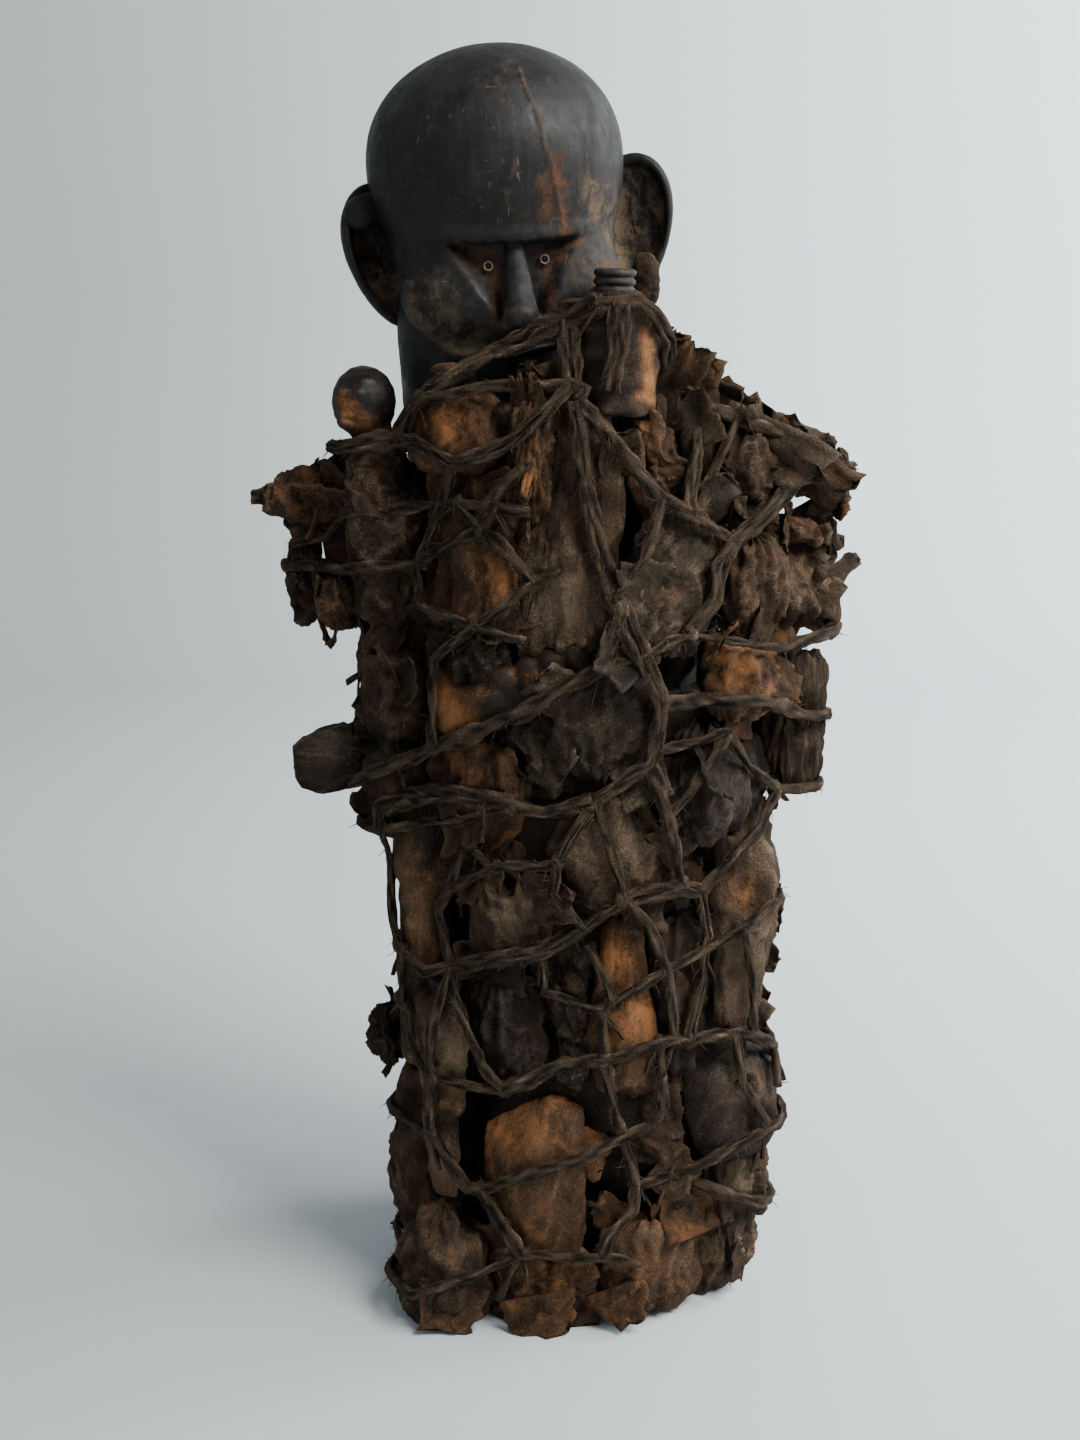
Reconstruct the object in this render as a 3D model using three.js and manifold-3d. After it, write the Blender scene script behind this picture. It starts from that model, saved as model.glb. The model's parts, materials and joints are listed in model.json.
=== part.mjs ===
// Power figure: a carved wooden figure whose body is wrapped in hide packets, gourds and bundles
// under a net of leather thongs.
// Millimetres, +Z up. The figure faces -Y and stands on z = 0, with its body round the Z axis.

import * as THREE from "three";
import { ConvexGeometry } from "three/addons/geometries/ConvexGeometry.js";
import { mergeVertices } from "three/addons/utils/BufferGeometryUtils.js";
import Module from "manifold-3d";

const wasm = await Module();
wasm.setup();
const { Manifold } = wasm;

// Driving dimensions of the carved figure
const HEAD_CENTRE = new THREE.Vector3(-65, 0, 835);
const HEAD_YAW = 7.5;
const HEAD_LEAN = -6.5;
const HEAD_HALF_WIDTH = 90;
const HEAD_HALF_DEPTH = 102;
const CROWN_RISE = 96;
const EYE_SPREAD = 19.5;
const EYE_DROP = 54;
const EYE_PLANE = 77;
const EYE_STUD_RADIUS = 4;
const EYE_STUD_LENGTH = 3;
const TORSO_CENTRE = new THREE.Vector3(0, 8, 0);
const TORSO_HALF_WIDTH = 86;
const TORSO_HALF_DEPTH = 78;
const TORSO_TOP = 655;
const BASE_HALF_WIDTH = 108;
const BASE_HALF_DEPTH = 92;
const BASE_HEIGHT = 30;
const NECK = { top: new THREE.Vector3(-61, 6, 742), foot: new THREE.Vector3(-53, 8, 610), topRadius: 64,
  footRadius: 74 };
const SHOULDER = { halfSpan: 52, rise: 632, radius: 50 };

// Driving dimensions of the thong net
const THONG_WIDTH = 10.5;
const THONG_THICKNESS = 7;
const THONG_STEP = 54;
const THONG_LIFT = 10;
const NET_TOP = 790;
const KNOT_REACH = 8;

// Picture points nearer than this are one knot
const KNOT_SNAP = 11;

// Gaps and weld sizes
const GAP = 1.2;
const WELD = 1e-3;
const SMOOTHING = 0.5;
const CARVED_SMOOTHING = 0.4;
const NET_SMOOTHING = 0.8;
const FOOT_CLEARANCE = 0.6;

// The viewpoint from which places on the front were read: the eye in mm, and picture points of a
// picture 1080 across and 1440 down. A place is called "seen" where it holds such points.
const EYE = new THREE.Vector3(-32.5, -1500, 800);
const EYE_TILT = THREE.MathUtils.degToRad(13.45);
const FOCAL = 2030;
const PICTURE_MIDDLE = [540, 720];

const rad = THREE.MathUtils.degToRad;

// Direction of sight through a picture point, one unit deep
function sight([across, down]) {
  const u = (across - PICTURE_MIDDLE[0]) / FOCAL;
  const v = (PICTURE_MIDDLE[1] - down) / FOCAL;
  return new THREE.Vector3(
    u,
    Math.cos(EYE_TILT) + v * Math.sin(EYE_TILT),
    v * Math.cos(EYE_TILT) - Math.sin(EYE_TILT),
  );
}

// The point behind a picture point whose y is given
function placed(seen, y) {
  const ray = sight(seen);
  return ray.multiplyScalar((y - EYE.y) / ray.y).add(EYE);
}

// Solids

function manifoldOf(position, corners) {
  return new Manifold(new wasm.Mesh({
    numProp: 3,
    vertProperties: new Float32Array(position),
    triVerts: new Uint32Array(corners),
  }));
}

// A closed geometry as a solid, its seam welded, its empty triangles dropped, facing outwards
function solidOf(geometry) {
  const loose = geometry.index ? geometry.toNonIndexed() : geometry.clone();
  loose.deleteAttribute("normal");
  loose.deleteAttribute("uv");
  const welded = mergeVertices(loose, WELD);
  const index = welded.index.array;
  const corners = [];
  const flipped = [];
  for (let i = 0; i < index.length; i += 3) {
    const [a, b, c] = [index[i], index[i + 1], index[i + 2]];
    if (a !== b && b !== c && c !== a) {
      corners.push(a, b, c);
      flipped.push(a, c, b);
    }
  }
  const solid = manifoldOf(welded.attributes.position.array, corners);
  return solid.volume() > 0 ? solid : manifoldOf(welded.attributes.position.array, flipped);
}

function geometryOf(solid) {
  const mesh = solid.getMesh();
  const geometry = new THREE.BufferGeometry();
  geometry.setAttribute("position", new THREE.BufferAttribute(new Float32Array(mesh.vertProperties), 3));
  geometry.setIndex(new THREE.BufferAttribute(new Uint32Array(mesh.triVerts), 1));
  geometry.computeVertexNormals();
  return geometry;
}

// The biggest of the bodies that a cut leaves
function biggest(solid) {
  return solid.decompose().sort((a, b) => b.volume() - a.volume())[0];
}

function near(a, b) {
  const [p, q] = [a.boundingBox(), b.boundingBox()];
  return [0, 1, 2].every((k) => p.min[k] < q.max[k] && q.min[k] < p.max[k]);
}

// Moves every vertex of a geometry by a function of its place
function bent(geometry, move) {
  const place = geometry.attributes.position;
  const point = new THREE.Vector3();
  for (let i = 0; i < place.count; i += 1) {
    point.fromBufferAttribute(place, i);
    move(point);
    place.setXYZ(i, point.x, point.y, point.z);
  }
  return geometry;
}

// A tapered limb between two points, with a rounded cap at each end
const CAP_BEND = 0.71;

function limb(from, to, startRadius, endRadius, grow = 0, sides = 7) {
  const along = new THREE.Vector3().subVectors(to, from);
  const length = along.length();
  const [a, b] = [startRadius + grow, endRadius + grow];
  const outline = [[0, -a], [a * CAP_BEND, -a * CAP_BEND], [a, 0], [b, length],
    [b * CAP_BEND, length + b * CAP_BEND], [0, length + b]].map(([r, h]) => new THREE.Vector2(r, h));
  const turn = new THREE.Quaternion().setFromUnitVectors(new THREE.Vector3(0, 1, 0), along.normalize());
  const geometry = new THREE.LatheGeometry(outline, sides).applyQuaternion(turn);
  return solidOf(geometry.translate(from.x, from.y, from.z));
}

// The carved head: how far each direction from the skull's centre reaches
// Distances below are to the surface, less than zero inside

function ellipsoid(point, centre, radii) {
  const scaled = point.clone().sub(centre).divide(radii);
  return (scaled.length() - 1) * Math.min(radii.x, radii.y, radii.z);
}

function roundCone(point, start, end, startRadius, endRadius) {
  const along = end.clone().sub(start);
  const share = THREE.MathUtils.clamp(point.clone().sub(start).dot(along) / along.lengthSq(), 0, 1);
  const nearest = start.clone().addScaledVector(along, share);
  return point.distanceTo(nearest) - THREE.MathUtils.lerp(startRadius, endRadius, share);
}

function roundBox(point, centre, half, round) {
  const q = point.clone().sub(centre);
  q.set(Math.abs(q.x), Math.abs(q.y), Math.abs(q.z)).sub(half).addScalar(round);
  const outside = Math.hypot(Math.max(q.x, 0), Math.max(q.y, 0), Math.max(q.z, 0));
  return outside + Math.min(Math.max(q.x, q.y, q.z), 0) - round;
}

// Joins two distances with a fillet about as wide as blend
function joined(a, b, blend) {
  const share = Math.max(blend - Math.abs(a - b), 0) / blend;
  return Math.min(a, b) - share * share * blend * 0.25;
}

const vec = (x, y, z) => new THREE.Vector3(x, y, z);
const SKULL = { centre: vec(0, 4, 24), radii: vec(HEAD_HALF_WIDTH, HEAD_HALF_DEPTH, CROWN_RISE - 24) };
const TEMPLES = { centre: vec(0, 6, -22), radii: vec(80, 84, 72), blend: 30 };
const FOREHEAD = { centre: vec(0, -20, 6), radii: vec(78, 80, 74), blend: 20 };
const FACE = { centre: vec(0, -22, -62), radii: vec(66, 66, 66), blend: 16 };
const JAW = { centre: vec(0, -34, -96), radii: vec(46, 48, 34), blend: 20 };
const EYE_CUT = { centre: vec(38, -EYE_PLANE - 22, -70), half: vec(36, 22, 32), round: 5 };
const NOSE = { top: vec(0, -82, -40), tip: vec(0, -95, -92), topRadius: 8, tipRadius: 14 };
const LIPS = { centre: vec(0, -84, -116), radii: vec(24, 12, 6) };
const FEATURE_BLEND = 5;

function headDistance(point) {
  let head = ellipsoid(point, SKULL.centre, SKULL.radii);
  for (const mass of [TEMPLES, FOREHEAD, FACE, JAW]) {
    head = joined(head, ellipsoid(point, mass.centre, mass.radii), mass.blend);
  }
  const mirrored = vec(Math.abs(point.x), point.y, point.z);
  head = Math.max(head, -roundBox(mirrored, EYE_CUT.centre, EYE_CUT.half, EYE_CUT.round));
  head = joined(head, roundCone(point, NOSE.top, NOSE.tip, NOSE.topRadius, NOSE.tipRadius), FEATURE_BLEND);
  return joined(head, ellipsoid(point, LIPS.centre, LIPS.radii), FEATURE_BLEND);
}

// How far the head's surface is from its upright axis at a height: the span that holds it is halved again
// and again
const REACH_LIMIT = 180;
const HALVINGS = 18;

function headReach(heading, height) {
  let [inner, outer] = [0, REACH_LIMIT];
  for (let i = 0; i < HALVINGS; i += 1) {
    const middle = (inner + outer) / 2;
    const point = vec(middle * Math.sin(heading), HEAD_AXIS_BACK - middle * Math.cos(heading), height);
    if (headDistance(point) < 0) {
      inner = middle;
    } else {
      outer = middle;
    }
  }
  return inner;
}

// The head is a stack of level rings, with two rings at the brow's ledge and more columns on the face
const HEAD_AXIS_BACK = -6;
const HEAD_COLUMNS = 30;
const FACE_CROWDING = 0.55;
const CHIN = -128;
const BROW_LEDGE = -38.5;
const HEAD_RINGS = [CHIN + 4, -117, -108, -99, -89, -76, -62, -50, BROW_LEDGE - 1, BROW_LEDGE + 1, -28, -12, 8,
  28, 46, 61, 74, 84, 91, CROWN_RISE - 1];

function headShell(grow) {
  const outline = [[0, CHIN - grow], ...HEAD_RINGS.map((height) => [1, height]), [0, CROWN_RISE + grow]]
    .map(([r, h]) => new THREE.Vector2(r, h));
  return solidOf(bent(new THREE.LatheGeometry(outline, HEAD_COLUMNS), (point) => {
    const height = point.y;
    const heading = Math.atan2(point.x, point.z);
    const crowded = heading - FACE_CROWDING * Math.sin(heading);
    const reach = Math.hypot(point.x, point.z) > 0.5 ? headReach(crowded, height) + grow : 0;
    point.set(reach * Math.sin(crowded), HEAD_AXIS_BACK - reach * Math.cos(crowded), height);
  }));
}

// A cupped ear: a thick dish, egg-shaped and wider at the top, with its shell from the back over the rim
// to the bottom of the cup
const EAR = { across: 29, tall: 52, deep: 24, side: 91, shift: 4, back: 5, drop: 41, egg: 0.2, splay: 18,
  lean: 9 };
const EAR_SHELL = [[0, -0.9], [0.62, -0.75], [0.95, -0.1], [1, 0.35], [0.86, 0.42], [0.7, -0.02], [0, -0.25]];
const EAR_SIDES = 12;

function ear(side, grow) {
  const outline = EAR_SHELL.map(([r, h]) => new THREE.Vector2(r, h));
  const dish = bent(new THREE.LatheGeometry(outline, EAR_SIDES), (point) => {
    const [across, deep, tall] = [point.x, point.y, -point.z];
    const egg = 1 + EAR.egg * tall;
    point.set(across * (EAR.across + grow) * egg, -deep * (EAR.deep + grow), tall * (EAR.tall + grow));
  });
  dish.rotateZ(rad(-side * EAR.splay));
  dish.rotateY(rad(side * EAR.lean));
  return solidOf(dish.translate(side * EAR.side + EAR.shift, EAR.back, -EAR.drop));
}

function headTurn() {
  return new THREE.Matrix4().makeTranslation(HEAD_CENTRE)
    .multiply(new THREE.Matrix4().makeRotationZ(rad(HEAD_YAW)))
    .multiply(new THREE.Matrix4().makeRotationY(rad(HEAD_LEAN)));
}

const moved = (solid, matrix) => solid.transform(matrix.toArray());

// Body, base, the arm whose fist rests on the belly, and the bent leg on the figure's right side
const ARM = { shoulder: vec(-92, -22, 610), elbow: vec(-92, -84, 468), wrist: vec(-62, -108, 482),
  shoulderRadius: 24, elbowRadius: 21, wristRadius: 16 };
const FIST = { centre: vec(-30, -112, 500), halfWidth: 38, halfHeight: 16, lean: -22, fingers: 4 };
const LEG = { hip: vec(-92, -30, 408), knee: vec(-119, -52, 318), ankle: vec(-124, -48, 196), hipRadius: 26,
  kneeRadius: 20, ankleRadius: 15 };

function column(halfWidth, halfDepth, from, to, grow, sides = 12) {
  const outline = [[0, from - grow], [1, from - grow], [1, to + grow], [0, to + grow]]
    .map(([r, h]) => new THREE.Vector2(r, h));
  const geometry = bent(new THREE.LatheGeometry(outline, sides), (point) => {
    point.set(point.x * (halfWidth + grow), -point.z * (halfDepth + grow), point.y);
  });
  return solidOf(geometry.translate(TORSO_CENTRE.x, TORSO_CENTRE.y, 0));
}

// Four folded fingers side by side, drawn a little together at the knuckles
function fist(grow) {
  const fingerRadius = FIST.halfWidth / FIST.fingers;
  const parts = Array.from({ length: FIST.fingers }, (_, i) => {
    const across = (2 * i + 1 - FIST.fingers) * fingerRadius;
    const foot = vec(across, 0, -0.5 * FIST.halfHeight);
    const knuckle = vec(0.92 * across, -4, 0.6 * FIST.halfHeight);
    return limb(foot, knuckle, fingerRadius + 1.5, fingerRadius, grow, 6);
  });
  const place = new THREE.Matrix4().makeTranslation(FIST.centre)
    .multiply(new THREE.Matrix4().makeRotationY(rad(FIST.lean)));
  return moved(Manifold.union(parts), place);
}

function figureSolid(grow) {
  const head = [headShell(grow), ear(-1, grow), ear(1, grow)].map((part) => moved(part, headTurn()));
  const [right, left] = [-1, 1].map((side) => vec(side * SHOULDER.halfSpan, TORSO_CENTRE.y, SHOULDER.rise));
  return Manifold.union([
    ...head,
    limb(NECK.foot, NECK.top, NECK.footRadius, NECK.topRadius, grow, 12),
    column(TORSO_HALF_WIDTH, TORSO_HALF_DEPTH, BASE_HEIGHT / 2, TORSO_TOP, grow),
    column(BASE_HALF_WIDTH, BASE_HALF_DEPTH, grow, BASE_HEIGHT, grow),
    limb(right, left, SHOULDER.radius, SHOULDER.radius, grow, 10),
    limb(ARM.shoulder, ARM.elbow, ARM.shoulderRadius, ARM.elbowRadius, grow),
    limb(ARM.elbow, ARM.wrist, ARM.elbowRadius, ARM.wristRadius, grow),
    fist(grow),
    limb(LEG.hip, LEG.knee, LEG.hipRadius, LEG.kneeRadius, grow),
    limb(LEG.knee, LEG.ankle, LEG.kneeRadius - 1, LEG.ankleRadius, grow),
  ]);
}

function eyeStud(side, grow) {
  const stud = new THREE.CylinderGeometry(
    EYE_STUD_RADIUS + grow, EYE_STUD_RADIUS + grow, EYE_STUD_LENGTH + 2 * grow, 10,
  ).translate(side * EYE_SPREAD, -EYE_PLANE - EYE_STUD_LENGTH / 2 + 1, -EYE_DROP);
  return moved(solidOf(stud), headTurn());
}

// Packets: turned ones are gathered bags, gourds, rolls and blocks, hides are stiff folded sheets.
// Outlines give shares of the half width and of the height, from the foot up.
const OUTLINES = {
  sack: [[0, 0], [0.72, 0.03], [1, 0.27], [0.98, 0.72], [0.66, 0.97], [0, 1]],
  pouch: [[0, 0], [0.62, 0.04], [1, 0.32], [0.84, 0.68], [0.46, 0.86], [0.6, 1], [0, 1]],
  gourd: [[0, 0], [0.62, 0.05], [1, 0.26], [0.84, 0.5], [0.5, 0.74], [0.42, 1], [0, 1]],
  horn: [[0, 0], [0.5, 0.05], [0.66, 0.35], [0.86, 0.7], [1, 0.93], [0.7, 1], [0, 1]],
  roll: [[0, 0], [0.86, 0.02], [1, 0.3], [0.9, 0.6], [1, 0.95], [0, 1]],
  block: [[0, 0], [0.93, 0.02], [1, 0.5], [0.9, 0.98], [0, 1]],
  drop: [[0, 0], [0.3, 0.08], [0.8, 0.42], [1, 0.75], [0.72, 0.98], [0, 1]],
};

// A smooth uneven wave between -1 and 1, different for each seed
function wave(a, b, seed) {
  return 0.55 * Math.sin(a + 2.1 * seed + 0.8 * Math.sin(b + seed))
    + 0.45 * Math.sin(1.9 * b - 1.3 * seed + 0.7 * Math.sin(a * 1.7 + seed));
}

// A turned form is squared off by the power square and made uneven by lump
function turnedForm({ size: [width, thick, tall], outline = "sack", square = 2.6, lump = 0.08, sides = 6,
  seed }, grow) {
  const profile = OUTLINES[outline].map(([r, h]) => new THREE.Vector2(r, h - 0.5));
  const half = [width / 2 + grow, thick / 2 + grow, tall + 2 * grow];
  return bent(new THREE.LatheGeometry(profile, sides), (point) => {
    const reach = Math.hypot(point.x, point.z);
    const turn = Math.atan2(point.z, point.x);
    const [c, s] = [Math.cos(turn), Math.sin(turn)];
    const corner = (Math.abs(c) ** square + Math.abs(s) ** square) ** (-1 / square);
    const lumpy = reach * corner * (1 + lump * wave(2 * turn, 6 * point.y, seed));
    const lift = lump * 0.35 * wave(turn, 2 * reach, seed + 3) * reach;
    point.set(lumpy * c * half[0], -lumpy * s * half[1], (point.y + lift) * half[2]);
  });
}

// A hide's rim runs out and in by ragged, its sheet curls away by curl and ripples by fold; narrow and
// tail draw one side or the foot to a point, and its edges are thinner than its middle
const HIDE_THINNING = 0.55;

function hideForm({ size: [width, thick, tall], ragged = 0.1, curl = 8, fold = 5, narrow = 0, tail = 0,
  across = 3, down = 3, seed }, grow) {
  const sheet = new THREE.BoxGeometry(2, 2, 2, across, 1, down);
  return bent(sheet, (point) => {
    const [u, v] = [point.x, point.z];
    const rim = Math.max(Math.abs(u), Math.abs(v));
    const wide = (1 - tail * Math.max(0, -v)) * (1 + ragged * wave(4.3 * v, 2 * u, seed));
    const high = (1 - Math.abs(narrow) * Math.max(0, u * Math.sign(narrow)))
      * (1 + ragged * wave(4.1 * u, 2 * v, seed + 5));
    const thin = 1 - HIDE_THINNING * rim * rim;
    const depth = curl * (u * u + 0.4 * v * v) + fold * wave(3.1 * u, 2.6 * v, seed + 9);
    point.set(
      u * wide * (width / 2 + grow),
      point.y * (thin * thick / 2 + grow) + depth,
      v * high * (tall / 2 + grow),
    );
  });
}

// Where a packet goes: its middle behind a picture point at a depth, turned to face outwards
function packetPlace({ seen, depth, middle = placed(seen, depth), turn, lean = 0 }) {
  const outward = Math.atan2(middle.x - TORSO_CENTRE.x, TORSO_CENTRE.y - middle.y);
  return new THREE.Matrix4().makeTranslation(middle)
    .multiply(new THREE.Matrix4().makeRotationZ(turn === undefined ? outward : rad(turn)))
    .multiply(new THREE.Matrix4().makeRotationY(rad(lean)));
}

function packetSolid(packet, grow) {
  const form = packet.form === "hide" ? hideForm(packet, grow) : turnedForm(packet, grow);
  return moved(solidOf(form), packetPlace(packet));
}

// The front packets, the foremost first: size is width, thickness and height
const LEATHER = "#3b2f23";
const RED_HIDE = "#5a3a22";
const GOURD = "#74502f";
const BARK = "#3a3127";
const DARK = "#262320";
const GREY_HIDE = "#6b6252";

const PACKETS = [
  { name: "tan_pouch", seen: [458, 425], depth: -86, size: [86, 50, 82], outline: "pouch", colour: GOURD },
  { name: "frayed_roll", seen: [530, 462], depth: -118, size: [28, 28, 90], outline: "roll", lean: 4,
    colour: RED_HIDE },
  { name: "breast_slab", seen: [567, 530], depth: -106, size: [76, 38, 188], outline: "block", square: 4,
    lean: -2, lump: 0.05, colour: LEATHER },
  { name: "collar_hide", form: "hide", seen: [634, 450], depth: -106, size: [60, 30, 104], lean: -15,
    colour: RED_HIDE },
  { name: "holed_hide", form: "hide", seen: [694, 462], depth: -84, size: [72, 26, 104], lean: 6,
    colour: LEATHER },
  { name: "shell_pouch", seen: [750, 468], depth: -58, size: [58, 50, 54], outline: "sack", lean: 18,
    colour: LEATHER },
  { name: "roof_hide", form: "hide", seen: [789, 452], depth: -8, size: [98, 50, 42], lean: 27, turn: 20,
    ragged: 0.12, colour: GREY_HIDE },
  { name: "right_tabs", form: "hide", seen: [831, 495], depth: -6, size: [22, 40, 62], lean: 2, turn: 15,
    ragged: 0.2, curl: 3, fold: 3, across: 2, colour: LEATHER },
  { name: "rough_slab", seen: [666, 580], depth: -102, size: [84, 36, 104], outline: "block", square: 4,
    lean: 15, lump: 0.06, colour: GREY_HIDE },
  { name: "flank_shell", seen: [754, 592], depth: -66, size: [66, 50, 84], outline: "sack", lean: -8,
    colour: LEATHER },
  { name: "flank_flap", form: "hide", seen: [797, 584], depth: -26, size: [70, 40, 76], turn: 30,
    ragged: 0.2, curl: 5, colour: LEATHER },
  { name: "brow_hide", form: "hide", seen: [788, 542], depth: -34, size: [66, 46, 34], turn: 30, lean: 10,
    ragged: 0.14, colour: RED_HIDE },
  { name: "orange_block", seen: [742, 660], depth: -72, size: [72, 52, 80], outline: "sack", square: 3,
    colour: GOURD },
  { name: "bark_strip", seen: [786, 716], depth: -32, size: [50, 54, 104], outline: "roll", square: 3,
    lump: 0.16, colour: BARK },
  { name: "dark_bag", seen: [708, 780], depth: -76, size: [112, 60, 92], outline: "pouch", lean: -12,
    colour: DARK },
  { name: "folded_bag", seen: [598, 725], depth: -108, size: [80, 52, 100], outline: "drop", lump: 0.1,
    colour: GREY_HIDE },
  { name: "belly_pillow", seen: [612, 858], depth: -104, size: [96, 46, 104], outline: "sack", square: 3.4,
    colour: LEATHER },
  { name: "scallop_hide", form: "hide", seen: [746, 915], depth: -52, size: [82, 44, 172], ragged: 0.14,
    across: 3, down: 6, colour: LEATHER },
  { name: "inner_right", seen: [682, 985], depth: -80, size: [64, 50, 132], outline: "roll", colour: DARK },
  { name: "dark_gourd", seen: [722, 1093], depth: -58, size: [94, 86, 96], outline: "sack", colour: DARK },
  { name: "ribbed_bark", seen: [730, 1170], depth: -52, size: [62, 58, 76], outline: "roll", square: 3,
    colour: BARK },
  { name: "foot_flap", form: "hide", seen: [722, 1234], depth: -46, size: [72, 50, 84], lean: -6,
    ragged: 0.12, colour: LEATHER },
  { name: "low_hide", form: "hide", seen: [658, 1118], depth: -84, size: [66, 46, 128], colour: LEATHER },
  { name: "pointed_hide", form: "hide", seen: [306, 494], depth: -20, size: [78, 38, 50], turn: -10,
    lean: -8, narrow: -0.8, curl: 3, colour: RED_HIDE },
  { name: "left_strips", form: "hide", seen: [306, 560], depth: -14, size: [24, 34, 90], turn: -10,
    across: 2, ragged: 0.12, curl: 2, fold: 3, colour: BARK },
  { name: "left_block", seen: [341, 600], depth: -22, size: [78, 48, 34], outline: "block", square: 4,
    colour: RED_HIDE },
  { name: "hairy_bundle", seen: [396, 652], depth: -34, size: [66, 66, 100], outline: "sack", lump: 0.14,
    colour: BARK },
  { name: "coiled_roll", seen: [396, 738], depth: -46, size: [64, 60, 140], outline: "roll", lean: 5,
    colour: LEATHER },
  { name: "horn_stub", seen: [348, 757], depth: -26, size: [46, 46, 84], outline: "sack", lean: 82,
    turn: 8, colour: DARK },
  { name: "belly_block", seen: [474, 545], depth: -84, size: [88, 50, 140], outline: "block", square: 3.4,
    lump: 0.05, colour: RED_HIDE },
  { name: "dark_bundle", seen: [468, 642], depth: -82, size: [86, 50, 76], outline: "sack", colour: DARK },
  { name: "jaw_hide", form: "hide", seen: [535, 745], depth: -98, size: [70, 42, 76], lean: -8,
    ragged: 0.12, colour: GREY_HIDE },
  { name: "orange_pouch", seen: [487, 805], depth: -90, size: [98, 52, 98], outline: "drop",
    colour: RED_HIDE },
  { name: "clay_pouch", seen: [508, 905], depth: -88, size: [72, 58, 90], outline: "pouch", lean: -8,
    colour: LEATHER },
  { name: "long_gourd", seen: [622, 1005], depth: -98, size: [64, 56, 170], outline: "gourd", colour: GOURD },
  { name: "pale_strip", form: "hide", seen: [574, 1060], depth: -106, size: [28, 14, 104], across: 2,
    tail: 0.5, curl: 2, fold: 2, colour: GREY_HIDE },
  { name: "black_shell", seen: [500, 1022], depth: -88, size: [74, 60, 74], outline: "sack", lump: 0.14,
    colour: DARK },
  { name: "flat_packet", seen: [568, 960], depth: -86, size: [62, 40, 112], outline: "block", square: 3.4,
    colour: DARK },
  { name: "wrapped_horn", seen: [454, 1088], depth: -78, size: [68, 62, 182], outline: "horn", lean: 2,
    colour: LEATHER },
  { name: "left_lump", seen: [394, 1032], depth: -18, size: [34, 40, 44], outline: "sack", colour: DARK },
  { name: "left_fringe", form: "hide", seen: [420, 1132], depth: -28, size: [46, 50, 176], ragged: 0.12,
    across: 2, down: 5, curl: 4, colour: BARK },
  { name: "tan_gourd", seen: [540, 1166], depth: -94, size: [92, 66, 146], outline: "sack", colour: GOURD },
  { name: "foot_bag", seen: [446, 1253], depth: -94, size: [78, 84, 100], outline: "pouch", square: 3,
    colour: LEATHER },
  { name: "toe_bundle", seen: [548, 1261], depth: -88, size: [106, 76, 80], outline: "block", square: 3.4,
    lump: 0.1, colour: LEATHER },
  { name: "cut_roll", seen: [644, 1253], depth: -88, size: [90, 72, 84], outline: "roll", lean: 8,
    lump: 0.1, colour: GREY_HIDE },
];

// Packets that hang on the sides and back: rows of two, each row turned half a packet from the last
const BACK = { rows: 4, perRow: 2, foot: 78, rowRise: 160, stagger: 12, size: [156, 70, 180], reach: 88,
  spread: 47, skew: 9 };

function backPackets() {
  const packets = [];
  for (let row = 0; row < BACK.rows; row += 1) {
    for (let k = 0; k < BACK.perRow; k += 1) {
      const skew = row % 2 ? BACK.skew : -BACK.skew;
      const heading = 180 + (k * 2 - 1) * BACK.spread + skew;
      const middle = vec(
        TORSO_CENTRE.x + BACK.reach * Math.sin(rad(heading)),
        TORSO_CENTRE.y - BACK.reach * Math.cos(rad(heading)),
        BACK.foot + row * BACK.rowRise + k * BACK.stagger,
      );
      packets.push({ name: `back_packet_${row * BACK.perRow + k + 1}`, middle, turn: heading,
        size: BACK.size, outline: row % 2 ? "block" : "sack", square: 3.2, lump: 0.09, lean: skew / 2,
        colour: row % 2 ? LEATHER : BARK });
    }
  }
  return packets;
}

// The small bottle on the shoulder and its ribbed screw cap
const BOTTLE = { seen: [614, 352], depth: -96, radius: 31, tall: 84, lean: 2 };
const CAP = { seen: [614, 290], depth: -96, radius: 14.5, tall: 23, ribs: 3, ribDepth: 1.4 };

function bottleSolid(grow) {
  const outline = [[0, -0.5], [0.94, -0.5], [1, -0.4], [1, 0.26], [0.86, 0.41], [0.46, 0.5], [0, 0.5]]
    .map(([r, h]) => new THREE.Vector2(r * (BOTTLE.radius + grow), h * (BOTTLE.tall + 2 * grow)));
  const glass = new THREE.LatheGeometry(outline, 12).rotateX(Math.PI / 2);
  return moved(solidOf(glass), packetPlace(BOTTLE));
}

function capSolid(grow) {
  const outline = [[0, 0]];
  const rib = CAP.tall / CAP.ribs;
  for (let i = 0; i < CAP.ribs; i += 1) {
    outline.push([CAP.radius - CAP.ribDepth, i * rib], [CAP.radius, i * rib + rib * 0.3],
      [CAP.radius, i * rib + rib * 0.75]);
  }
  outline.push([CAP.radius - CAP.ribDepth, CAP.tall], [0, CAP.tall]);
  const cap = new THREE.LatheGeometry(outline.map(([r, h]) => new THREE.Vector2(r ? r + grow : 0, h)), 10);
  return moved(solidOf(cap.rotateX(Math.PI / 2).translate(0, 0, -CAP.tall / 2)),
    packetPlace({ ...CAP, lean: BOTTLE.lean }));
}

// The little figure bound to the shoulder: a round head with a nose on a blocky body
const SMALL_FIGURE = { head: [364, 402], neck: [374, 440], body: [388, 505], foot: [386, 590], depth: -42,
  headRadii: [23, 25, 26], lean: -8, neckRadius: 15, shoulderRadius: 18, bellyRadius: 29, footRadius: 22,
  noseTop: vec(-8, -14, -2), noseTip: vec(-12, -20, -12), noseRadius: 7 };

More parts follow.
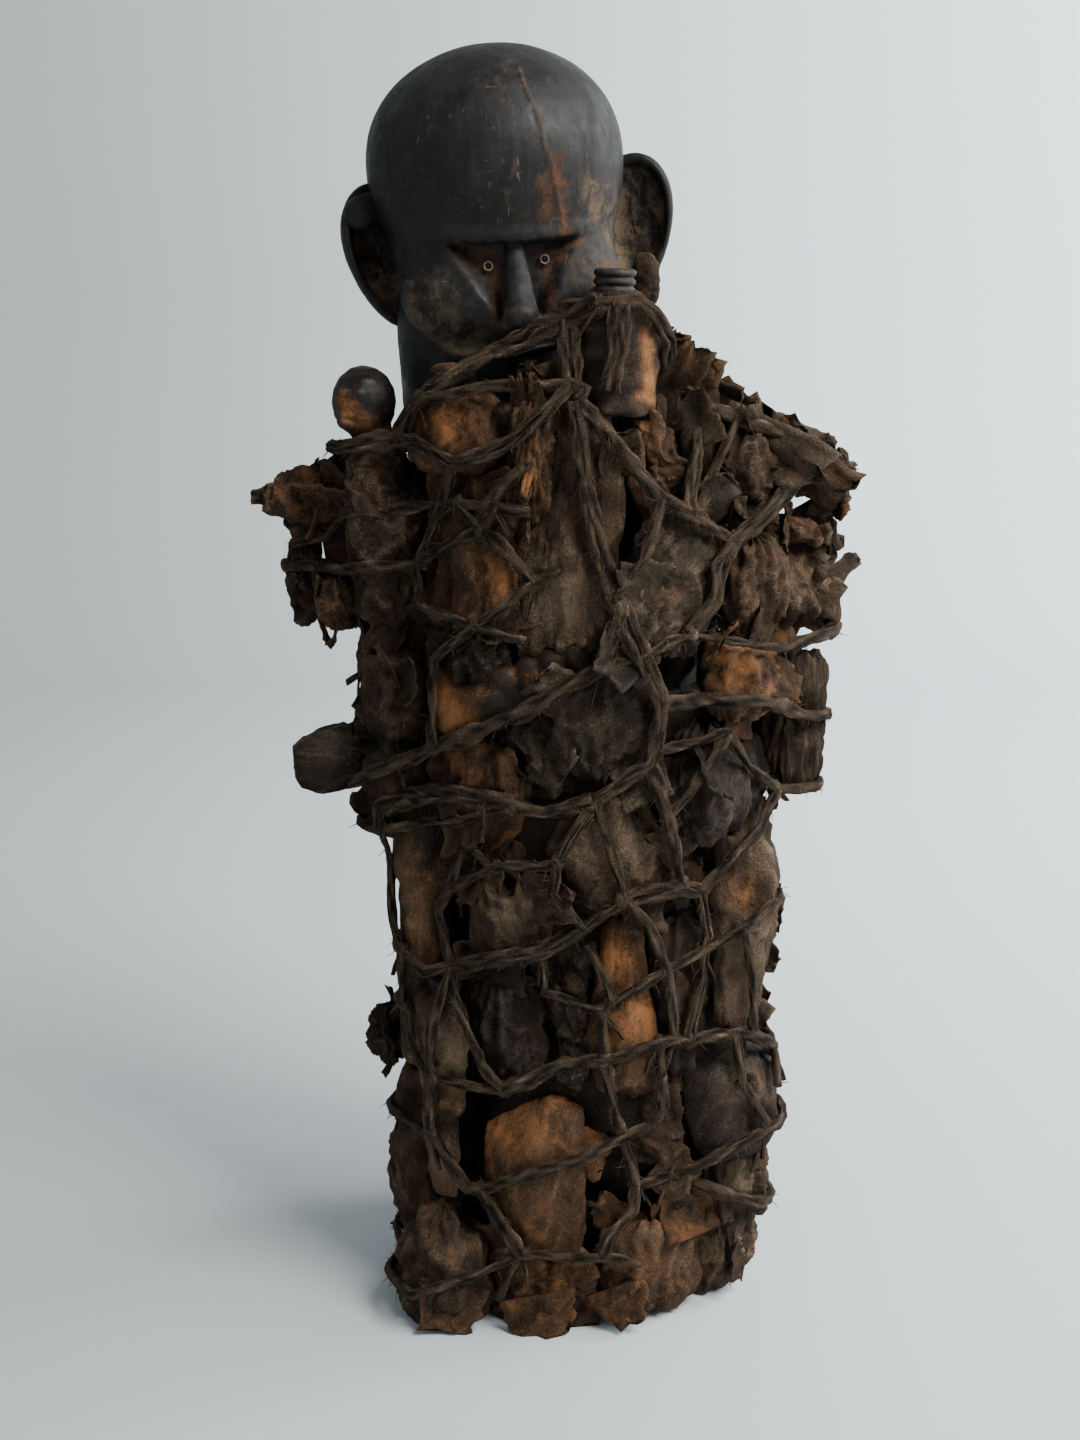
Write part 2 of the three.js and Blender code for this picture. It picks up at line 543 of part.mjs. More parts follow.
function smallFigureSolid(grow) {
  const { headRadii, lean, neckRadius, shoulderRadius, bellyRadius, footRadius, noseRadius } = SMALL_FIGURE;
  const [head, neck, body, foot] = [SMALL_FIGURE.head, SMALL_FIGURE.neck, SMALL_FIGURE.body,
    SMALL_FIGURE.foot].map((seen) => placed(seen, SMALL_FIGURE.depth));
  const skull = solidOf(new THREE.SphereGeometry(1, 10, 7)
    .scale(...headRadii.map((radius) => radius + grow)).rotateY(rad(lean)).translate(head.x, head.y, head.z));
  return Manifold.union([
    skull,
    limb(head.clone().add(SMALL_FIGURE.noseTop), head.clone().add(SMALL_FIGURE.noseTip), noseRadius,
      noseRadius - 1, grow, 5),
    limb(head, neck, neckRadius - 1, neckRadius, grow),
    limb(neck, body, shoulderRadius, bellyRadius, grow),
    limb(body, foot, bellyRadius, footRadius, grow),
  ]);
}

// The skin the net is stretched on: the bundle's reach from the body's axis, bridged over hollows
const SKIN = { around: 72, up: 66, bridge: 3, far: 420 };

function stretchedSkin(solids) {
  const meshes = solids.map((solid) => {
    const bothSides = new THREE.MeshBasicMaterial({ side: THREE.DoubleSide });
    const mesh = new THREE.Mesh(geometryOf(solid), bothSides);
    mesh.geometry.computeBoundingSphere();
    mesh.updateMatrixWorld();
    return mesh;
  });
  const caster = new THREE.Raycaster();
  const rise = NET_TOP / (SKIN.up - 1);
  const bare = [];
  for (let j = 0; j < SKIN.up; j += 1) {
    for (let i = 0; i < SKIN.around; i += 1) {
      const heading = (i / SKIN.around) * 2 * Math.PI;
      const out = vec(Math.sin(heading), -Math.cos(heading), 0);
      const start = vec(TORSO_CENTRE.x, TORSO_CENTRE.y, j * rise).addScaledVector(out, SKIN.far);
      caster.set(start, out.clone().negate());
      caster.far = SKIN.far;
      const hit = caster.intersectObjects(meshes)[0];
      bare.push(hit ? SKIN.far - hit.distance : 0);
    }
  }
  // The widest or narrowest reach in the window round each place
  const swept = (reach, pick, window) => reach.map((_, n) => {
    const [i, j] = [n % SKIN.around, Math.floor(n / SKIN.around)];
    let best = reach[n];
    for (let dj = -window; dj <= window; dj += 1) {
      const row = THREE.MathUtils.clamp(j + dj, 0, SKIN.up - 1);
      for (let di = -window; di <= window; di += 1) {
        best = pick(best, reach[row * SKIN.around + ((i + di + SKIN.around) % SKIN.around)]);
      }
    }
    return best;
  });
  const bridged = swept(swept(bare, Math.max, SKIN.bridge + 1), Math.min, SKIN.bridge);
  return (heading, height) => {
    const across = (((heading / (2 * Math.PI)) % 1) + 1) % 1 * SKIN.around;
    const up = THREE.MathUtils.clamp(height / rise, 0, SKIN.up - 1.001);
    const [i, j] = [Math.floor(across) % SKIN.around, Math.floor(up)];
    const next = (i + 1) % SKIN.around;
    const mix = THREE.MathUtils.lerp;
    return mix(
      mix(bridged[j * SKIN.around + i], bridged[j * SKIN.around + next], across % 1),
      mix(bridged[(j + 1) * SKIN.around + i], bridged[(j + 1) * SKIN.around + next], across % 1),
      up % 1,
    );
  };
}

// The net: each strand is the list of picture points that it passes, knotted where strands meet
const NECK_STRANDS = [
  [[345, 447], [395, 440], [417, 401], [444, 381], [493, 352], [526, 340], [600, 305], [640, 303],
    [654, 313]],
  [[417, 401], [485, 387], [573, 385]],
  [[540, 329], [567, 307], [618, 305]],
  [[654, 313], [671, 342], [695, 391], [736, 419], [781, 433], [803, 472], [844, 470]],
  [[626, 305], [618, 352], [609, 391]],
  [[575, 305], [573, 385], [599, 423], [628, 460], [662, 499], [695, 517]],
];
const BREAST_STRANDS = [
  [[395, 440], [415, 440], [452, 464], [485, 456], [513, 440], [573, 385]],
  [[345, 513], [362, 513], [444, 503], [530, 511]],
  [[452, 464], [444, 503]],
  [[524, 466], [503, 487], [479, 528], [464, 536], [417, 564], [373, 568]],
  [[458, 503], [479, 528], [499, 542], [534, 583], [560, 568]],
  [[534, 585], [505, 605], [475, 626], [434, 658]],
  [[436, 505], [417, 564], [420, 605], [471, 624], [526, 642]],
  [[291, 546], [328, 536], [345, 513]],
  [[736, 421], [709, 480], [695, 517], [689, 501], [697, 452], [697, 403]],
  [[803, 474], [764, 515], [734, 541], [720, 566], [715, 600], [690, 635]],
  [[695, 517], [734, 541]],
  [[585, 390], [585, 484], [601, 560], [613, 601], [601, 668]],
  [[575, 400], [590, 480], [615, 603], [642, 560], [662, 499]],
];
const BELLY_STRANDS = [
  [[615, 603], [621, 609], [642, 658], [662, 703], [656, 711], [654, 752]],
  [[642, 658], [666, 642], [690, 635], [784, 648]],
  [[662, 703], [711, 699], [776, 703], [801, 715]],
  [[654, 752], [729, 733], [748, 764], [774, 789]],
  [[654, 752], [648, 764], [668, 815], [682, 886]],
  [[668, 811], [693, 789], [729, 733]],
  [[601, 668], [544, 699], [487, 729], [432, 748], [352, 782]],
  [[434, 658], [432, 748]],
  [[601, 668], [642, 658]],
  [[381, 829], [381, 809], [411, 797], [454, 793], [511, 805], [544, 813], [593, 803], [654, 752]],
  [[381, 829], [422, 821], [460, 820], [511, 805]],
  [[593, 803], [566, 846], [556, 878], [552, 894], [585, 929]],
  [[603, 800], [620, 878], [624, 900], [585, 929]],
  [[460, 820], [450, 888], [440, 911], [452, 966]],
  [[450, 888], [491, 868], [556, 864]],
  [[466, 841], [491, 868]],
];
const HIP_STRANDS = [
  [[452, 968], [503, 957], [585, 935], [627, 900], [686, 888], [701, 892]],
  [[542, 950], [544, 992], [601, 1012], [613, 1002], [589, 943]],
  [[601, 1012], [605, 1060], [608, 1080]],
  [[452, 970], [456, 1000], [483, 1066], [503, 1090]],
  [[452, 970], [432, 1025], [430, 1076], [485, 1090], [503, 1090]],
  [[381, 829], [381, 878], [401, 949], [426, 972], [452, 970]],
  [[401, 949], [403, 1004], [418, 1060], [430, 1076]],
  [[701, 892], [719, 870], [760, 827], [774, 789]],
  [[627, 900], [648, 923], [666, 970], [674, 1040]],
  [[701, 892], [707, 935], [703, 976], [687, 1040]],
  [[666, 970], [703, 951], [742, 927], [780, 896]],
  [[742, 927], [752, 974], [754, 1035]],
  [[666, 976], [615, 1000], [601, 1012]],
  [[503, 1090], [564, 1064], [607, 1058], [660, 1043], [735, 1033], [774, 1047], [778, 1086]],
];
const FOOT_STRANDS = [
  [[430, 1076], [430, 1134], [470, 1188], [520, 1255]],
  [[482, 1190], [578, 1160], [622, 1137], [651, 1123], [662, 1107], [662, 1045]],
  [[608, 1060], [615, 1136], [636, 1186], [632, 1209], [609, 1236], [601, 1257]],
  [[636, 1187], [674, 1174], [731, 1149], [768, 1128], [743, 1084], [735, 1033]],
  [[636, 1187], [689, 1180], [731, 1195], [760, 1203]],
  [[413, 1295], [474, 1276], [518, 1256], [596, 1255], [641, 1264]],
  [[516, 1257], [499, 1299]],
];

// Where hoops leave the front on the right and come round the back to the left
const HOOPS = [
  { right: [844, 470], left: [345, 447] },
  { right: [784, 648], left: [373, 568] },
  { right: [801, 715], left: [352, 782] },
  { right: [774, 789], left: [381, 829] },
  { right: [780, 896], left: [401, 949] },
  { right: [774, 1047], left: [403, 1004] },
  { right: [768, 1128], left: [430, 1134] },
  { right: [760, 1203], left: [413, 1295] },
];
const HOOP_SPANS = 7;
const HOOP_SAG = 10;
const TIE_SPACING = 2;

// How far along a sight the skin is looked for
const SIGHT_SPAN = { from: -330, to: 160, step: 3 };

// Knots sit where strands start, end, bend, meet or cross; the thongs run between neighbouring knots
function knotsAndRuns(routes) {
  const knots = [];
  const knotAt = (point) => {
    const known = knots.findIndex((knot) => Math.hypot(knot[0] - point[0], knot[1] - point[1]) < KNOT_SNAP);
    return known >= 0 ? known : knots.push(point) - 1;
  };
  const pairs = routes.flatMap((route) => {
    const chain = route.map(knotAt);
    return chain.slice(1).map((knot, i) => [chain[i], knot]);
  }).filter(([a, b]) => a !== b);

  const crossing = ([a, b], [c, d]) => {
    const [p, q] = [knots[a], knots[c]];
    const r = [knots[b][0] - p[0], knots[b][1] - p[1]];
    const t = [knots[d][0] - q[0], knots[d][1] - q[1]];
    const across = r[0] * t[1] - r[1] * t[0];
    const share = ((q[0] - p[0]) * t[1] - (q[1] - p[1]) * t[0]) / across;
    const other = ((q[0] - p[0]) * r[1] - (q[1] - p[1]) * r[0]) / across;
    const meets = share > 0 && share < 1 && other > 0 && other < 1;
    return meets ? [p[0] + share * r[0], p[1] + share * r[1]] : null;
  };
  pairs.forEach((pair, i) => pairs.slice(i + 1).forEach((other) => {
    const point = crossing(pair, other);
    if (point) {
      knotAt(point);
    }
  }));

  // A run that passes a knot is split there
  const runs = new Map();
  for (const [a, b] of pairs) {
    const [p, q] = [knots[a], knots[b]];
    const way = [q[0] - p[0], q[1] - p[1]];
    const length = Math.hypot(...way);
    const passed = knots.map((knot, index) => {
      const share = ((knot[0] - p[0]) * way[0] + (knot[1] - p[1]) * way[1]) / (length * length);
      const off = Math.abs((knot[0] - p[0]) * way[1] - (knot[1] - p[1]) * way[0]) / length;
      return { index, share, off };
    }).filter(({ index, share, off }) => [a, b].includes(index)
      || (share > 0 && share < 1 && off < KNOT_SNAP));
    passed.sort((one, two) => one.share - two.share);
    for (let k = 1; k < passed.length; k += 1) {
      const ends = [passed[k - 1].index, passed[k].index];
      runs.set([...ends].sort((one, two) => one - two).join(), ends);
    }
  }
  return { knots, runs: [...runs.values()] };
}

function netSolid(skin, grow) {
  const axis = vec(TORSO_CENTRE.x, TORSO_CENTRE.y, 0);
  const out = (heading) => vec(Math.sin(heading), -Math.cos(heading), 0);
  const headingOf = (point) => Math.atan2(point.x - axis.x, axis.y - point.y);
  const lay = (heading, height) => out(heading)
    .multiplyScalar(skin(heading, height) + THONG_LIFT).add(axis).setZ(height);

  // The first place on the skin along the sight of a picture point, or else the place it passes nearest
  const seenOnSkin = (seen) => {
    let best = { miss: Infinity };
    for (let y = SIGHT_SPAN.from; y < SIGHT_SPAN.to && !(best.miss <= 0); y += SIGHT_SPAN.step) {
      const point = placed(seen, y);
      const reach = Math.hypot(point.x - axis.x, point.y - axis.y);
      const miss = reach - skin(headingOf(point), point.z) - THONG_LIFT;
      if (miss < best.miss) {
        best = { miss, point };
      }
    }
    return lay(headingOf(best.point), best.point.z);
  };

  // The net as points joined by paths: first the front, then the hoops and ties of the back
  const { knots, runs } = knotsAndRuns([...NECK_STRANDS, ...BREAST_STRANDS, ...BELLY_STRANDS, ...HIP_STRANDS,
    ...FOOT_STRANDS, ...HOOPS.map(({ right }) => [right]), ...HOOPS.map(({ left }) => [left])]);
  const places = knots.map(seenOnSkin);
  const nearestPlace = (point) => places.reduce((best, place, k) => (
    place.distanceTo(point) < places[best].distanceTo(point) ? k : best), 0);
  const paths = runs.map(([a, b]) => {
    const steps = Math.max(1, Math.round(places[a].distanceTo(places[b]) / THONG_STEP));
    const between = Array.from({ length: steps - 1 }, (_, i) => seenOnSkin(
      knots[a].map((c, k) => THREE.MathUtils.lerp(c, knots[b][k], (i + 1) / steps))));
    return { ends: [a, b], between };
  });

  const rows = HOOPS.map(({ right, left }) => {
    const ends = [nearestPlace(seenOnSkin(right)), nearestPlace(seenOnSkin(left))];
    const [from, to] = ends.map((k) => places[k]);
    const [start, end] = [headingOf(from), headingOf(to) + 2 * Math.PI];
    const inner = Array.from({ length: HOOP_SPANS - 1 }, (_, i) => {
      const share = (i + 1) / HOOP_SPANS;
      const sag = HOOP_SAG * Math.sin(Math.PI * share);
      return lay(THREE.MathUtils.lerp(start, end, share), THREE.MathUtils.lerp(from.z, to.z, share) - sag);
    });
    return [ends[0], ...inner.map((place) => places.push(place) - 1), ends[1]];
  });
  rows.forEach((row, r) => {
    row.slice(1).forEach((knot, k) => paths.push({ ends: [row[k], knot], between: [] }));
    const below = rows[r + 1];
    for (let k = 1 + (r % 2); below && k < HOOP_SPANS - 1; k += TIE_SPACING) {
      const foot = r % 2 ? k - 1 : k + 1;
      const [a, b] = [places[row[k]], places[below[foot]]];
      const steps = Math.max(1, Math.round(a.distanceTo(b) / THONG_STEP));
      const between = Array.from({ length: steps - 1 }, (_, i) => {
        const point = a.clone().lerp(b, (i + 1) / steps);
        return lay(headingOf(point), point.z);
      });
      paths.push({ ends: [row[k], below[foot]], between });
    }
  });

  // Where just two runs meet they are one thong that bends
  const backwards = ({ ends, between }) => ({ ends: [...ends].reverse(), between: [...between].reverse() });
  for (let knot = 0; knot < places.length; knot += 1) {
    const met = paths.filter(({ ends }) => ends.includes(knot));
    if (met.length === 2 && met.every(({ ends }) => ends[0] !== ends[1])) {
      const [into, from] = met;
      const first = into.ends[1] === knot ? into : backwards(into);
      const last = from.ends[0] === knot ? from : backwards(from);
      paths.splice(paths.indexOf(into), 1);
      paths.splice(paths.indexOf(from), 1);
      const between = [...first.between, places[knot], ...last.between];
      paths.push({ ends: [first.ends[0], last.ends[1]], between });
    }
  }

  // Each thong is a chain of ridged links between three-cornered sections; a knot is the hull of the
  // sections of the thongs that meet in it
  const section = (place, along) => {
    const up = out(headingOf(place));
    const side = up.clone().cross(along).normalize();
    const face = along.clone().cross(side);
    return [[-1, -1], [1, -1], [0, 1]].map(([x, y]) => place.clone()
      .addScaledVector(side, x * (THONG_WIDTH / 2 + 1.7 * grow))
      .addScaledVector(face, y * (THONG_THICKNESS / 2 + (y > 0 ? 2 : 1) * grow)));
  };
  const link = (corners) => solidOf(new ConvexGeometry(corners));
  const meeting = places.map(() => []);
  const parts = [];
  for (const { ends, between } of paths) {
    const route = [places[ends[0]], ...between, places[ends[1]]];
    const last = route.length - 1;
    const reach = Math.min(KNOT_REACH, 0.3 * route[0].distanceTo(route[last]));
    const trimmed = (end, inner) => {
      const way = route[inner].clone().sub(route[end]).normalize();
      return route[end].clone().addScaledVector(way, reach);
    };
    const [head, tail] = [trimmed(0, 1), trimmed(last, last - 1)];
    const chain = [head, ...between, tail];
    const sections = chain.map((place, k) => section(
      place, chain[Math.min(k + 1, last)].clone().sub(chain[Math.max(k - 1, 0)]).normalize()));
    sections.slice(1).forEach((corners, k) => parts.push(link([...sections[k], ...corners])));
    meeting[ends[0]].push(...sections[0]);
    meeting[ends[1]].push(...sections[last]);
  }
  meeting.filter((corners) => corners.length > 3).forEach((corners) => parts.push(link(corners)));
  return Manifold.union(parts);
}

// Putting the figure together: what comes first keeps its shape, and what comes later is cut to fit
const figure = new THREE.Group();
const taken = [];

function add(name, solid, grown, { color, roughness = 0.85, metalness = 0, smoothing = SMOOTHING }) {
  const cut = taken.filter((other) => near(solid, other) && !solid.intersect(other).isEmpty())
    .reduce((rest, other) => rest.subtract(other), solid);
  const geometry = geometryOf(biggest(biggest(cut).simplify(smoothing)));
  geometry.computeBoundingBox();
  const middle = geometry.boundingBox.getCenter(vec(0, 0, 0));
  geometry.translate(-middle.x, -middle.y, -middle.z);
  const mesh = new THREE.Mesh(geometry, new THREE.MeshStandardMaterial({ color, roughness, metalness }));
  mesh.name = name;
  mesh.position.copy(middle);
  figure.add(mesh);
  if (grown) {
    taken.push(grown);
  }
}

// Where two packets press on each other both are flattened, at a plane across the thinnest way through
// their overlap, nearer to the one behind
const PRESS = { directions: 90, bias: 0.3, gap: 0.5, leastVolume: 1e-6 };

function pressedPlane(first, second, bias = PRESS.bias) {
  const overlap = first.intersect(second);
  if (overlap.volume() < PRESS.leastVolume) {
    return null;
  }
  const { vertProperties: places } = overlap.getMesh();
  const span = (way) => {
    let [low, high] = [Infinity, -Infinity];
    for (let i = 0; i < places.length; i += 3) {
      const reach = places[i] * way.x + places[i + 1] * way.y + places[i + 2] * way.z;
      low = Math.min(low, reach);
      high = Math.max(high, reach);
    }
    return { way, middle: (low + high) / 2, half: (high - low) / 2 };
  };
  const spiral = Math.PI * (3 - Math.sqrt(5));
  const ways = Array.from({ length: PRESS.directions }, (_, i) => {
    const rise = (i + 0.5) / PRESS.directions;
    const flat = Math.sqrt(1 - rise * rise);
    return vec(flat * Math.cos(i * spiral), flat * Math.sin(i * spiral), rise);
  });
  const thinnest = ways.map(span).sort((a, b) => a.half - b.half)[0];
  const centre = (solid) => {
    const { min, max } = solid.boundingBox();
    return vec((min[0] + max[0]) / 2, (min[1] + max[1]) / 2, (min[2] + max[2]) / 2);
  };
  const facing = Math.sign(centre(second).sub(centre(first)).dot(thinnest.way)) || 1;
  return {
    way: thinnest.way.multiplyScalar(facing),
    offset: thinnest.middle * facing + bias * thinnest.half,
  };
}

// The carved parts keep their shape, and a packet that lies on one is flattened against it
function pressTogether(solids, carved) {
  const pressed = solids.map((solid) => carved.filter((part) => near(part, solid)).reduce((rest, part) => {
    const plane = pressedPlane(part, rest, 1);
    return plane ? rest.trimByPlane(plane.way.toArray(), plane.offset + PRESS.gap) : rest;
  }, solid));
  for (let i = 0; i < solids.length; i += 1) {
    for (let j = i + 1; j < solids.length; j += 1) {
      const plane = near(solids[i], solids[j]) ? pressedPlane(solids[i], solids[j]) : null;
      if (plane) {
        const { way, offset } = plane;
        pressed[i] = pressed[i].trimByPlane(way.clone().negate().toArray(), -offset + PRESS.gap);
        pressed[j] = pressed[j].trimByPlane(way.toArray(), offset + PRESS.gap);
      }
    }
  }
  return pressed;
}

const packets = [...PACKETS, ...backPackets()].map((packet, seed) => ({ ...packet, seed: seed + 1 }));
const ground = [0, 0, 1];
const shapes = packets.map((packet) => packetSolid(packet, 0).trimByPlane(ground, FOOT_CLEARANCE));
const carved = [
  column(TORSO_HALF_WIDTH, TORSO_HALF_DEPTH, 0, TORSO_TOP, 0),
  column(BASE_HALF_WIDTH, BASE_HALF_DEPTH, 0, BASE_HEIGHT, 0),
];
const pressedPackets = pressTogether(shapes, carved);
const skin = stretchedSkin([figureSolid(0), capSolid(0), bottleSolid(0), smallFigureSolid(0),
  ...pressedPackets]);

for (const [name, side] of [["eye_stud_right", -1], ["eye_stud_left", 1]]) {
  add(name, eyeStud(side, 0), eyeStud(side, GAP), { color: "#b59a63", roughness: 0.4, metalness: 0.9 });
}
add("carved_figure", figureSolid(0), figureSolid(GAP), {
  color: "#2d2b29",
  roughness: 0.4,
  smoothing: CARVED_SMOOTHING,
});
add("thong_net", netSolid(skin, 0), netSolid(skin, GAP + NET_SMOOTHING), {
  color: "#3f352a",
  smoothing: NET_SMOOTHING,
});
add("bottle_cap", capSolid(0), capSolid(GAP), { color: "#2b2927" });
add("shoulder_bottle", bottleSolid(0), bottleSolid(GAP), { color: "#4a3a2c" });
add("small_figure", smallFigureSolid(0), smallFigureSolid(GAP), { color: "#3a2d22", roughness: 0.6 });
packets.forEach((packet, k) => add(packet.name, pressedPackets[k], null, { color: packet.colour }));

export default figure;
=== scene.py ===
"""Looks of a power figure: a polished carved head above a body bound with packets under a net of thongs.

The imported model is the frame, and every piece stands where its node stands. Lengths are in millimetres until
a mesh is made. Places on the front are "seen" places: points of a picture 1080 across and 1440 down, as the
camera of this scene sees them.
"""

import json
import logging
import math
from collections.abc import Callable
from dataclasses import dataclass, field
from enum import Enum

import bpy
import numpy as np
from mathutils import Matrix, Vector

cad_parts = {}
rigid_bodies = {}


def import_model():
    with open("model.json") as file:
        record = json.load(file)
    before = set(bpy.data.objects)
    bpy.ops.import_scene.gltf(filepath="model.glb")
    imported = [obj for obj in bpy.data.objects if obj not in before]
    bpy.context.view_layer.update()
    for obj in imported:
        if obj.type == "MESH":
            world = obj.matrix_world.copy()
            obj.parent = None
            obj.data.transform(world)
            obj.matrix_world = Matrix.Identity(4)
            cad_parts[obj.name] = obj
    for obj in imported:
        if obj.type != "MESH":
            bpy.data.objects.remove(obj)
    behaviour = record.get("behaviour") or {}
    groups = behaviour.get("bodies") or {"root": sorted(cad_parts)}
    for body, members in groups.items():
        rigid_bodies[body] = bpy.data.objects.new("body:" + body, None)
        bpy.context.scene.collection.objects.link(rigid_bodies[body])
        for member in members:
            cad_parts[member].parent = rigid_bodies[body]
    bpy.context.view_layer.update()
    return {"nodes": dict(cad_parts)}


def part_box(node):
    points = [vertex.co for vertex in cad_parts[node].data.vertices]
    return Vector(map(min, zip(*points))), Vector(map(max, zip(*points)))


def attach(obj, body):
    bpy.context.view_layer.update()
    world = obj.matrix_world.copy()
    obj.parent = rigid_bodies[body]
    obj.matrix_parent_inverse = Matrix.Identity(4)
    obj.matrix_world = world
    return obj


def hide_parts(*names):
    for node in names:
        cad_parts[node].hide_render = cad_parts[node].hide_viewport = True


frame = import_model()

METRES = 0.001
# What stands behind the back's line is drawn in to the room behind it
BACK_LINE, BACK_ROOM = 147.0, 7.0
Array = np.ndarray
Seen = tuple[float, float]
Colour = tuple[float, float, float]

log = logging.getLogger("figure")


# Numbers on arrays of points


def rows(*values: float) -> Array:
    """A vector as a float array."""
    return np.array(values, dtype=float)


def unit(vectors: Array) -> Array:
    """Vectors scaled to length one."""
    return vectors / np.maximum(np.linalg.norm(vectors, axis=-1, keepdims=True), 1e-9)


def stacked(*parts: Array | float) -> Array:
    """Arrays stretched to one shape and stacked as a new last axis, as x, y and z make points."""
    return np.stack(np.broadcast_arrays(*parts), axis=-1)


def circle(count: int) -> Array:
    """Evenly spaced turns of a full circle."""
    return np.arange(count) / count * 2.0 * np.pi


def ball(down: int, around: int) -> Array:
    """Rings of places on a ball of radius one, from its foot up."""
    fall, turn = (np.arange(down)[:, None] + 0.5) / down * np.pi, circle(around)
    return stacked(np.sin(fall) * np.cos(turn), np.sin(fall) * np.sin(turn), -np.cos(fall))


def lengths(path: Array) -> Array:
    """How far along a path each of its points is."""
    return np.concatenate([[0.0], np.cumsum(np.linalg.norm(np.diff(path, axis=0), axis=1))])


def eased(line: Array) -> Array:
    """A line's inner points, each half itself and a quarter of either neighbour."""
    return 0.25 * line[:-2] + 0.5 * line[1:-1] + 0.25 * line[2:]


def sums(index: Array, values: Array, count: int) -> Array:
    """The sums of three-part values that share an index."""
    return np.stack([np.bincount(index, values[:, k], minlength=count) for k in range(3)], axis=-1)


def rise(values: Array, low: float, high: float) -> Array:
    """0 below low, 1 above high, and a smooth S between them."""
    share = np.clip((values - low) / (high - low), 0.0, 1.0)
    return share * share * (3.0 - 2.0 * share)


SHUFFLE = np.random.default_rng(11).permutation(256)
LEANINGS = unit(np.random.default_rng(12).normal(size=(64, 3)))


def noise(points: Array, wavelength: float, seed: int = 0) -> Array:
    """Smooth noise between about -1 and 1.

    Each corner of a cubic lattice holds a leaning picked by shuffled whole numbers. The noise is the sum
    over a cell's eight corners of (way from the corner, times the corner's leaning), weighted by a quintic
    S.

    Args:
        points: places, shape (..., 3), in millimetres.
        wavelength: the lattice's pitch.
        seed: picks another pattern.

    Returns:
        One value for each place.
    """
    place = points / wavelength + seed * rows(17.31, 5.77, 9.13)
    cell = np.floor(place).astype(np.int64)
    inside = place - cell
    fade = inside**3 * (inside * (inside * 6.0 - 15.0) + 10.0)
    total = np.zeros(points.shape[:-1])
    for corner in np.ndindex(2, 2, 2):
        at = cell + corner
        picked = SHUFFLE[at[..., 0] & 255] + at[..., 1]
        picked = SHUFFLE[picked & 255] + at[..., 2]
        lean = LEANINGS[SHUFFLE[picked & 255] & 63]
        weight = np.where(np.array(corner) == 1, fade, 1.0 - fade).prod(axis=-1)
        total += weight * ((inside - corner) * lean).sum(axis=-1)
    return total * 1.9


def layered(points: Array, wavelength: float, seed: int = 0, layers: int = 3) -> Array:
    """Noise summed over layers, each half as long and half as strong as the last."""
    total = np.zeros(points.shape[:-1])
    for layer in range(layers):
        total += noise(points, wavelength / 2**layer, seed + 31 * layer) / 2**layer
    return total / 1.6


def creased(points: Array, wavelength: float, seed: int = 0) -> Array:
    """Sharp crests between -1 and 1, as on stiff folded hide: one less the size of smooth noise."""
    return 1.0 - 2.4 * np.abs(noise(points, wavelength, seed))


# The viewpoint


@dataclass(frozen=True)
class Viewpoint:
    """The eye in front of the figure, and the picture that it sees.

    A point's share right, up and ahead of the eye gives its place in the picture: right over ahead and up
    over ahead, times the focal length in picture points.
    """

    eye: tuple[float, float, float] = (-32.5, -1500.0, 800.0)
    tilt: float = math.radians(13.45)
    focal: float = 2030.0
    across: float = 1080.0
    down: float = 1440.0

    def axes(self) -> tuple[Array, Array, Array]:
        """The eye's directions right, up and ahead."""
        cos, sin = math.cos(self.tilt), math.sin(self.tilt)
        return rows(1, 0, 0), rows(0, sin, cos), rows(0, cos, -sin)

    def placed(self, seen: Array, depth: Array | float) -> Array:
        """The points behind picture points whose y is depth."""
        right, up, ahead = self.axes()
        seen = np.asarray(seen, dtype=float)
        ray = (
            ahead
            + ((seen[..., :1] - self.across / 2) / self.focal) * right
            + ((self.down / 2 - seen[..., 1:]) / self.focal) * up
        )
        far = (np.asarray(depth, dtype=float) - self.eye[1]) / ray[..., 1]
        return rows(*self.eye) + ray * far[..., None]

    def seen(self, points: Array) -> Array:
        """The picture points at which places show."""
        right, up, ahead = self.axes()
        way = points - rows(*self.eye)
        far = way @ ahead
        return stacked(
            self.across / 2 + self.focal * (way @ right) / far, self.down / 2 - self.focal * (way @ up) / far
        )


VIEW = Viewpoint()


@dataclass(frozen=True)
class Stroke:
    """A soft brush stroke in the picture: its points, its half width in picture points and its strength."""

    points: tuple[Seen, ...]
    radius: float
    strength: float = 1.0

    def on(self, seen: Array) -> Array:
        """How strongly the stroke covers picture points: strength times exp(-(distance / radius) squared)."""
        line = np.array(self.points, dtype=float)
        nearest = np.full(seen.shape[:-1], np.inf)
        for start, end in zip(line, line[1:] if len(line) > 1 else line):
            way = end - start
            share = np.clip(((seen - start) @ way) / max(way @ way, 1e-9), 0.0, 1.0)
            nearest = np.minimum(nearest, np.linalg.norm(seen - start - share[..., None] * way, axis=-1))
        return self.strength * np.exp(-((nearest / self.radius) ** 2))


def painted(points: Array, normals: Array, strokes: tuple[Stroke, ...]) -> Array:
    """The strongest stroke on each place that faces the eye.

    Args:
        points: places.
        normals: the surface's directions there.
        strokes: the strokes.

    Returns:
        Cover between 0 and 1.
    """
    seen = VIEW.seen(points)
    facing = rise(-(normals * unit(points - rows(*VIEW.eye))).sum(axis=-1), -0.1, 0.25)
    cover = np.zeros(len(points))
    for stroke in strokes:
        cover = np.maximum(cover, stroke.on(seen))
    return cover * facing


# Surfaces


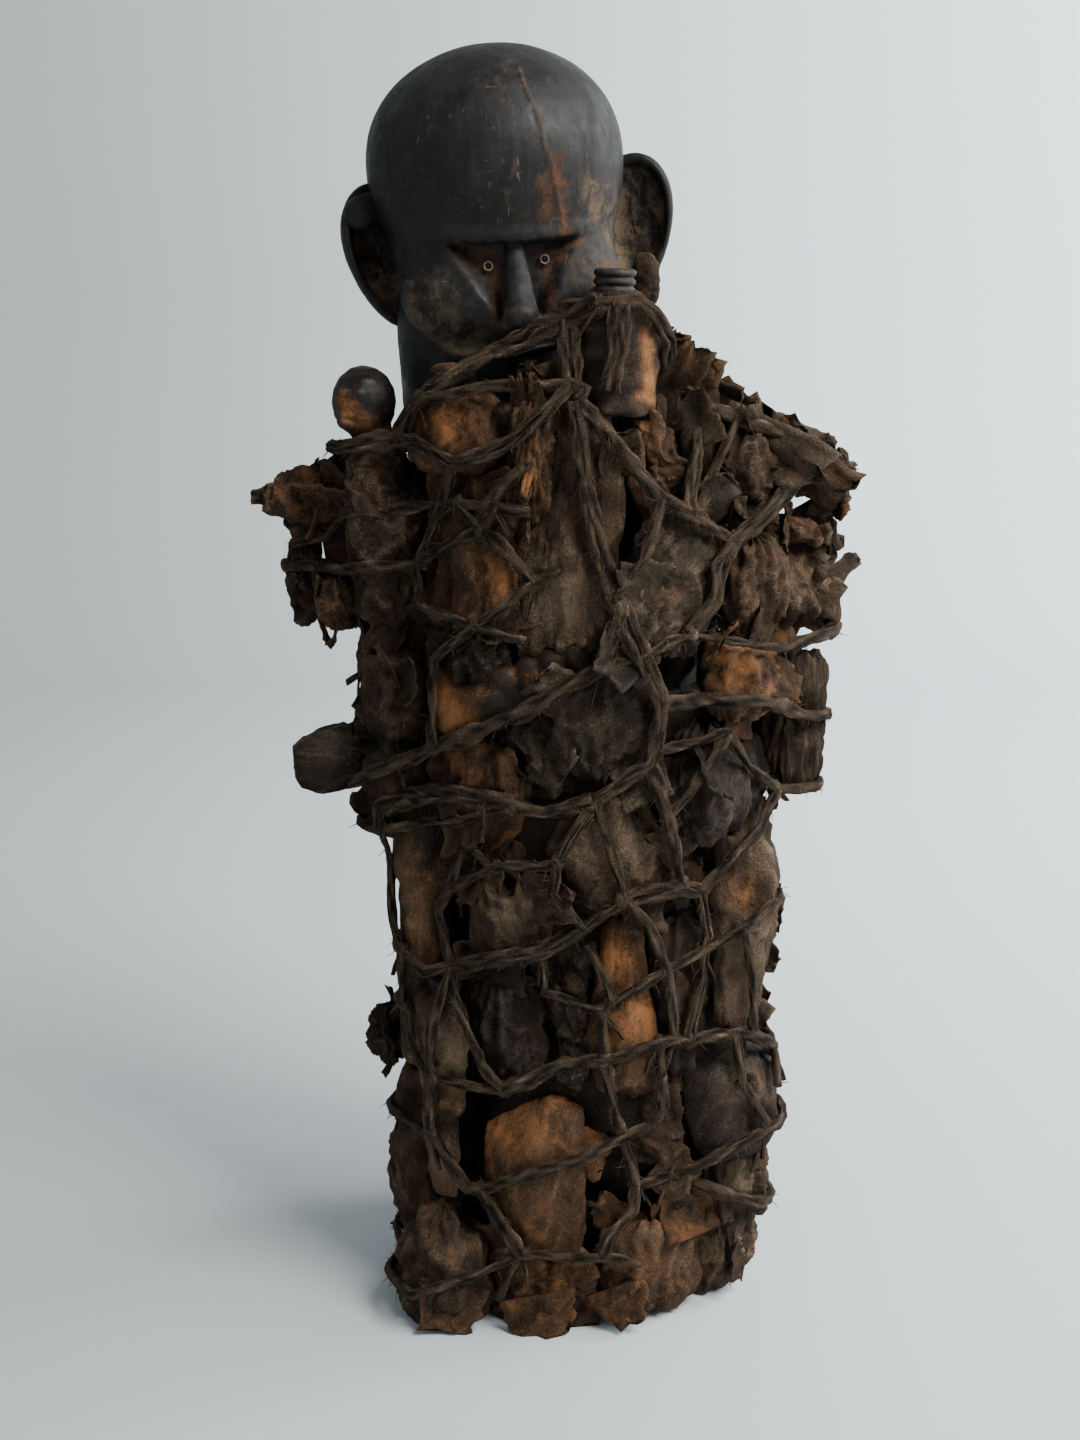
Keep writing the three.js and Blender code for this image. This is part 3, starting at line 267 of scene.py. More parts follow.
@dataclass
class Shape:
    """A surface: points, four-cornered and three-cornered faces, and values painted on its points."""

    points: Array
    quads: Array = field(default_factory=lambda: np.zeros((0, 4), dtype=np.int64))
    triangles: Array = field(default_factory=lambda: np.zeros((0, 3), dtype=np.int64))
    values: dict[str, Array] = field(default_factory=dict)

    def corners(self) -> Array:
        """Every face as triangles."""
        return np.concatenate([self.quads[:, [0, 1, 2]], self.quads[:, [0, 2, 3]], self.triangles])

    def outward(self) -> "Shape":
        """The same surface with its faces pointing out: flipped where its volume is less than zero."""
        a, b, c = (self.points[self.corners()[:, k]] for k in range(3))
        if (a * np.cross(b, c)).sum() < 0:
            self.quads, self.triangles = self.quads[:, ::-1], self.triangles[:, ::-1]
        return self

    def normals(self) -> Array:
        """Each point's direction: the sum of the directions of its triangles, weighted by area."""
        corners = self.corners()
        a, b, c = (self.points[corners[:, k]] for k in range(3))
        face = np.cross(b - a, c - a)
        return unit(sums(corners.ravel(), np.repeat(face, 3, axis=0), len(self.points)))

    def pushed(self, distance: Array) -> "Shape":
        """The surface with each point moved out along its direction."""
        self.points = self.points + self.normals() * distance[:, None]
        return self

    def tinted(self, **values: Array | float) -> "Shape":
        """The surface with named values painted on its points."""
        self.values.update({name: value + np.zeros(len(self.points)) for name, value in values.items()})
        return self

    def grounded(self, low: float = 0.5) -> "Shape":
        """The surface with nothing lower than a height."""
        self.points[:, 2] = np.maximum(self.points[:, 2], low)
        return self


def held_in(shape: Shape) -> Shape:
    """What stands far back, drawn in: past the line, the line plus room times tanh(the rest over room)."""
    over = np.maximum(shape.points[:, 1] - BACK_LINE, 0.0)
    shape.points[:, 1] += BACK_ROOM * np.tanh(over / BACK_ROOM) - over
    return shape


def together(shapes: list[Shape]) -> Shape:
    """Several surfaces as one, with the values that any of them has, and 0 where one has none."""
    names = {name for shape in shapes for name in shape.values}
    starts = np.cumsum([0] + [len(shape.points) for shape in shapes])
    return Shape(
        np.concatenate([shape.points for shape in shapes]),
        np.concatenate([shape.quads + start for shape, start in zip(shapes, starts)]),
        np.concatenate([shape.triangles + start for shape, start in zip(shapes, starts)]),
        {
            name: np.concatenate([shape.values.get(name, np.zeros(len(shape.points))) for shape in shapes])
            for name in names
        },
    )


def closed_grid(grid: Array) -> Shape:
    """A closed surface from rings of points: each joins the next, and the end rings close on their middles.

    Args:
        grid: places, shape (rings, around, 3).

    Returns:
        The surface, facing out. The end middles are its last two points.
    """
    index = np.arange(grid[..., 0].size).reshape(grid.shape[:2])
    turned = np.roll(index, -1, axis=1)
    quads = np.stack([index[:-1], turned[:-1], turned[1:], index[1:]], axis=-1).reshape(-1, 4)
    first, last = index.size, index.size + 1
    caps = np.concatenate([stacked(first, turned[0], index[0]), stacked(last, index[-1], turned[-1])])
    points = np.concatenate([grid.reshape(-1, 3), grid[:1].mean(axis=1), grid[-1:].mean(axis=1)])
    return Shape(points, quads, caps).outward()


def lathe(outline: list[tuple[float, float]], around: int = 48, step: float = 2.0) -> Array:
    """Rings of a turned form about the z axis: an outline of radius and height, sampled every step, spun."""
    line = np.array(outline, dtype=float)
    length = lengths(line)
    along = np.linspace(0.0, length[-1], max(3, int(length[-1] / step)))
    radius, height = (np.interp(along, length, line[:, k])[:, None] for k in range(2))
    turn = circle(around)
    return stacked(radius * np.cos(turn), radius * np.sin(turn), height)


def limb(start: Array, end: Array, first: float, last: float, around: int = 28) -> Shape:
    """A tapered limb with round ends: half circles at both ends and a straight taper between."""
    length = float(np.linalg.norm(end - start))
    bend = np.linspace(0.02, 0.5, 8) * np.pi
    outline = [(first * math.sin(t), -first * math.cos(t)) for t in bend]
    outline += [(last * math.sin(t), length + last * math.cos(t)) for t in bend[::-1]]
    grid = lathe(outline, around)
    ahead = unit(end - start)
    side = unit(np.cross(ahead, rows(0.13, 1.0, 0.21)))
    axes = np.stack([side, np.cross(ahead, side), ahead])
    return closed_grid(grid @ axes + start)


def torn_tongue(root: Array, out: Array, way: Array, length: float, width: float, seed: int) -> Shape:
    """A torn tongue of stiff hide: a thin sheet that leaves its root, curls out and ends in a ragged edge.

    Across runs from -1 to 1 and along from 0 to 1. The sheet's half width and its length are made uneven by
    noise, it lifts as along squared, cups as across squared and ripples by noise. Its two faces stand half a
    thickness off it, and meet at a thin rim.

    Args:
        root: the middle of the edge that is fixed.
        out: the direction that it lifts in.
        way: the direction that it runs in.
        length: its length.
        width: its width.
        seed: picks its tears and curls.

    Returns:
        The closed sheet.
    """
    source = np.random.default_rng(seed)
    lift, cup, tip = source.uniform(-0.05, 0.45), source.uniform(-0.3, 0.3), source.uniform(0.0, 0.45)
    across, along = np.meshgrid(np.linspace(-1.0, 1.0, 9), np.linspace(0.0, 1.0, 10))
    place = stacked(across * width, along * length, 60.0 * seed)
    end, rims = place * rows(1, 0, 0), place * rows(0, 1, 0) + stacked(9.0 * np.sign(across), 0.0, 0.0)
    ragged = creased(end, 9.0, seed) * 0.1 + noise(end, 0.6 * width, seed) * 0.2
    edge = 1.0 + 0.16 * creased(rims, 11.0, seed)
    side = unit(np.cross(way, out))
    face = np.cross(side, way)
    half = 0.5 * width * (1.0 - tip * along**1.6) * edge
    ripple = 0.17 * min(width, length) * layered(place, 0.6 * min(width, length), seed + 3, 2)
    raised = length * lift * along**2 + cup * 0.5 * width * across**2 * (0.3 + along) + ripple * (0.4 + along)
    sheet = (
        root
        + (along * length * (1.0 + ragged * along))[..., None] * way
        + (across * half)[..., None] * side
        + raised[..., None] * face
    )
    normal = unit(np.cross(np.gradient(sheet, axis=0), np.gradient(sheet, axis=1)))
    rim = np.clip(1.2 - np.maximum(np.abs(across), along) ** 6, 0.25, 1.0)
    thick = (0.75 + 0.3 * noise(place, 8.0, seed + 5)) * rim
    offset = normal * thick[..., None]
    ring = np.concatenate([sheet + offset, (sheet - offset)[:, ::-1]], axis=1)
    relief = 0.5 + 0.3 * creased(place, 0.3 * min(width, length) + 4.0, seed + 7)
    worn = 0.35 * rise(np.maximum(np.abs(across), along), 0.8, 1.0)

    def both(values: Array, middle: float) -> Array:
        """The sheet's values on its two faces, and one for the middles of the end rings."""
        return np.append(np.concatenate([values, values[:, ::-1]], axis=1), [middle, middle])

    return closed_grid(ring).tinted(relief=both(relief, 0.5), worn=both(worn, 0.2))


def turned(degrees: float, axis: str) -> Array:
    """The 3 by 3 turn about an axis."""
    return np.array(Matrix.Rotation(math.radians(degrees), 3, axis))


def object_from(name: str, shape: Shape, material: bpy.types.Material) -> bpy.types.Object:
    """A smooth Blender object that holds the surface, in metres, with its values as attributes."""
    mesh = bpy.data.meshes.new(name)
    faces = [shape.quads, shape.triangles]
    sizes = np.concatenate([np.full(len(face), face.shape[1]) for face in faces])
    loops = np.concatenate([face.ravel() for face in faces])
    mesh.vertices.add(len(shape.points))
    mesh.vertices.foreach_set("co", (shape.points * METRES).astype(np.float32).ravel())
    mesh.loops.add(len(loops))
    mesh.loops.foreach_set("vertex_index", loops.astype(np.int32))
    mesh.polygons.add(len(sizes))
    starts = np.concatenate([[0], np.cumsum(sizes)[:-1]])
    mesh.polygons.foreach_set("loop_start", starts.astype(np.int32))
    mesh.update(calc_edges=True)
    mesh.validate()
    mesh.polygons.foreach_set("use_smooth", np.ones(len(mesh.polygons), dtype=bool))
    for key, values in shape.values.items():
        layer = mesh.attributes.new(key, "FLOAT", "POINT")
        layer.data.foreach_set("value", values.astype(np.float32))
    mesh.materials.append(material)
    piece = bpy.data.objects.new(name, mesh)
    bpy.context.scene.collection.objects.link(piece)
    return piece


def fitted(piece: bpy.types.Object, slot: str, *nodes: str) -> None:
    """Fixes a piece to the figure: it rides on the root and stands for its nodes, which are hidden."""
    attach(piece, "root")
    if nodes:
        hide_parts(*nodes)
    log.info("%s: %d faces", piece.name, len(piece.data.polygons))


def remeshed(shape: Shape, pitch: float) -> Shape:
    """The union of overlapping closed surfaces, as even quads of one pitch in millimetres."""
    piece = object_from("remesh", shape, bpy.data.materials.new("remesh"))
    modifier = piece.modifiers.new("union", "REMESH")
    modifier.mode = "VOXEL"
    modifier.voxel_size = pitch * METRES
    evaluated = piece.evaluated_get(bpy.context.evaluated_depsgraph_get())
    mesh = bpy.data.meshes.new_from_object(evaluated)
    points = np.zeros(len(mesh.vertices) * 3, dtype=np.float32)
    mesh.vertices.foreach_get("co", points)
    loops = np.zeros(len(mesh.loops), dtype=np.int32)
    mesh.loops.foreach_get("vertex_index", loops)
    bpy.data.materials.remove(piece.data.materials[0])
    bpy.data.objects.remove(piece)
    bpy.data.meshes.remove(mesh)
    places = points.reshape(-1, 3).astype(float) / METRES
    return Shape(places, loops.reshape(-1, 4).astype(np.int64)).outward()


def relaxed(shape: Shape, turns: int) -> Shape:
    """Each point moved halfway to the mean of its neighbours, as many times as asked: edges grow soft."""
    ends = np.concatenate([shape.quads[:, [k, (k + 1) % 4]] for k in range(4)])
    count = np.bincount(ends[:, 0], minlength=len(shape.points))[:, None]
    for _ in range(turns):
        total = sums(ends[:, 0], shape.points[ends[:, 1]], len(shape.points))
        shape.points = 0.5 * shape.points + 0.5 * total / np.maximum(count, 1)
    return shape


# Shader nodes


def written(operation: str, swapped: bool = False) -> Callable[["Wire", "Wire | float"], "Wire"]:
    """An operator on wires, which adds one math node.

    Args:
        operation: the math node's operation.
        swapped: whether the wire is the second number, as in 1 - wire.

    Returns:
        The method that Python calls for the operator's sign.
    """

    def applied(wire: "Wire", other: "Wire | float") -> "Wire":
        """The result of the wire and another wire or number."""
        return wire.math(operation, *((other, wire) if swapped else (wire, other)))

    return applied


class Wire:
    """A node's output, on which sums, products and powers are written as on a number."""

    def __init__(self, graph: "Graph", socket: bpy.types.NodeSocket) -> None:
        """Keeps the output and the graph that it belongs to."""
        self.graph = graph
        self.socket = socket

    def math(self, operation: str, first: "Wire | float", second: "Wire | float") -> "Wire":
        """A math node's result."""
        node = self.graph.add("ShaderNodeMath", {"operation": operation}, {0: first, 1: second})
        return Wire(self.graph, node.outputs[0])

    __add__, __radd__ = written("ADD"), written("ADD", swapped=True)
    __sub__, __rsub__ = written("SUBTRACT"), written("SUBTRACT", swapped=True)
    __mul__, __rmul__ = written("MULTIPLY"), written("MULTIPLY", swapped=True)
    __truediv__, __pow__ = written("DIVIDE"), written("POWER")

    def risen(self, low: float, high: float) -> "Wire":
        """0 below low, 1 above high, and a smooth S between them."""
        node = self.graph.add(
            "ShaderNodeMapRange",
            {"interpolation_type": "SMOOTHSTEP"},
            {"Value": self, "From Min": low, "From Max": high},
        )
        return Wire(self.graph, node.outputs[0])


class Graph:
    """A material's nodes."""

    def __init__(self, name: str) -> None:
        """Makes the material with its empty graph."""
        self.material = bpy.data.materials.new(name)
        self.material.use_nodes = True
        self.tree = self.material.node_tree
        self.tree.nodes.clear()

    def add(self, kind: str, settings: dict[str, object], sockets: dict[str | int, object]) -> bpy.types.Node:
        """Adds a node.

        Args:
            kind: the node's type.
            settings: its properties, set before its sockets.
            sockets: values or wires by socket name or number.

        Returns:
            The node.
        """
        node = self.tree.nodes.new(kind)
        for name, value in settings.items():
            setattr(node, name, value)
        for name, value in sockets.items():
            if isinstance(value, Wire):
                self.tree.links.new(value.socket, node.inputs[name])
            elif isinstance(value, tuple) and node.inputs[name].type == "RGBA":
                node.inputs[name].default_value = (*value, 1.0)
            else:
                node.inputs[name].default_value = value
        return node

    def painted_value(self, name: str) -> Wire:
        """A value painted on the mesh's points."""
        return Wire(self, self.add("ShaderNodeAttribute", {"attribute_name": name}, {}).outputs["Fac"])

    def place(self, stretch: tuple[float, float, float] = (1.0, 1.0, 1.0)) -> Wire:
        """The place on the piece in millimetres, each axis times its stretch."""
        coords = Wire(self, self.add("ShaderNodeTexCoord", {}, {}).outputs["Object"])
        scale = tuple(axis / METRES for axis in stretch)
        node = self.add("ShaderNodeVectorMath", {"operation": "MULTIPLY"}, {0: coords, 1: scale})
        return Wire(self, node.outputs[0])

    def noise(self, place: Wire, pitch: float, detail: float = 3.0, bend: float = 0.0) -> Wire:
        """Noise between 0 and 1 whose lattice has the given pitch."""
        sockets = {"Vector": place, "Scale": 1.0 / pitch, "Detail": detail, "Distortion": bend}
        return Wire(self, self.add("ShaderNodeTexNoise", {}, sockets).outputs["Fac"])

    def mixed(
        self, share: Wire | float, first: Wire | Colour, second: Wire | Colour, how: str = "MIX"
    ) -> Wire:
        """One colour over another by a share."""
        settings = {"data_type": "RGBA", "blend_type": how}
        node = self.add("ShaderNodeMix", settings, {0: share, 6: first, 7: second})
        return Wire(self, node.outputs[2])

    def grey(self, value: Wire) -> Wire:
        """A number as a grey."""
        node = self.add("ShaderNodeCombineColor", {}, {0: value, 1: value, 2: value})
        return Wire(self, node.outputs[0])

    def raised(self, height: Wire, distance: float) -> Wire:
        """The direction of a surface that height raises by so many millimetres."""
        sockets = {"Height": height, "Distance": distance * METRES}
        return Wire(self, self.add("ShaderNodeBump", {}, sockets).outputs["Normal"])

    def ended(self, **sockets: object) -> bpy.types.Material:
        """Ends the graph in one shader, whose sockets are given with _ for a space."""
        named = {name.replace("_", " "): value for name, value in sockets.items()}
        shader = self.add("ShaderNodeBsdfPrincipled", {}, named)
        output = self.add("ShaderNodeOutputMaterial", {}, {})
        self.tree.links.new(shader.outputs[0], output.inputs[0])
        return self.material


# Finishes


@dataclass(frozen=True)
class Finish:
    """An aged surface: painted shade in its hollows, rubbed paler on its ridges, and rusty where camwood was
    laid on.

    The mesh's points hold relief (0 in hollows to 1 on ridges), rust, worn and tone (brighter above 0). Rough
    and rubbed are the roughness of the body and of what is worn. Pitch, grit and fold are wavelengths of the
    fine pattern, the grit and the folds in millimetres, and stretch draws the first out. Raise_by is their
    height in millimetres, of which fold_by is the folds' part. Tinge is how far rust stains the whole.
    """

    name: str
    # The colour of the painted shade in hollows, where relief is low
    hollow: Colour
    body: Colour
    worn: Colour
    rust: Colour = (0.19, 0.075, 0.03)
    rough: float = 0.88
    rubbed: float = 0.66
    pitch: float = 2.6
    stretch: tuple[float, float, float] = (1.0, 1.0, 1.0)
    grit: float = 1.0
    raise_by: float = 1.1
    tinge: float = 0.32
    fold: float = 13.0
    fold_by: float = 1.5
    sheen: float = 0.16

    def fibres(self, graph: Graph) -> Wire:
        """The fine pattern that the finish is streaked and raised by."""
        return graph.noise(graph.place(self.stretch), self.pitch, 4.0, 0.3)

    def material(self) -> bpy.types.Material:
        """The finish as a material.

        The hollow colour, which is painted shade, turns to body as relief plus fine noise rises, and body
        turns to worn near the top. Rust spreads through coarse and fine noise. Coarse noise and tone then
        brighten or dim the whole.

        Returns:
            The material.
        """
        known = bpy.data.materials.get(self.name)
        if known:
            return known
        graph = Graph(self.name)
        place = graph.place()
        coarse = graph.noise(place, 46.0, 3.0)
        stain = graph.noise(place, 27.0, 4.0, 0.6)
        fine = self.fibres(graph)
        grit = graph.noise(place, self.grit, 3.0)
        relief = graph.painted_value("relief")
        specks = 0.4 * graph.noise(place, 0.9, 2.0).risen(0.56, 0.72)
        filled = (relief + 0.8 * (fine - 0.5) + 0.4 * (stain - 0.5) + 0.9 * (grit - 0.5)).risen(0.0, 0.85)
        high = (relief + 0.7 * (fine - 0.5) + 0.5 * (coarse - 0.5) + 1.3 * (grit - 0.5)).risen(0.66, 1.3)
        worn = graph.painted_value("worn") * (0.2 + 0.6 * fine + 0.8 * grit)
        rubbed = (0.7 * high + worn + specks * filled).risen(0.0, 1.0)
        laid = graph.painted_value("rust") * (0.45 + 0.5 * fine + 0.6 * stain)
        rusty = ((laid + self.tinge * stain.risen(0.48, 0.72)) * (0.6 + 0.6 * filled)).risen(0.05, 1.0)
        # Painted shade: where relief is low the colour turns to the dark hollow colour
        colour = graph.mixed(filled, self.hollow, self.body)
        colour = graph.mixed(rubbed, colour, self.worn)
        colour = graph.mixed(rusty, colour, self.rust)
        bright = (0.58 + 0.9 * coarse + 0.65 * grit) * (1.0 + graph.painted_value("tone"))
        colour = graph.mixed(1.0, colour, graph.grey(bright), "MULTIPLY")
        drawn = graph.place(self.stretch)
        creases = {"Vector": drawn, "Scale": 1.0 / self.fold, "Detail": 2.0, "Distortion": 0.7}
        ridges = graph.add("ShaderNodeTexNoise", {"noise_type": "RIDGED_MULTIFRACTAL"}, creases)
        height = fine + 0.9 * grit + self.fold_by * Wire(graph, ridges.outputs["Fac"])
        return graph.ended(
            Base_Color=colour,
            Roughness=self.rough + (self.rubbed - self.rough) * rubbed + 0.12 * (grit - 0.5),
            Normal=graph.raised(height, self.raise_by),
            Specular_IOR_Level=self.sheen,
        )


@dataclass(frozen=True)
class ThongFinish(Finish):
    """Twisted raw thong, whose fibres run with the strand."""

    def fibres(self, graph: Graph) -> Wire:
        """Noise drawn out along the strand, by how far each point is along and around it."""
        sockets = {0: graph.painted_value("around"), 1: 0.06 * graph.painted_value("along")}
        node = graph.add("ShaderNodeCombineXYZ", {}, sockets)
        return graph.noise(Wire(graph, node.outputs[0]), self.pitch, 3.0, 0.4)


@dataclass(frozen=True)
class PolishedWood(Finish):
    """Dark oiled wood with a handled gloss, fine scratches and thin worn paint."""

    scratch: Colour = (0.16, 0.145, 0.13)

    def material(self) -> bpy.types.Material:
        """The wood as a material.

        Grain runs up and down. Scratches are the crests of long thin noise. Gloss is low where paint or rust
        lies.

        Returns:
            The material.
        """
        graph = Graph(self.name)
        place = graph.place()
        coarse = graph.noise(place, 44.0, 5.0, 0.5)
        mottle = graph.noise(place, 15.0, 5.0, 1.0)
        grain = graph.noise(graph.place(self.stretch), self.pitch, 5.0, 0.5)
        fine = graph.noise(place, 2.6, 5.0)
        relief, worn = graph.painted_value("relief"), graph.painted_value("worn")
        line = graph.noise(graph.place((1.0, 0.4, 0.12)), 2.4, 2.0, 1.5)
        crossing = graph.noise(graph.place((0.14, 0.3, 1.0)), 2.0, 2.0, 1.8)
        scratched = line.risen(0.66, 0.76) + crossing.risen(0.68, 0.78)
        scratched = 0.4 * scratched * coarse.risen(0.45, 0.62)
        filled = (relief + 0.8 * (grain - 0.5) + 1.1 * (mottle - 0.5)).risen(0.1, 0.9)
        brushed = 0.5 * mottle.risen(0.5, 0.72) * coarse.risen(0.4, 0.62)
        broken = (0.35 * fine + 0.3 * grain + 0.6 * mottle).risen(0.42, 0.86)
        pale = (1.8 * worn * broken + brushed + 0.3 * (fine - 0.5)).risen(0.05, 1.3)
        spread = 0.5 + 0.75 * fine.risen(0.25, 0.75) * (0.4 + mottle)
        rusty = (graph.painted_value("rust") * spread).risen(0.1, 1.1)
        # Painted shade: where relief is low the colour turns to the dark hollow colour, mixed with the mottle
        colour = graph.mixed(filled, self.hollow, self.body)
        colour = graph.mixed(pale, colour, self.worn)
        colour = graph.mixed(scratched, colour, self.scratch)
        colour = graph.mixed(rusty, colour, self.rust)
        bright = (0.55 + 0.9 * coarse + 0.35 * mottle) * (1.0 + graph.painted_value("tone"))
        colour = graph.mixed(1.0, colour, graph.grey(bright), "MULTIPLY")
        dull = 0.3 * pale + 0.4 * rusty + 0.5 * (coarse - 0.5) + 0.4 * (mottle - 0.5)
        return graph.ended(
            Base_Color=colour,
            Roughness=(self.rubbed + dull).risen(0.0, 1.0),
            Normal=graph.raised(grain + 0.5 * fine + 0.8 * mottle, self.raise_by),
            Specular_IOR_Level=0.26,
        )


# The first colour of each finish is the painted shade of its hollows, the second its body and the third its
# worn colour
LEATHER = Finish("aged_leather", (0.003, 0.00188, 0.00116), (0.028, 0.0168, 0.00898), (0.088, 0.06, 0.0376),
                 rust=(0.105, 0.046, 0.0171))
RED_HIDE = Finish("aged_red_hide", (0.0034, 0.002, 0.00116), (0.033, 0.0171, 0.00825), (0.09, 0.0541, 0.0304),
                  rust=(0.14, 0.0578, 0.0205), tinge=0.42)
GREY_HIDE = Finish("aged_grey_hide", (0.0036, 0.00271, 0.00188), (0.034, 0.0232, 0.0142),
                   (0.105, 0.08, 0.0565), rust=(0.115, 0.0556, 0.0239), tinge=0.25)
BARK = Finish("aged_bark", (0.0026, 0.00177, 0.00116), (0.027, 0.0174, 0.0101), (0.08, 0.0565, 0.0362),
              rust=(0.105, 0.0471, 0.0182), stretch=(1.0, 1.0, 0.13), raise_by=1.4)
GOURD = Finish("gourd_rind", (0.006, 0.0033, 0.00174), (0.042, 0.0215, 0.0104), (0.12, 0.0683, 0.0348),
               rust=(0.165, 0.0674, 0.0239), rough=0.8, rubbed=0.62, raise_by=0.7, tinge=0.45, fold_by=0.5)
DARK_CLOTH = Finish("dark_rags", (0.0018, 0.00141, 0.00101), (0.016, 0.011, 0.00724), (0.056, 0.0424, 0.0304),
                    rust=(0.07, 0.0321, 0.0137))
THONG = ThongFinish("raw_thong", (0.003, 0.0022, 0.0014), (0.039, 0.0263, 0.0162), (0.128, 0.096, 0.0665),
                    rust=(0.1, 0.0514, 0.0228), pitch=0.9, raise_by=1.3, tinge=0.22, fold_by=0.0, sheen=0.12)
CARVED_WOOD = PolishedWood("polished_dark_wood", (0.003, 0.0023, 0.0019), (0.011, 0.0096, 0.0088),
                           (0.052, 0.037, 0.0235), rust=(0.078, 0.0335, 0.0175), rubbed=0.58, pitch=5.0,
                           stretch=(1.0, 1.0, 0.12), raise_by=0.35)
CARVED_BODY_WOOD = Finish("body_wood", (0.003, 0.002, 0.0013), (0.014, 0.0086, 0.0052), (0.1, 0.05, 0.02),
                          rust=(0.17, 0.066, 0.02), rough=0.7, rubbed=0.55, stretch=(1.0, 1.0, 0.3),
                          raise_by=0.4, tinge=0.12, fold_by=0.3)
SMALL_WOOD = PolishedWood("painted_dark_wood", (0.003, 0.0022, 0.0016), (0.0125, 0.0083, 0.0056),
                          (0.05, 0.031, 0.017), rust=(0.115, 0.045, 0.0175), rubbed=0.55, pitch=4.0,
                          stretch=(1.0, 1.0, 0.3), raise_by=0.3)
RING_METAL = Finish("ring_metal", (0.03, 0.023, 0.016), (0.11, 0.088, 0.063), (0.26, 0.225, 0.175), rough=0.5,
                    rubbed=0.35, raise_by=0.15, tinge=0.0, fold_by=0.0)
PUPIL_RESIN = Finish("pupil_resin", (0.004, 0.003, 0.002), (0.01, 0.006, 0.004), (0.03, 0.015, 0.01),
                     rough=0.45, rubbed=0.3, raise_by=0.1, tinge=0.0, fold_by=0.0)
CRUSTED_GLASS = Finish("crusted_glass", (0.004, 0.0024, 0.0015), (0.025, 0.0158, 0.0095),
                       (0.07, 0.046, 0.027), rust=(0.14, 0.06, 0.022), rough=0.75, rubbed=0.5,
                       raise_by=0.5, tinge=0.15, fold_by=0.3)
CAP_METAL = Finish("cap_metal", (0.003, 0.0023, 0.0018), (0.0165, 0.013, 0.0098), (0.055, 0.044, 0.033),
                   rough=0.65, rubbed=0.45, raise_by=0.25, tinge=0.05, fold_by=0.0, sheen=0.3)


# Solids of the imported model


class CadSolid:
    """A node's solid as triangles, in millimetres, which rays are cast on."""

    def __init__(self, node: str) -> None:
        """Reads the node's mesh."""
        mesh = frame["nodes"][node].data
        mesh.calc_loop_triangles()
        points = np.zeros(len(mesh.vertices) * 3, dtype=np.float32)
        mesh.vertices.foreach_get("co", points)
        corners = np.zeros(len(mesh.loop_triangles) * 3, dtype=np.int32)
        mesh.loop_triangles.foreach_get("vertices", corners)
        self.faces = points.reshape(-1, 3).astype(float)[corners].reshape(-1, 3, 3) / METRES

    def centre(self) -> Array:
        """The middle of the volume: each triangle's cone to the origin weighs by its volume."""
        a, b, c = (self.faces[:, k] for k in range(3))
        weight = (a * np.cross(b, c)).sum(axis=-1)
        return ((a + b + c) * weight[:, None]).sum(axis=0) / (4.0 * weight.sum())

    def reach(self, origin: Array, ways: Array) -> Array:
        """How far the surface is from an inner point, each way.

        A way is a sum of shares of a triangle's three corners. Where no share is below zero, the ray passes
        the triangle, one over the sum of the shares away.

        Args:
            origin: a point inside.
            ways: directions of length one, shape (count, 3).

        Returns:
            The farthest meeting for each way, or nan where there is none.
        """
        corners = self.faces - origin
        solid = np.abs(np.linalg.det(corners)) > 1e-3
        inverse = np.linalg.inv(corners[solid])
        shares = np.einsum("wj,tji->wti", ways, inverse)
        total = shares.sum(axis=-1)
        passed = (shares >= -1e-5).all(axis=-1) & (total > 1e-9)
        far = np.where(passed, 1.0 / np.where(passed, total, 1.0), 0.0).max(axis=1)
        return np.where(far > 0, far, np.nan)


# Round the body's axis


BODY_AXIS = rows(0.0, 8.0)


def outward(heading: Array) -> Array:
    """The level direction of a heading round the body: 0 faces the eye, and a quarter turn on is +X."""
    return stacked(np.sin(heading), -np.cos(heading), 0.0)


def heading_of(points: Array) -> Array:
    """The heading of places round the body's axis."""
    return np.arctan2(points[..., 0] - BODY_AXIS[0], BODY_AXIS[1] - points[..., 1])


# The carved figure


def ball_distance(
    points: Array, centre: tuple[float, float, float], radii: tuple[float, float, float]
) -> Array:
    """About how far points are from an egg-shaped ball's surface, less than zero inside."""
    return (np.linalg.norm((points - rows(*centre)) / rows(*radii), axis=-1) - 1.0) * min(radii)


def cone_distance(points: Array, start: tuple[float, float, float], end: tuple[float, float, float],
                  first: float, last: float) -> Array:
    """How far points are from a round cone: the distance to its middle line, less its radius there."""
    way = rows(*end) - rows(*start)
    share = np.clip(((points - rows(*start)) @ way) / (way @ way), 0.0, 1.0)
    nearest = rows(*start) + share[..., None] * way
    return np.linalg.norm(points - nearest, axis=-1) - (first + (last - first) * share)


def joined(first: Array, second: Array, blend: float) -> Array:
    """The nearer of two distances, with a fillet about as wide as blend."""
    share = np.maximum(blend - np.abs(first - second), 0.0) / blend
    return np.minimum(first, second) - share * share * blend * 0.25


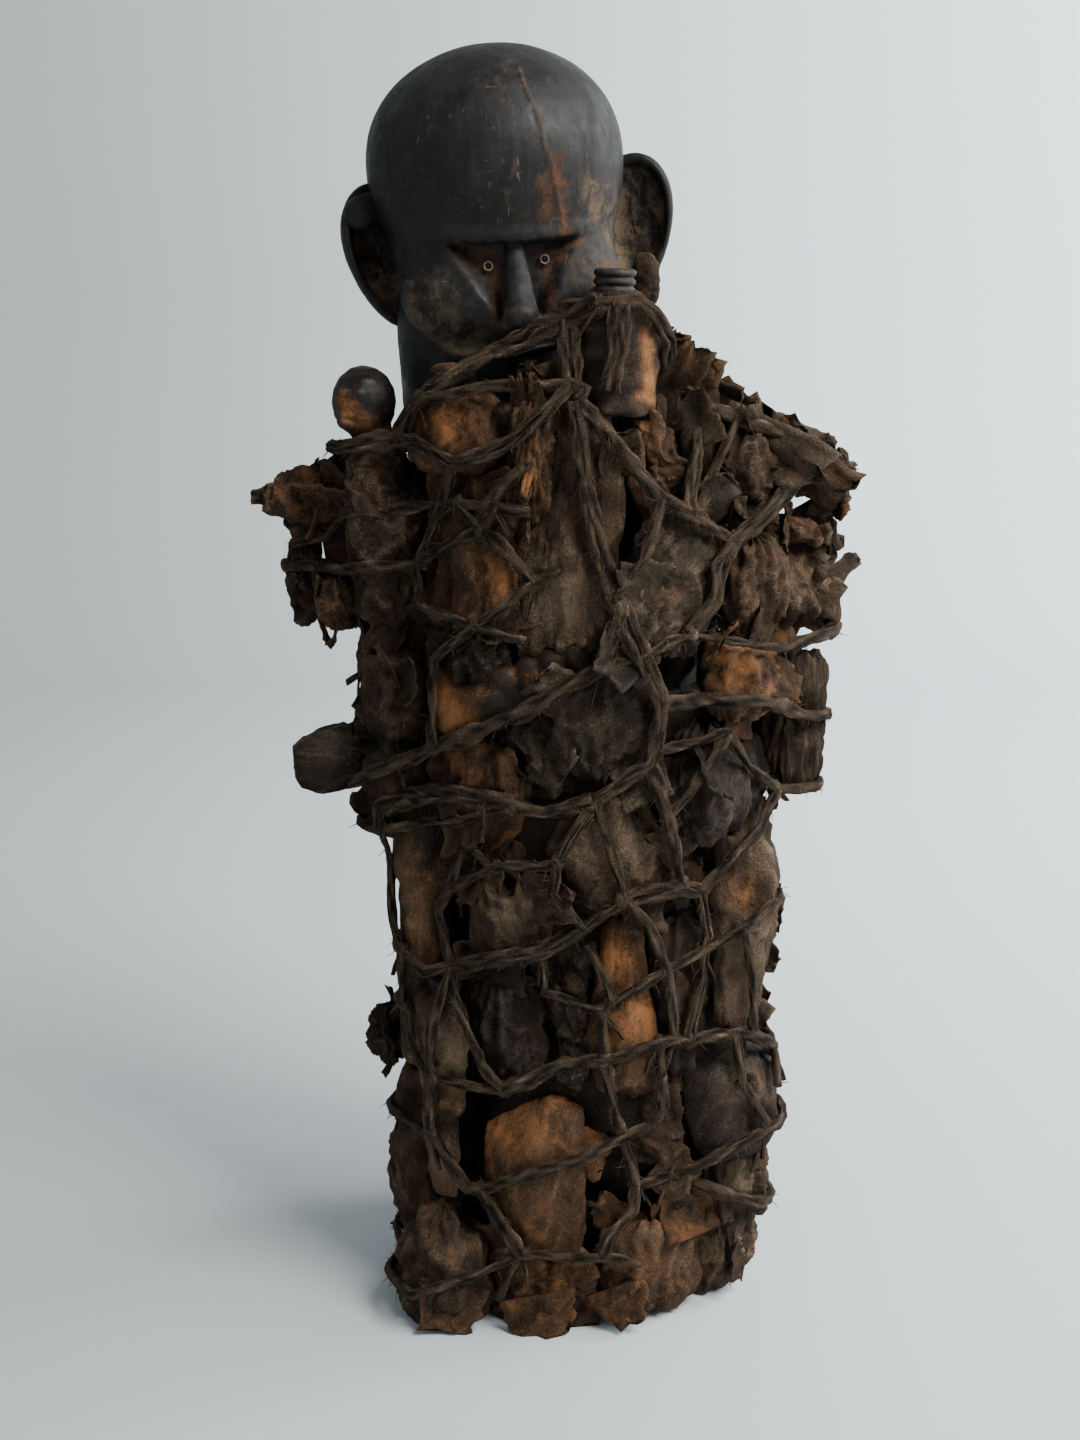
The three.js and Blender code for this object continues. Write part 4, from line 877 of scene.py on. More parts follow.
@dataclass
class CarvedHead:
    """The polished head, which leans and turns a little, with cupped ears and a deep brow ledge."""

    centre: tuple[float, float, float] = (-65.0, 0.0, 835.0)
    yaw: float = 7.5
    lean: float = -6.5
    axis_back: float = -6.0
    chin: float = -128.0
    crown: float = 96.0
    widest: float = 180.0
    halvings: int = 15
    around: int = 220
    up: int = 176
    ear_half: tuple[float, float, float] = (29.0, 24.0, 52.0)
    ear_place: tuple[float, float, float] = (91.0, 5.0, -41.0)
    ear_aside: float = 6.5
    ear_lean: float = 9.0
    ear_yaw: float = -18.0

    def turn(self) -> Array:
        """The head's turn, as rows that local places are multiplied by."""
        return (turned(self.yaw, "Z") @ turned(self.lean, "Y")).T

    def placed(self, local: Array) -> Array:
        """Places of the head in the figure's frame."""
        return local @ self.turn() + rows(*self.centre)

    def local(self, points: Array) -> Array:
        """Places of the figure in the head's frame."""
        return (points - rows(*self.centre)) @ self.turn().T

    def distance(self, points: Array) -> Array:
        """How far points are from the head's surface.

        Skull, temples, forehead, face, cheeks and jaw are balls joined by fillets. Under the brow's curved
        ledge two hollows, wide at the top and narrow beside the mouth, are sunk. The ledge has a low lip
        above it. The nose is a round cone, and each lip a flat ball.
        """
        head = ball_distance(points, (2, 4, 24), (90, 102, 72))
        head = joined(head, ball_distance(points, (1, 6, -22), (80, 84, 72)), 30)
        head = joined(head, ball_distance(points, (0, -20, 6), (78, 80, 74)), 20)
        head = joined(head, ball_distance(points, (-1, -22, -62), (76, 66, 64)), 16)
        head = joined(head, ball_distance(points, (0, -34, -96), (46, 48, 34)), 20)
        aside = np.abs(points[..., 0])
        mirrored = points * rows(0, 1, 1) + aside[..., None] * rows(1, 0, 0)
        head = joined(head, ball_distance(mirrored, (40, -48, -76), (28, 28, 24)), 26)
        ledge = points[..., 2] + 37.0 + 4.0 * (1.0 - (aside / 50.0) ** 2) + 0.07 * points[..., 0]
        wide = 12.5 + 0.54 * (points[..., 2] + 95.0) - aside
        front = rise(-points[..., 1], 35.0, 50.0)
        hollow = 10.0 * rise(wide, -5.0, 12.0) * rise(points[..., 2], -108.0, -86.0) * (ledge < 0)
        lip = 2.4 * np.exp(-(((ledge - 4.0) / 6.0) ** 2)) * rise(62.0 - aside, 0.0, 16.0) * (ledge >= 0)
        head = head + front * (hollow - lip)
        head = joined(head, cone_distance(points, (-0.5, -81, -45), (-3, -95, -90), 6.5, 13), 4)
        head = joined(head, ball_distance(mirrored + rows(3, 0, 0), (11, -90, -94), (8, 9, 6)), 3)
        upper = ball_distance(points, (0, -85, -112), (25, 12, 5.5))
        lower = ball_distance(points, (0, -84, -122), (22, 11, 5))
        return joined(joined(head, upper, 4), lower, 3)

    def shell(self) -> Shape:
        """Level rings round the head's axis, closer at its ends and its face.

        Each place starts from a span of reach that holds the surface, which is halved again and again.

        Returns:
            The closed skull and face.
        """
        share = (np.arange(self.up) + 0.5) / self.up
        closer = np.cos(np.pi * share) * (1 - 0.15 * np.sin(np.pi * share))
        height = self.chin + (self.crown - self.chin) * (0.5 - 0.5 * closer)
        heading = circle(self.around)
        heading, height = np.meshgrid(heading - 0.5 * np.sin(heading), height)
        inner, outer = np.zeros(heading.shape), np.full(heading.shape, self.widest)
        for _ in range(self.halvings):
            middle = (inner + outer) / 2.0
            inside = self.distance(self.ringed(middle, heading, height)) < 0
            inner, outer = np.where(inside, middle, inner), np.where(inside, outer, middle)
        return closed_grid(self.ringed(np.maximum(inner, 0.5), heading, height))

    def ringed(self, reach: Array, heading: Array, height: Array) -> Array:
        """Local places by reach from the axis, heading and height."""
        return stacked(reach * np.sin(heading), self.axis_back - reach * np.cos(heading), height)

    def ear(self, side: int) -> Shape:
        """A cupped ear: a thick dish, egg-shaped and wider at the top, its rim drawn forward.

        Args:
            side: -1 for the figure's right, 1 for its left.

        Returns:
            The closed ear.
        """
        outline = [(0.01, -0.9), (0.34, -0.87), (0.62, -0.75), (0.84, -0.46), (0.95, -0.1), (1.0, 0.2),
                   (0.99, 0.36), (0.93, 0.44), (0.86, 0.4), (0.8, 0.2), (0.7, -0.04), (0.42, -0.2),
                   (0.01, -0.25)]
        wide, tall, deep = np.moveaxis(lathe(outline, 64, 0.05), -1, 0)
        egg = 1.0 + 0.2 * tall
        flap = 1.0 + 0.1 * np.sin(3.0 * np.arctan2(tall, wide))
        half = self.ear_half
        local = stacked(wide * half[0] * egg, -deep * half[1] * flap, tall * half[2])
        roll = limb(rows(-20.0 * side, -6.0, 35.0), rows(12.0 * side, -11.0, 33.0), 13.5, 12.5)
        lobe = limb(rows(-24.0 * side, -6.0, 36.0), rows(-21.0 * side, -8.0, -26.0), 8.0, 5.0)
        ear = together([closed_grid(local), roll, lobe] if side < 0 else [closed_grid(local)])
        ear.points = ear.points @ self.ear_turn(side).T + self.ear_middle(side)
        return ear

    def ear_turn(self, side: int) -> Array:
        """How an ear stands on the head."""
        return turned(self.ear_lean * side, "Y") @ turned(self.ear_yaw * side, "Z")

    def ear_middle(self, side: int) -> Array:
        """Where an ear's middle is on the head."""
        return rows(*self.ear_place) * rows(side, 1, 1) + rows(self.ear_aside, 0, 0)

    def carved(self, shape: Shape, part: Array) -> Shape:
        """Cuts the fine carving into the joined head.

        A ridged seam runs down the crown and brow to the nose, a pale ridge edges the jaw, hatched cuts cross
        the cheek's hollow, the brow's ledge is dented, and shallow facets are left by the adze.

        Args:
            shape: the head with its ears.
            part: -1 or 1 at the points of an ear, and 0 elsewhere.

        Returns:
            The carved head with relief, rust and worn painted on it.
        """
        points, normals = shape.points, shape.normals()
        local = self.local(points)
        seam = painted(points, normals, (Stroke(CROWN_SEAM, 1.6),))
        flank = painted(points, normals, (Stroke(CROWN_SEAM, 5.0),)) - seam
        jaw = painted(points, normals, (Stroke(JAW_RIDGE, 3.6),))
        hatch_cover = painted(points, normals, (Stroke(CHEEK_HOLLOW, 13.0),))
        seen = VIEW.seen(points)
        hatch = np.abs(np.sin(0.55 * (0.8 * seen[:, 0] + seen[:, 1]) + 2.0 * noise(points, 9.0, 3)))
        ledge = np.exp(-((local[:, 2] + 37.0) / 3.0) ** 2) * (local[:, 1] < -60)
        facets = noise(points * rows(1, 1, 0.7), 21.0, 5)
        fine = noise(points, 5.0, 6)
        face = rise(-local[:, 2], 30.0, 60.0)
        cut = (
            0.8 * seam * (0.7 + 0.8 * noise(points, 4.0, 9))
            - 0.5 * flank * rise(noise(points, 6.0, 8), 0.0, 0.5)
            + 3.4 * jaw * (0.8 + 0.4 * noise(points, 5.0, 16))
            - 2.0 * hatch_cover * (0.35 + 0.65 * hatch)
            - 0.8 * ledge * rise(noise(points, 5.0, 12), 0.0, 0.6)
            + 0.22 * facets
            + (0.05 + 0.28 * face) * fine
        )
        shape.pushed(cut)
        back = rise(local[:, 1], 20.0, 70.0)
        patches = rise(layered(points, 30.0, 14, 4), -0.1, 0.9)
        patches = patches * (0.4 + 0.6 * rise(noise(points, 8.0, 15), -0.4, 0.5))
        worn = (0.3 + 0.25 * face) * patches + painted(points, normals, WORN_ON_HEAD) + 1.3 * jaw
        worn = worn + 0.6 * hatch_cover + 1.3 * seam
        right, left = self.in_cup(local, -1) * (part < 0), self.in_cup(local, 1) * (part > 0)
        low = rise(-local[:, 2], 36.0, 60.0)
        stain = 0.55 + 0.6 * rise(layered(points, 8.0, 17), -0.4, 0.4)
        bright = 0.35 * painted(points, normals, BRIGHT_ON_HEAD) - 0.12
        # Relief sets the finish's painted shade: it is lowered in the hatched cuts and in the upper part of
        # the right ear's cup, under its roll. Inside both cups, tone is painted light that lifts the cups' own
        # shadow, over paler worn wood and rust
        return shape.tinted(
            relief=0.55 + 0.3 * facets + 0.5 * fine * face - 0.9 * hatch_cover * hatch
            - 0.25 * right * (1.0 - low),
            rust=painted(points, normals, RUST_ON_HEAD) * stain + 0.4 * right + 0.12 * left,
            worn=worn * (1.0 - 0.5 * back) + (0.4 + 0.3 * low) * right + 0.55 * left,
            tone=bright + 1.2 * right * (0.4 + 0.6 * low) + 1.7 * left,
        )

    def in_cup(self, local: Array, side: int) -> Array:
        """1 inside an ear's cup and 0 elsewhere."""
        away = (local - self.ear_middle(side)) @ self.ear_turn(side)
        span = np.hypot(away[:, 0] / 25.0, away[:, 2] / 45.0)
        below = rise(23.0 - away[:, 2], 0.0, 3.0) if side < 0 else 1.0
        return rise(1.0 - span, -0.05, 0.12) * rise(-away[:, 1], -12.0, -2.0) * below

    def build(self) -> bpy.types.Object:
        """The head, its ears and the neck in one piece."""
        shapes = [self.shell(), self.ear(-1), self.ear(1)]
        for shape in shapes:
            shape.points = self.placed(shape.points)
        shapes.append(limb(rows(-55, 6, 640), rows(-64, -8, 738), 75.0, 72.0, 72))
        part = np.repeat([0, -1, 1, 0], [len(shape.points) for shape in shapes])
        return object_from("carved_head", self.carved(together(shapes), part), CARVED_WOOD.material())


CROWN_SEAM = ((519, 68), (527, 90), (536, 112), (544, 140), (552, 165), (557, 190), (562, 215), (566, 234))
JAW_RIDGE = ((408, 282), (416, 312), (432, 336), (452, 352), (478, 356))
CHEEK_HOLLOW = ((432, 316), (450, 326), (474, 340))
RUST_ON_HEAD = (
    Stroke(CROWN_SEAM, 1.4, 0.75),
    Stroke(((538, 118), (552, 165), (556, 188)), 5.0, 0.35),
    Stroke(((543, 178), (549, 200), (546, 214)), 11.0, 0.8),
    Stroke(((556, 160), (562, 205), (565, 228)), 10.0, 0.9),
    Stroke(((455, 243), (475, 252), (500, 255)), 6.0, 0.75),
    Stroke(((530, 254), (560, 250), (581, 240)), 6.0, 0.75),
    Stroke(((462, 256), (484, 268), (498, 276)), 11.0, 0.75),
    Stroke(((540, 264), (562, 258)), 11.0, 0.75),
    Stroke(((495, 270), (498, 300), (500, 330)), 9.0, 0.95),
    Stroke(((548, 272), (551, 292), (553, 312)), 8.0, 0.9),
    Stroke(((478, 334), (520, 338), (552, 326)), 7.0, 0.4),
    Stroke(((376, 194), (402, 193)), 6.0, 0.5),
    Stroke(((616, 120), (619, 160)), 6.0, 0.4),
    Stroke(((628, 190), (636, 230)), 10.0, 0.25),
)
WORN_ON_HEAD = (
    Stroke(((600, 190), (612, 240), (604, 280)), 24.0, 0.75),
    Stroke(((575, 262), (590, 280)), 15.0, 0.4),
    Stroke(((420, 290), (446, 318), (476, 340)), 20.0, 0.5),
    Stroke(((412, 290), (422, 320), (448, 340)), 8.0, 0.35),
    Stroke(((415, 95), (450, 75), (490, 80)), 26.0, 0.12),
    Stroke(((440, 140), (470, 165), (500, 150)), 30.0, 0.08),
    Stroke(((395, 160), (420, 190)), 22.0, 0.08),
    Stroke(((560, 215), (580, 226)), 9.0, 0.2),
)
BRIGHT_ON_HEAD = (
    Stroke(((596, 195), (606, 240), (602, 280)), 24.0, 1.3),
    Stroke(((440, 265), (460, 300)), 20.0, 0.5),
)


@dataclass
class CarvedBody:
    """Torso, shoulders, the arm whose fist rests on the belly, the bent leg and the base."""

    pitch: float = 2.2

    def column(self, half_width: float, half_depth: float, low: float, high: float, bend: float) -> Shape:
        """A round-edged level oval column."""
        inner = half_width - bend
        grid = lathe([(0.01 * half_width, low), (inner, low), (half_width, low + bend),
                      (half_width, high - bend), (inner, high), (0.01 * half_width, high)], 90, 8.0)
        grid[..., 1] *= half_depth / half_width
        return closed_grid(grid + rows(*BODY_AXIS, 0.0))

    def fist(self) -> list[Shape]:
        """Four folded fingers side by side, drawn a little together at the knuckles."""
        turn = turned(-22.0, "Y").T
        centre = rows(-30, -112, 500)
        fingers = []
        for index in range(4):
            across = (2 * index - 3) * 9.5
            foot = rows(across, 1.0, -9.0) @ turn + centre
            knuckle = rows(0.92 * across, -4.0, 9.6) @ turn + centre
            fingers.append(limb(foot, knuckle, 9.6, 8.8, 24))
        return fingers

    def build(self) -> bpy.types.Object:
        """The joined body, with adze marks, the paint worn on the arm and a painted highlight along the leg.
        """
        leg_hip, knee, ankle = rows(-92, -30, 408), rows(-119, -52, 318), rows(-124, -48, 196)
        shoulder, elbow, wrist = rows(-92, -22, 610), rows(-92, -84, 468), rows(-62, -108, 482)
        trunk = together([
            self.column(86.0, 78.0, 15.0, 655.0, 12.0),
            self.column(108.0, 92.0, 0.0, 30.0, 4.0),
            limb(rows(-52, 8, 632), rows(52, 8, 632), 50.0, 50.0, 48),
        ])
        shapes = [
            limb(shoulder, elbow, 24.0, 21.0),
            limb(elbow, wrist, 21.0, 16.0),
            limb(leg_hip, knee, 26.0, 20.0),
            limb(rows(-112, -36, 426), rows(-121, -48, 345), 25.0, 23.0),
            limb(knee, ankle, 19.0, 15.0),
            *self.fist(),
        ]
        shape = together([trunk, relaxed(remeshed(together(shapes), self.pitch), 2)])
        lumps = noise(shape.points, 24.0, 21)
        fine = layered(shape.points, 7.0, 22, 2)
        above = rise(shape.points[:, 2], 1.0, 4.0)
        shape.pushed((0.6 * lumps + 0.35 * fine) * above)
        normals = shape.normals()
        arm = painted(shape.points, normals, (Stroke(((440, 685), (452, 712), (462, 736)), 19.0, 1.0),))
        # Painted highlight: the leg is painted brighter and paler along its length, as the sheen that light
        # leaves on it
        leg = painted(shape.points, normals, (Stroke(((396, 835), (412, 890), (432, 950)), 26.0),))
        shape.tinted(
            relief=0.5 + 0.4 * fine + 0.3 * lumps,
            worn=0.5 * arm + 0.3 * leg + 0.15 * rise(lumps, 0.1, 0.6),
            rust=0.6 * arm,
            tone=0.8 * leg,
        )
        return object_from("carved_body", shape, CARVED_BODY_WOOD.material())


@dataclass
class EyeRing:
    """A small ring of tarnished metal round a dark pupil, set in the carved eye."""

    side: int
    radius: float = 2.8
    wire: float = 0.75
    proud: float = 1.4

    def build(self, head: CarvedHead) -> list[bpy.types.Object]:
        """The ring and the pupil behind it, where the stud is in the head's frame."""
        lowest, highest = (np.array(corner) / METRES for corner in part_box(f"eye_stud_{self.side_name()}"))
        centre = head.local((lowest + highest)[None, :] / 2.0)[0]
        turn, section = circle(40), circle(14)[:, None]
        reach = self.radius + self.wire * np.cos(section)
        ring = stacked(reach * np.cos(turn), self.wire * np.sin(section) - self.proud, reach * np.sin(turn))
        index = np.arange(ring[..., 0].size).reshape(ring.shape[:2])
        onward = np.roll(index, -1, 0)
        quads = stacked(index, np.roll(index, -1, 1), np.roll(onward, -1, 1), onward)
        hoop = Shape(head.placed(ring.reshape(-1, 3) + centre), quads.reshape(-1, 4)).outward()
        hoop.tinted(relief=0.6 + 0.3 * noise(hoop.points, 2.0, 3))
        dome = lathe([(0.05, 1.3), (1.3, 1.0), (2.4, 0.4), (3.0, -0.6), (3.0, -3.2), (0.05, -3.4)], 32, 0.4)
        pupil = closed_grid(head.placed(dome[..., [0, 2, 1]] * rows(1, -1, 1) + centre)).tinted(relief=0.3)
        name = self.side_name()
        return [
            object_from(f"eye_ring_{name}", hoop, RING_METAL.material()),
            object_from(f"eye_pupil_{name}", pupil, PUPIL_RESIN.material()),
        ]

    def side_name(self) -> str:
        """right or left, by the figure's own side."""
        return "right" if self.side < 0 else "left"


# The bottle and the small figure on the shoulders


@dataclass
class ShoulderBottle:
    """A squat bottle dark with crust, and its ribbed screw cap."""

    seen: Seen = (614.0, 352.0)
    depth: float = -96.0
    radius: float = 31.0
    tall: float = 84.0
    lean: float = 2.0
    cap_seen: Seen = (614.5, 286.0)
    cap_radius: float = 14.5
    cap_tall: float = 23.0
    ribs: int = 4
    rib_depth: float = 1.7

    def placed(self, grid: Array, seen: Seen) -> Array:
        """Local rings set behind a picture point and turned outwards."""
        middle = VIEW.placed(rows(*seen), self.depth)
        heading = math.degrees(float(heading_of(middle)))
        return grid @ (turned(heading, "Z") @ turned(self.lean, "Y")).T + middle

    def glass(self) -> bpy.types.Object:
        """The bottle, whose crust stands in patches and whose foot flares on one side."""
        half = self.tall / 2.0
        outline = [(0.2, -half), (self.radius - 5.0, -half), (self.radius - 1.0, -half + 2.0),
                   (self.radius, -half + 6.0), (self.radius, 20.0), (29.6, 28.0), (25.0, 35.0), (17.0, 40.0),
                   (13.5, half), (0.2, half + 0.4)]
        grid = lathe(outline, 84, 2.0)
        shape = closed_grid(self.placed(grid, self.seen))
        crust = layered(shape.points, 13.0, 31, 4)
        wraps = np.sin(shape.points[:, 2] / 3.1 + 2.5 * noise(shape.points, 30.0, 33))
        shape.pushed(1.6 * rise(crust, -0.1, 0.7) + 0.35 * wraps + 0.4 * noise(shape.points, 3.0, 34) - 0.8)
        stripe = painted(shape.points, shape.normals(), (
            Stroke(((645, 330), (648, 360), (652, 392)), 9.0, 0.85),
            Stroke(((640, 394), (662, 402)), 7.0, 0.8)))
        shape.tinted(
            relief=0.4 + 0.5 * crust + 0.12 * wraps,
            rust=stripe * (0.9 - 0.3 * crust),
            worn=0.12 * stripe + 0.2 * rise(crust, 0.2, 0.7),
            tone=0.1,
        )
        return object_from("shoulder_bottle", shape, CRUSTED_GLASS.material())

    def cap(self) -> bpy.types.Object:
        """The cap: a turned form with rounded ribs round it."""
        half, rib = self.cap_tall / 2.0, self.cap_tall / self.ribs
        inner, outer = self.cap_radius - self.rib_depth, self.cap_radius
        outline = [(0.2, -half)]
        for foot in (-half + index * rib for index in range(self.ribs)):
            outline += [(inner, foot), (inner, foot + 0.12 * rib), (outer - 0.4, foot + 0.26 * rib),
                        (outer, foot + 0.5 * rib), (outer - 0.4, foot + 0.78 * rib),
                        (inner, foot + 0.92 * rib)]
        outline += [(inner, half - 0.4), (outer - 3.2, half), (0.2, half)]
        shape = closed_grid(self.placed(lathe(outline, 60, 0.9), self.cap_seen))
        crust = layered(shape.points, 6.0, 36, 3)
        shape.pushed(0.5 * rise(crust, 0.0, 0.8) + 0.12 * noise(shape.points, 1.6, 37))
        shape.tinted(relief=0.5 + 0.4 * crust, worn=0.25 * rise(crust, 0.1, 0.6), tone=0.1)
        return object_from("ribbed_cap", shape, CAP_METAL.material())


@dataclass
class SmallFigure:
    """A little carved figure bound to the shoulder: a round head with a muzzle, on a blocky body."""

    head: Seen = (364.0, 402.0)
    neck: Seen = (374.0, 440.0)
    body: Seen = (388.0, 505.0)
    foot: Seen = (386.0, 590.0)
    depth: float = -42.0
    pitch: float = 1.5

    def places(self) -> tuple[Array, Array, Array, Array]:
        """Where head, neck, body and foot are."""
        seen = (self.head, self.neck, self.body, self.foot)
        return tuple(VIEW.placed(rows(*point), self.depth) for point in seen)

    def carving(self) -> bpy.types.Object:
        """The head and neck, painted red on its face and polished dark on its crown."""
        head, neck, body, _ = self.places()
        skull = lathe([(0.02, -1.0), (0.4, -0.92), (0.72, -0.7), (0.93, -0.38), (1.0, 0.0), (0.94, 0.36),
                       (0.74, 0.69), (0.4, 0.92), (0.02, 1.0)], 60, 0.04)
        shapes = [
            closed_grid(skull * rows(23, 25, 26) + head),
            limb(head + rows(-8, -14, -2), head + rows(-12, -20, -12), 7.0, 6.0),
            limb(head + rows(-14, -18, 8), head + rows(-16, -17, 6), 4.0, 3.5),
            limb(head + rows(-2, -23, 8), head + rows(-1, -23, 6), 3.6, 3.2),
            limb(head, neck, 14.0, 15.0),
            limb(neck, body, 15.0, 16.0),
        ]
        shape = relaxed(remeshed(together(shapes), self.pitch), 3)
        points, normals = shape.points, shape.normals()
        face = painted(points, normals, (Stroke(((345, 400), (352, 418), (366, 424)), 14.0, 0.9),))
        eye_and_mouth = (Stroke(((343, 399), (350, 397)), 3.0), Stroke(((345, 419), (356, 421)), 2.4))
        holes = painted(points, normals, eye_and_mouth)
        crown = rise(points[:, 2], head[2] - 4.0, head[2] + 14.0)
        fine = layered(points, 6.0, 41, 3)
        shape.pushed((0.5 - 0.25 * crown) * fine - 2.4 * holes)
        # The pushed-in eye and mouth get low relief: painted shade inside them
        shape.tinted(
            relief=0.5 + (0.5 - 0.3 * crown) * fine - 0.9 * holes,
            rust=face * 1.1 * (1.0 - 0.8 * rise(points[:, 2], head[2] + 6.0, head[2] + 16.0)),
            worn=0.3 * rise(fine, 0.0, 0.8),
            tone=0.15 * face,
        )
        return object_from("small_figure_carving", shape, SMALL_WOOD.material())

    def wrap(self, maker: "PacketMaker") -> bpy.types.Object:
        """The hide that the small body is wrapped in."""
        _, neck, body, foot = self.places()
        shapes = [limb(neck + rows(0, 0, -14), body, 20.0, 29.0), limb(body, foot, 29.0, 25.0)]
        shape = relaxed(remeshed(together(shapes), 2.3), 1)
        centre = (neck + foot) / 2.0
        egg = rows(29.0, 29.0, float(neck[2] - foot[2]) / 2.0 + 14.0)
        packet = Packet("small_figure", Kind.SLAB, LEATHER, worn=(spot(385, 520, 40, 0.35),))
        maker.folded(shape, shape.points - centre, egg, np.eye(3), packet, 7)
        tongues = maker.tongues(shape, centre, egg, packet, 7)
        return object_from("small_figure_wrap", together([shape, *tongues]), LEATHER.material())


# The packets


class Kind(Enum):
    """What a packet is made as."""

    BAG = "a hide drawn up in gathers and tied"
    PILLOW = "a flat hide envelope, stuffed"
    GOURD = "a dried gourd"
    ROLL = "a hide rolled up lengthwise"
    WOUND = "a roll wound with thong"
    SLAB = "a stiff folded block of hide"
    BARK = "a bundle of bark and fibre"
    HIDE = "one stiff torn hide"


@dataclass(frozen=True)
class Skin:
    """How a kind of packet is skinned.

    Crumple, crease, layer and crust are heights in millimetres; soften is how many times the solid's corners
    are smoothed; facets is how many stiff flats it is folded into; gathers is how many pleats run up it, and
    windings how many turns go round it. Flaps and strips are the torn tongues that stand off it.
    """

    crumple: float
    crease: float
    crust: float
    soften: int
    facets: int = 0
    layer: float = 0.0
    gathers: int = 0
    gather_depth: float = 0.0
    windings: int = 0
    wind_depth: float = 0.0
    fibre: float = 0.0
    flaps: int = 0
    strips: int = 0


SKINS = {
    Kind.BAG: Skin(1.9, 3.4, 0.9, 2, facets=12, layer=1.7, gathers=17, gather_depth=1.7, flaps=3),
    Kind.PILLOW: Skin(1.6, 3.2, 1.0, 2, facets=12, layer=1.8, flaps=3),
    Kind.GOURD: Skin(1.2, 0.9, 0.7, 3, facets=6, layer=0.8),
    Kind.ROLL: Skin(1.6, 2.8, 0.9, 2, facets=8, layer=1.6, gathers=11, gather_depth=2.2, fibre=0.8, flaps=3),
    Kind.WOUND: Skin(1.2, 1.6, 0.7, 3, facets=4, layer=1.0, windings=11, wind_depth=2.4, fibre=0.8, flaps=1,
                     strips=3),
    Kind.SLAB: Skin(1.4, 2.8, 1.2, 1, facets=14, layer=2.1, flaps=4),
    Kind.BARK: Skin(2.2, 2.6, 1.1, 2, facets=8, layer=1.4, gathers=13, gather_depth=1.6, fibre=3.4, flaps=2,
                    strips=8),
    Kind.HIDE: Skin(1.8, 4.2, 0.8, 1, facets=7, layer=1.6, flaps=2),
}


@dataclass(frozen=True)
class Packet:
    """One bundle on the figure.

    Turn is the heading that it faces in degrees, or None where it faces straight out. Lean tips it sideways.
    Ties are heights, as shares from foot to top, where it is bound. Pits are picture points where it has
    holes, with their radius in picture points. Scale widens or narrows its skin along its own axes, and torn
    tongues stand off it where it is loose.
    """

    node: str
    kind: Kind
    finish: Finish
    lean: float = 0.0
    turn: float | None = None
    ties: tuple[float, ...] = ()
    pits: tuple[tuple[float, float, float], ...] = ()
    rust: tuple[Stroke, ...] = ()
    worn: tuple[Stroke, ...] = ()
    tone: float = 0.0
    scale: tuple[float, float, float] = (1.0, 1.0, 1.0)
    loose: bool = True


SLOTS = {"aged_leather": "leather", "aged_red_hide": "red_hide", "aged_grey_hide": "grey_hide",
         "aged_bark": "bark", "gourd_rind": "gourd", "dark_rags": "dark_cloth"}
BACK_TURNS = (124.0, 218.0, 142.0, 236.0, 124.0, 218.0, 142.0, 236.0)


def spot(across: float, down: float, radius: float, strength: float = 1.0) -> Stroke:
    """A round spot in the picture."""
    return Stroke(((across, down),), radius, strength)


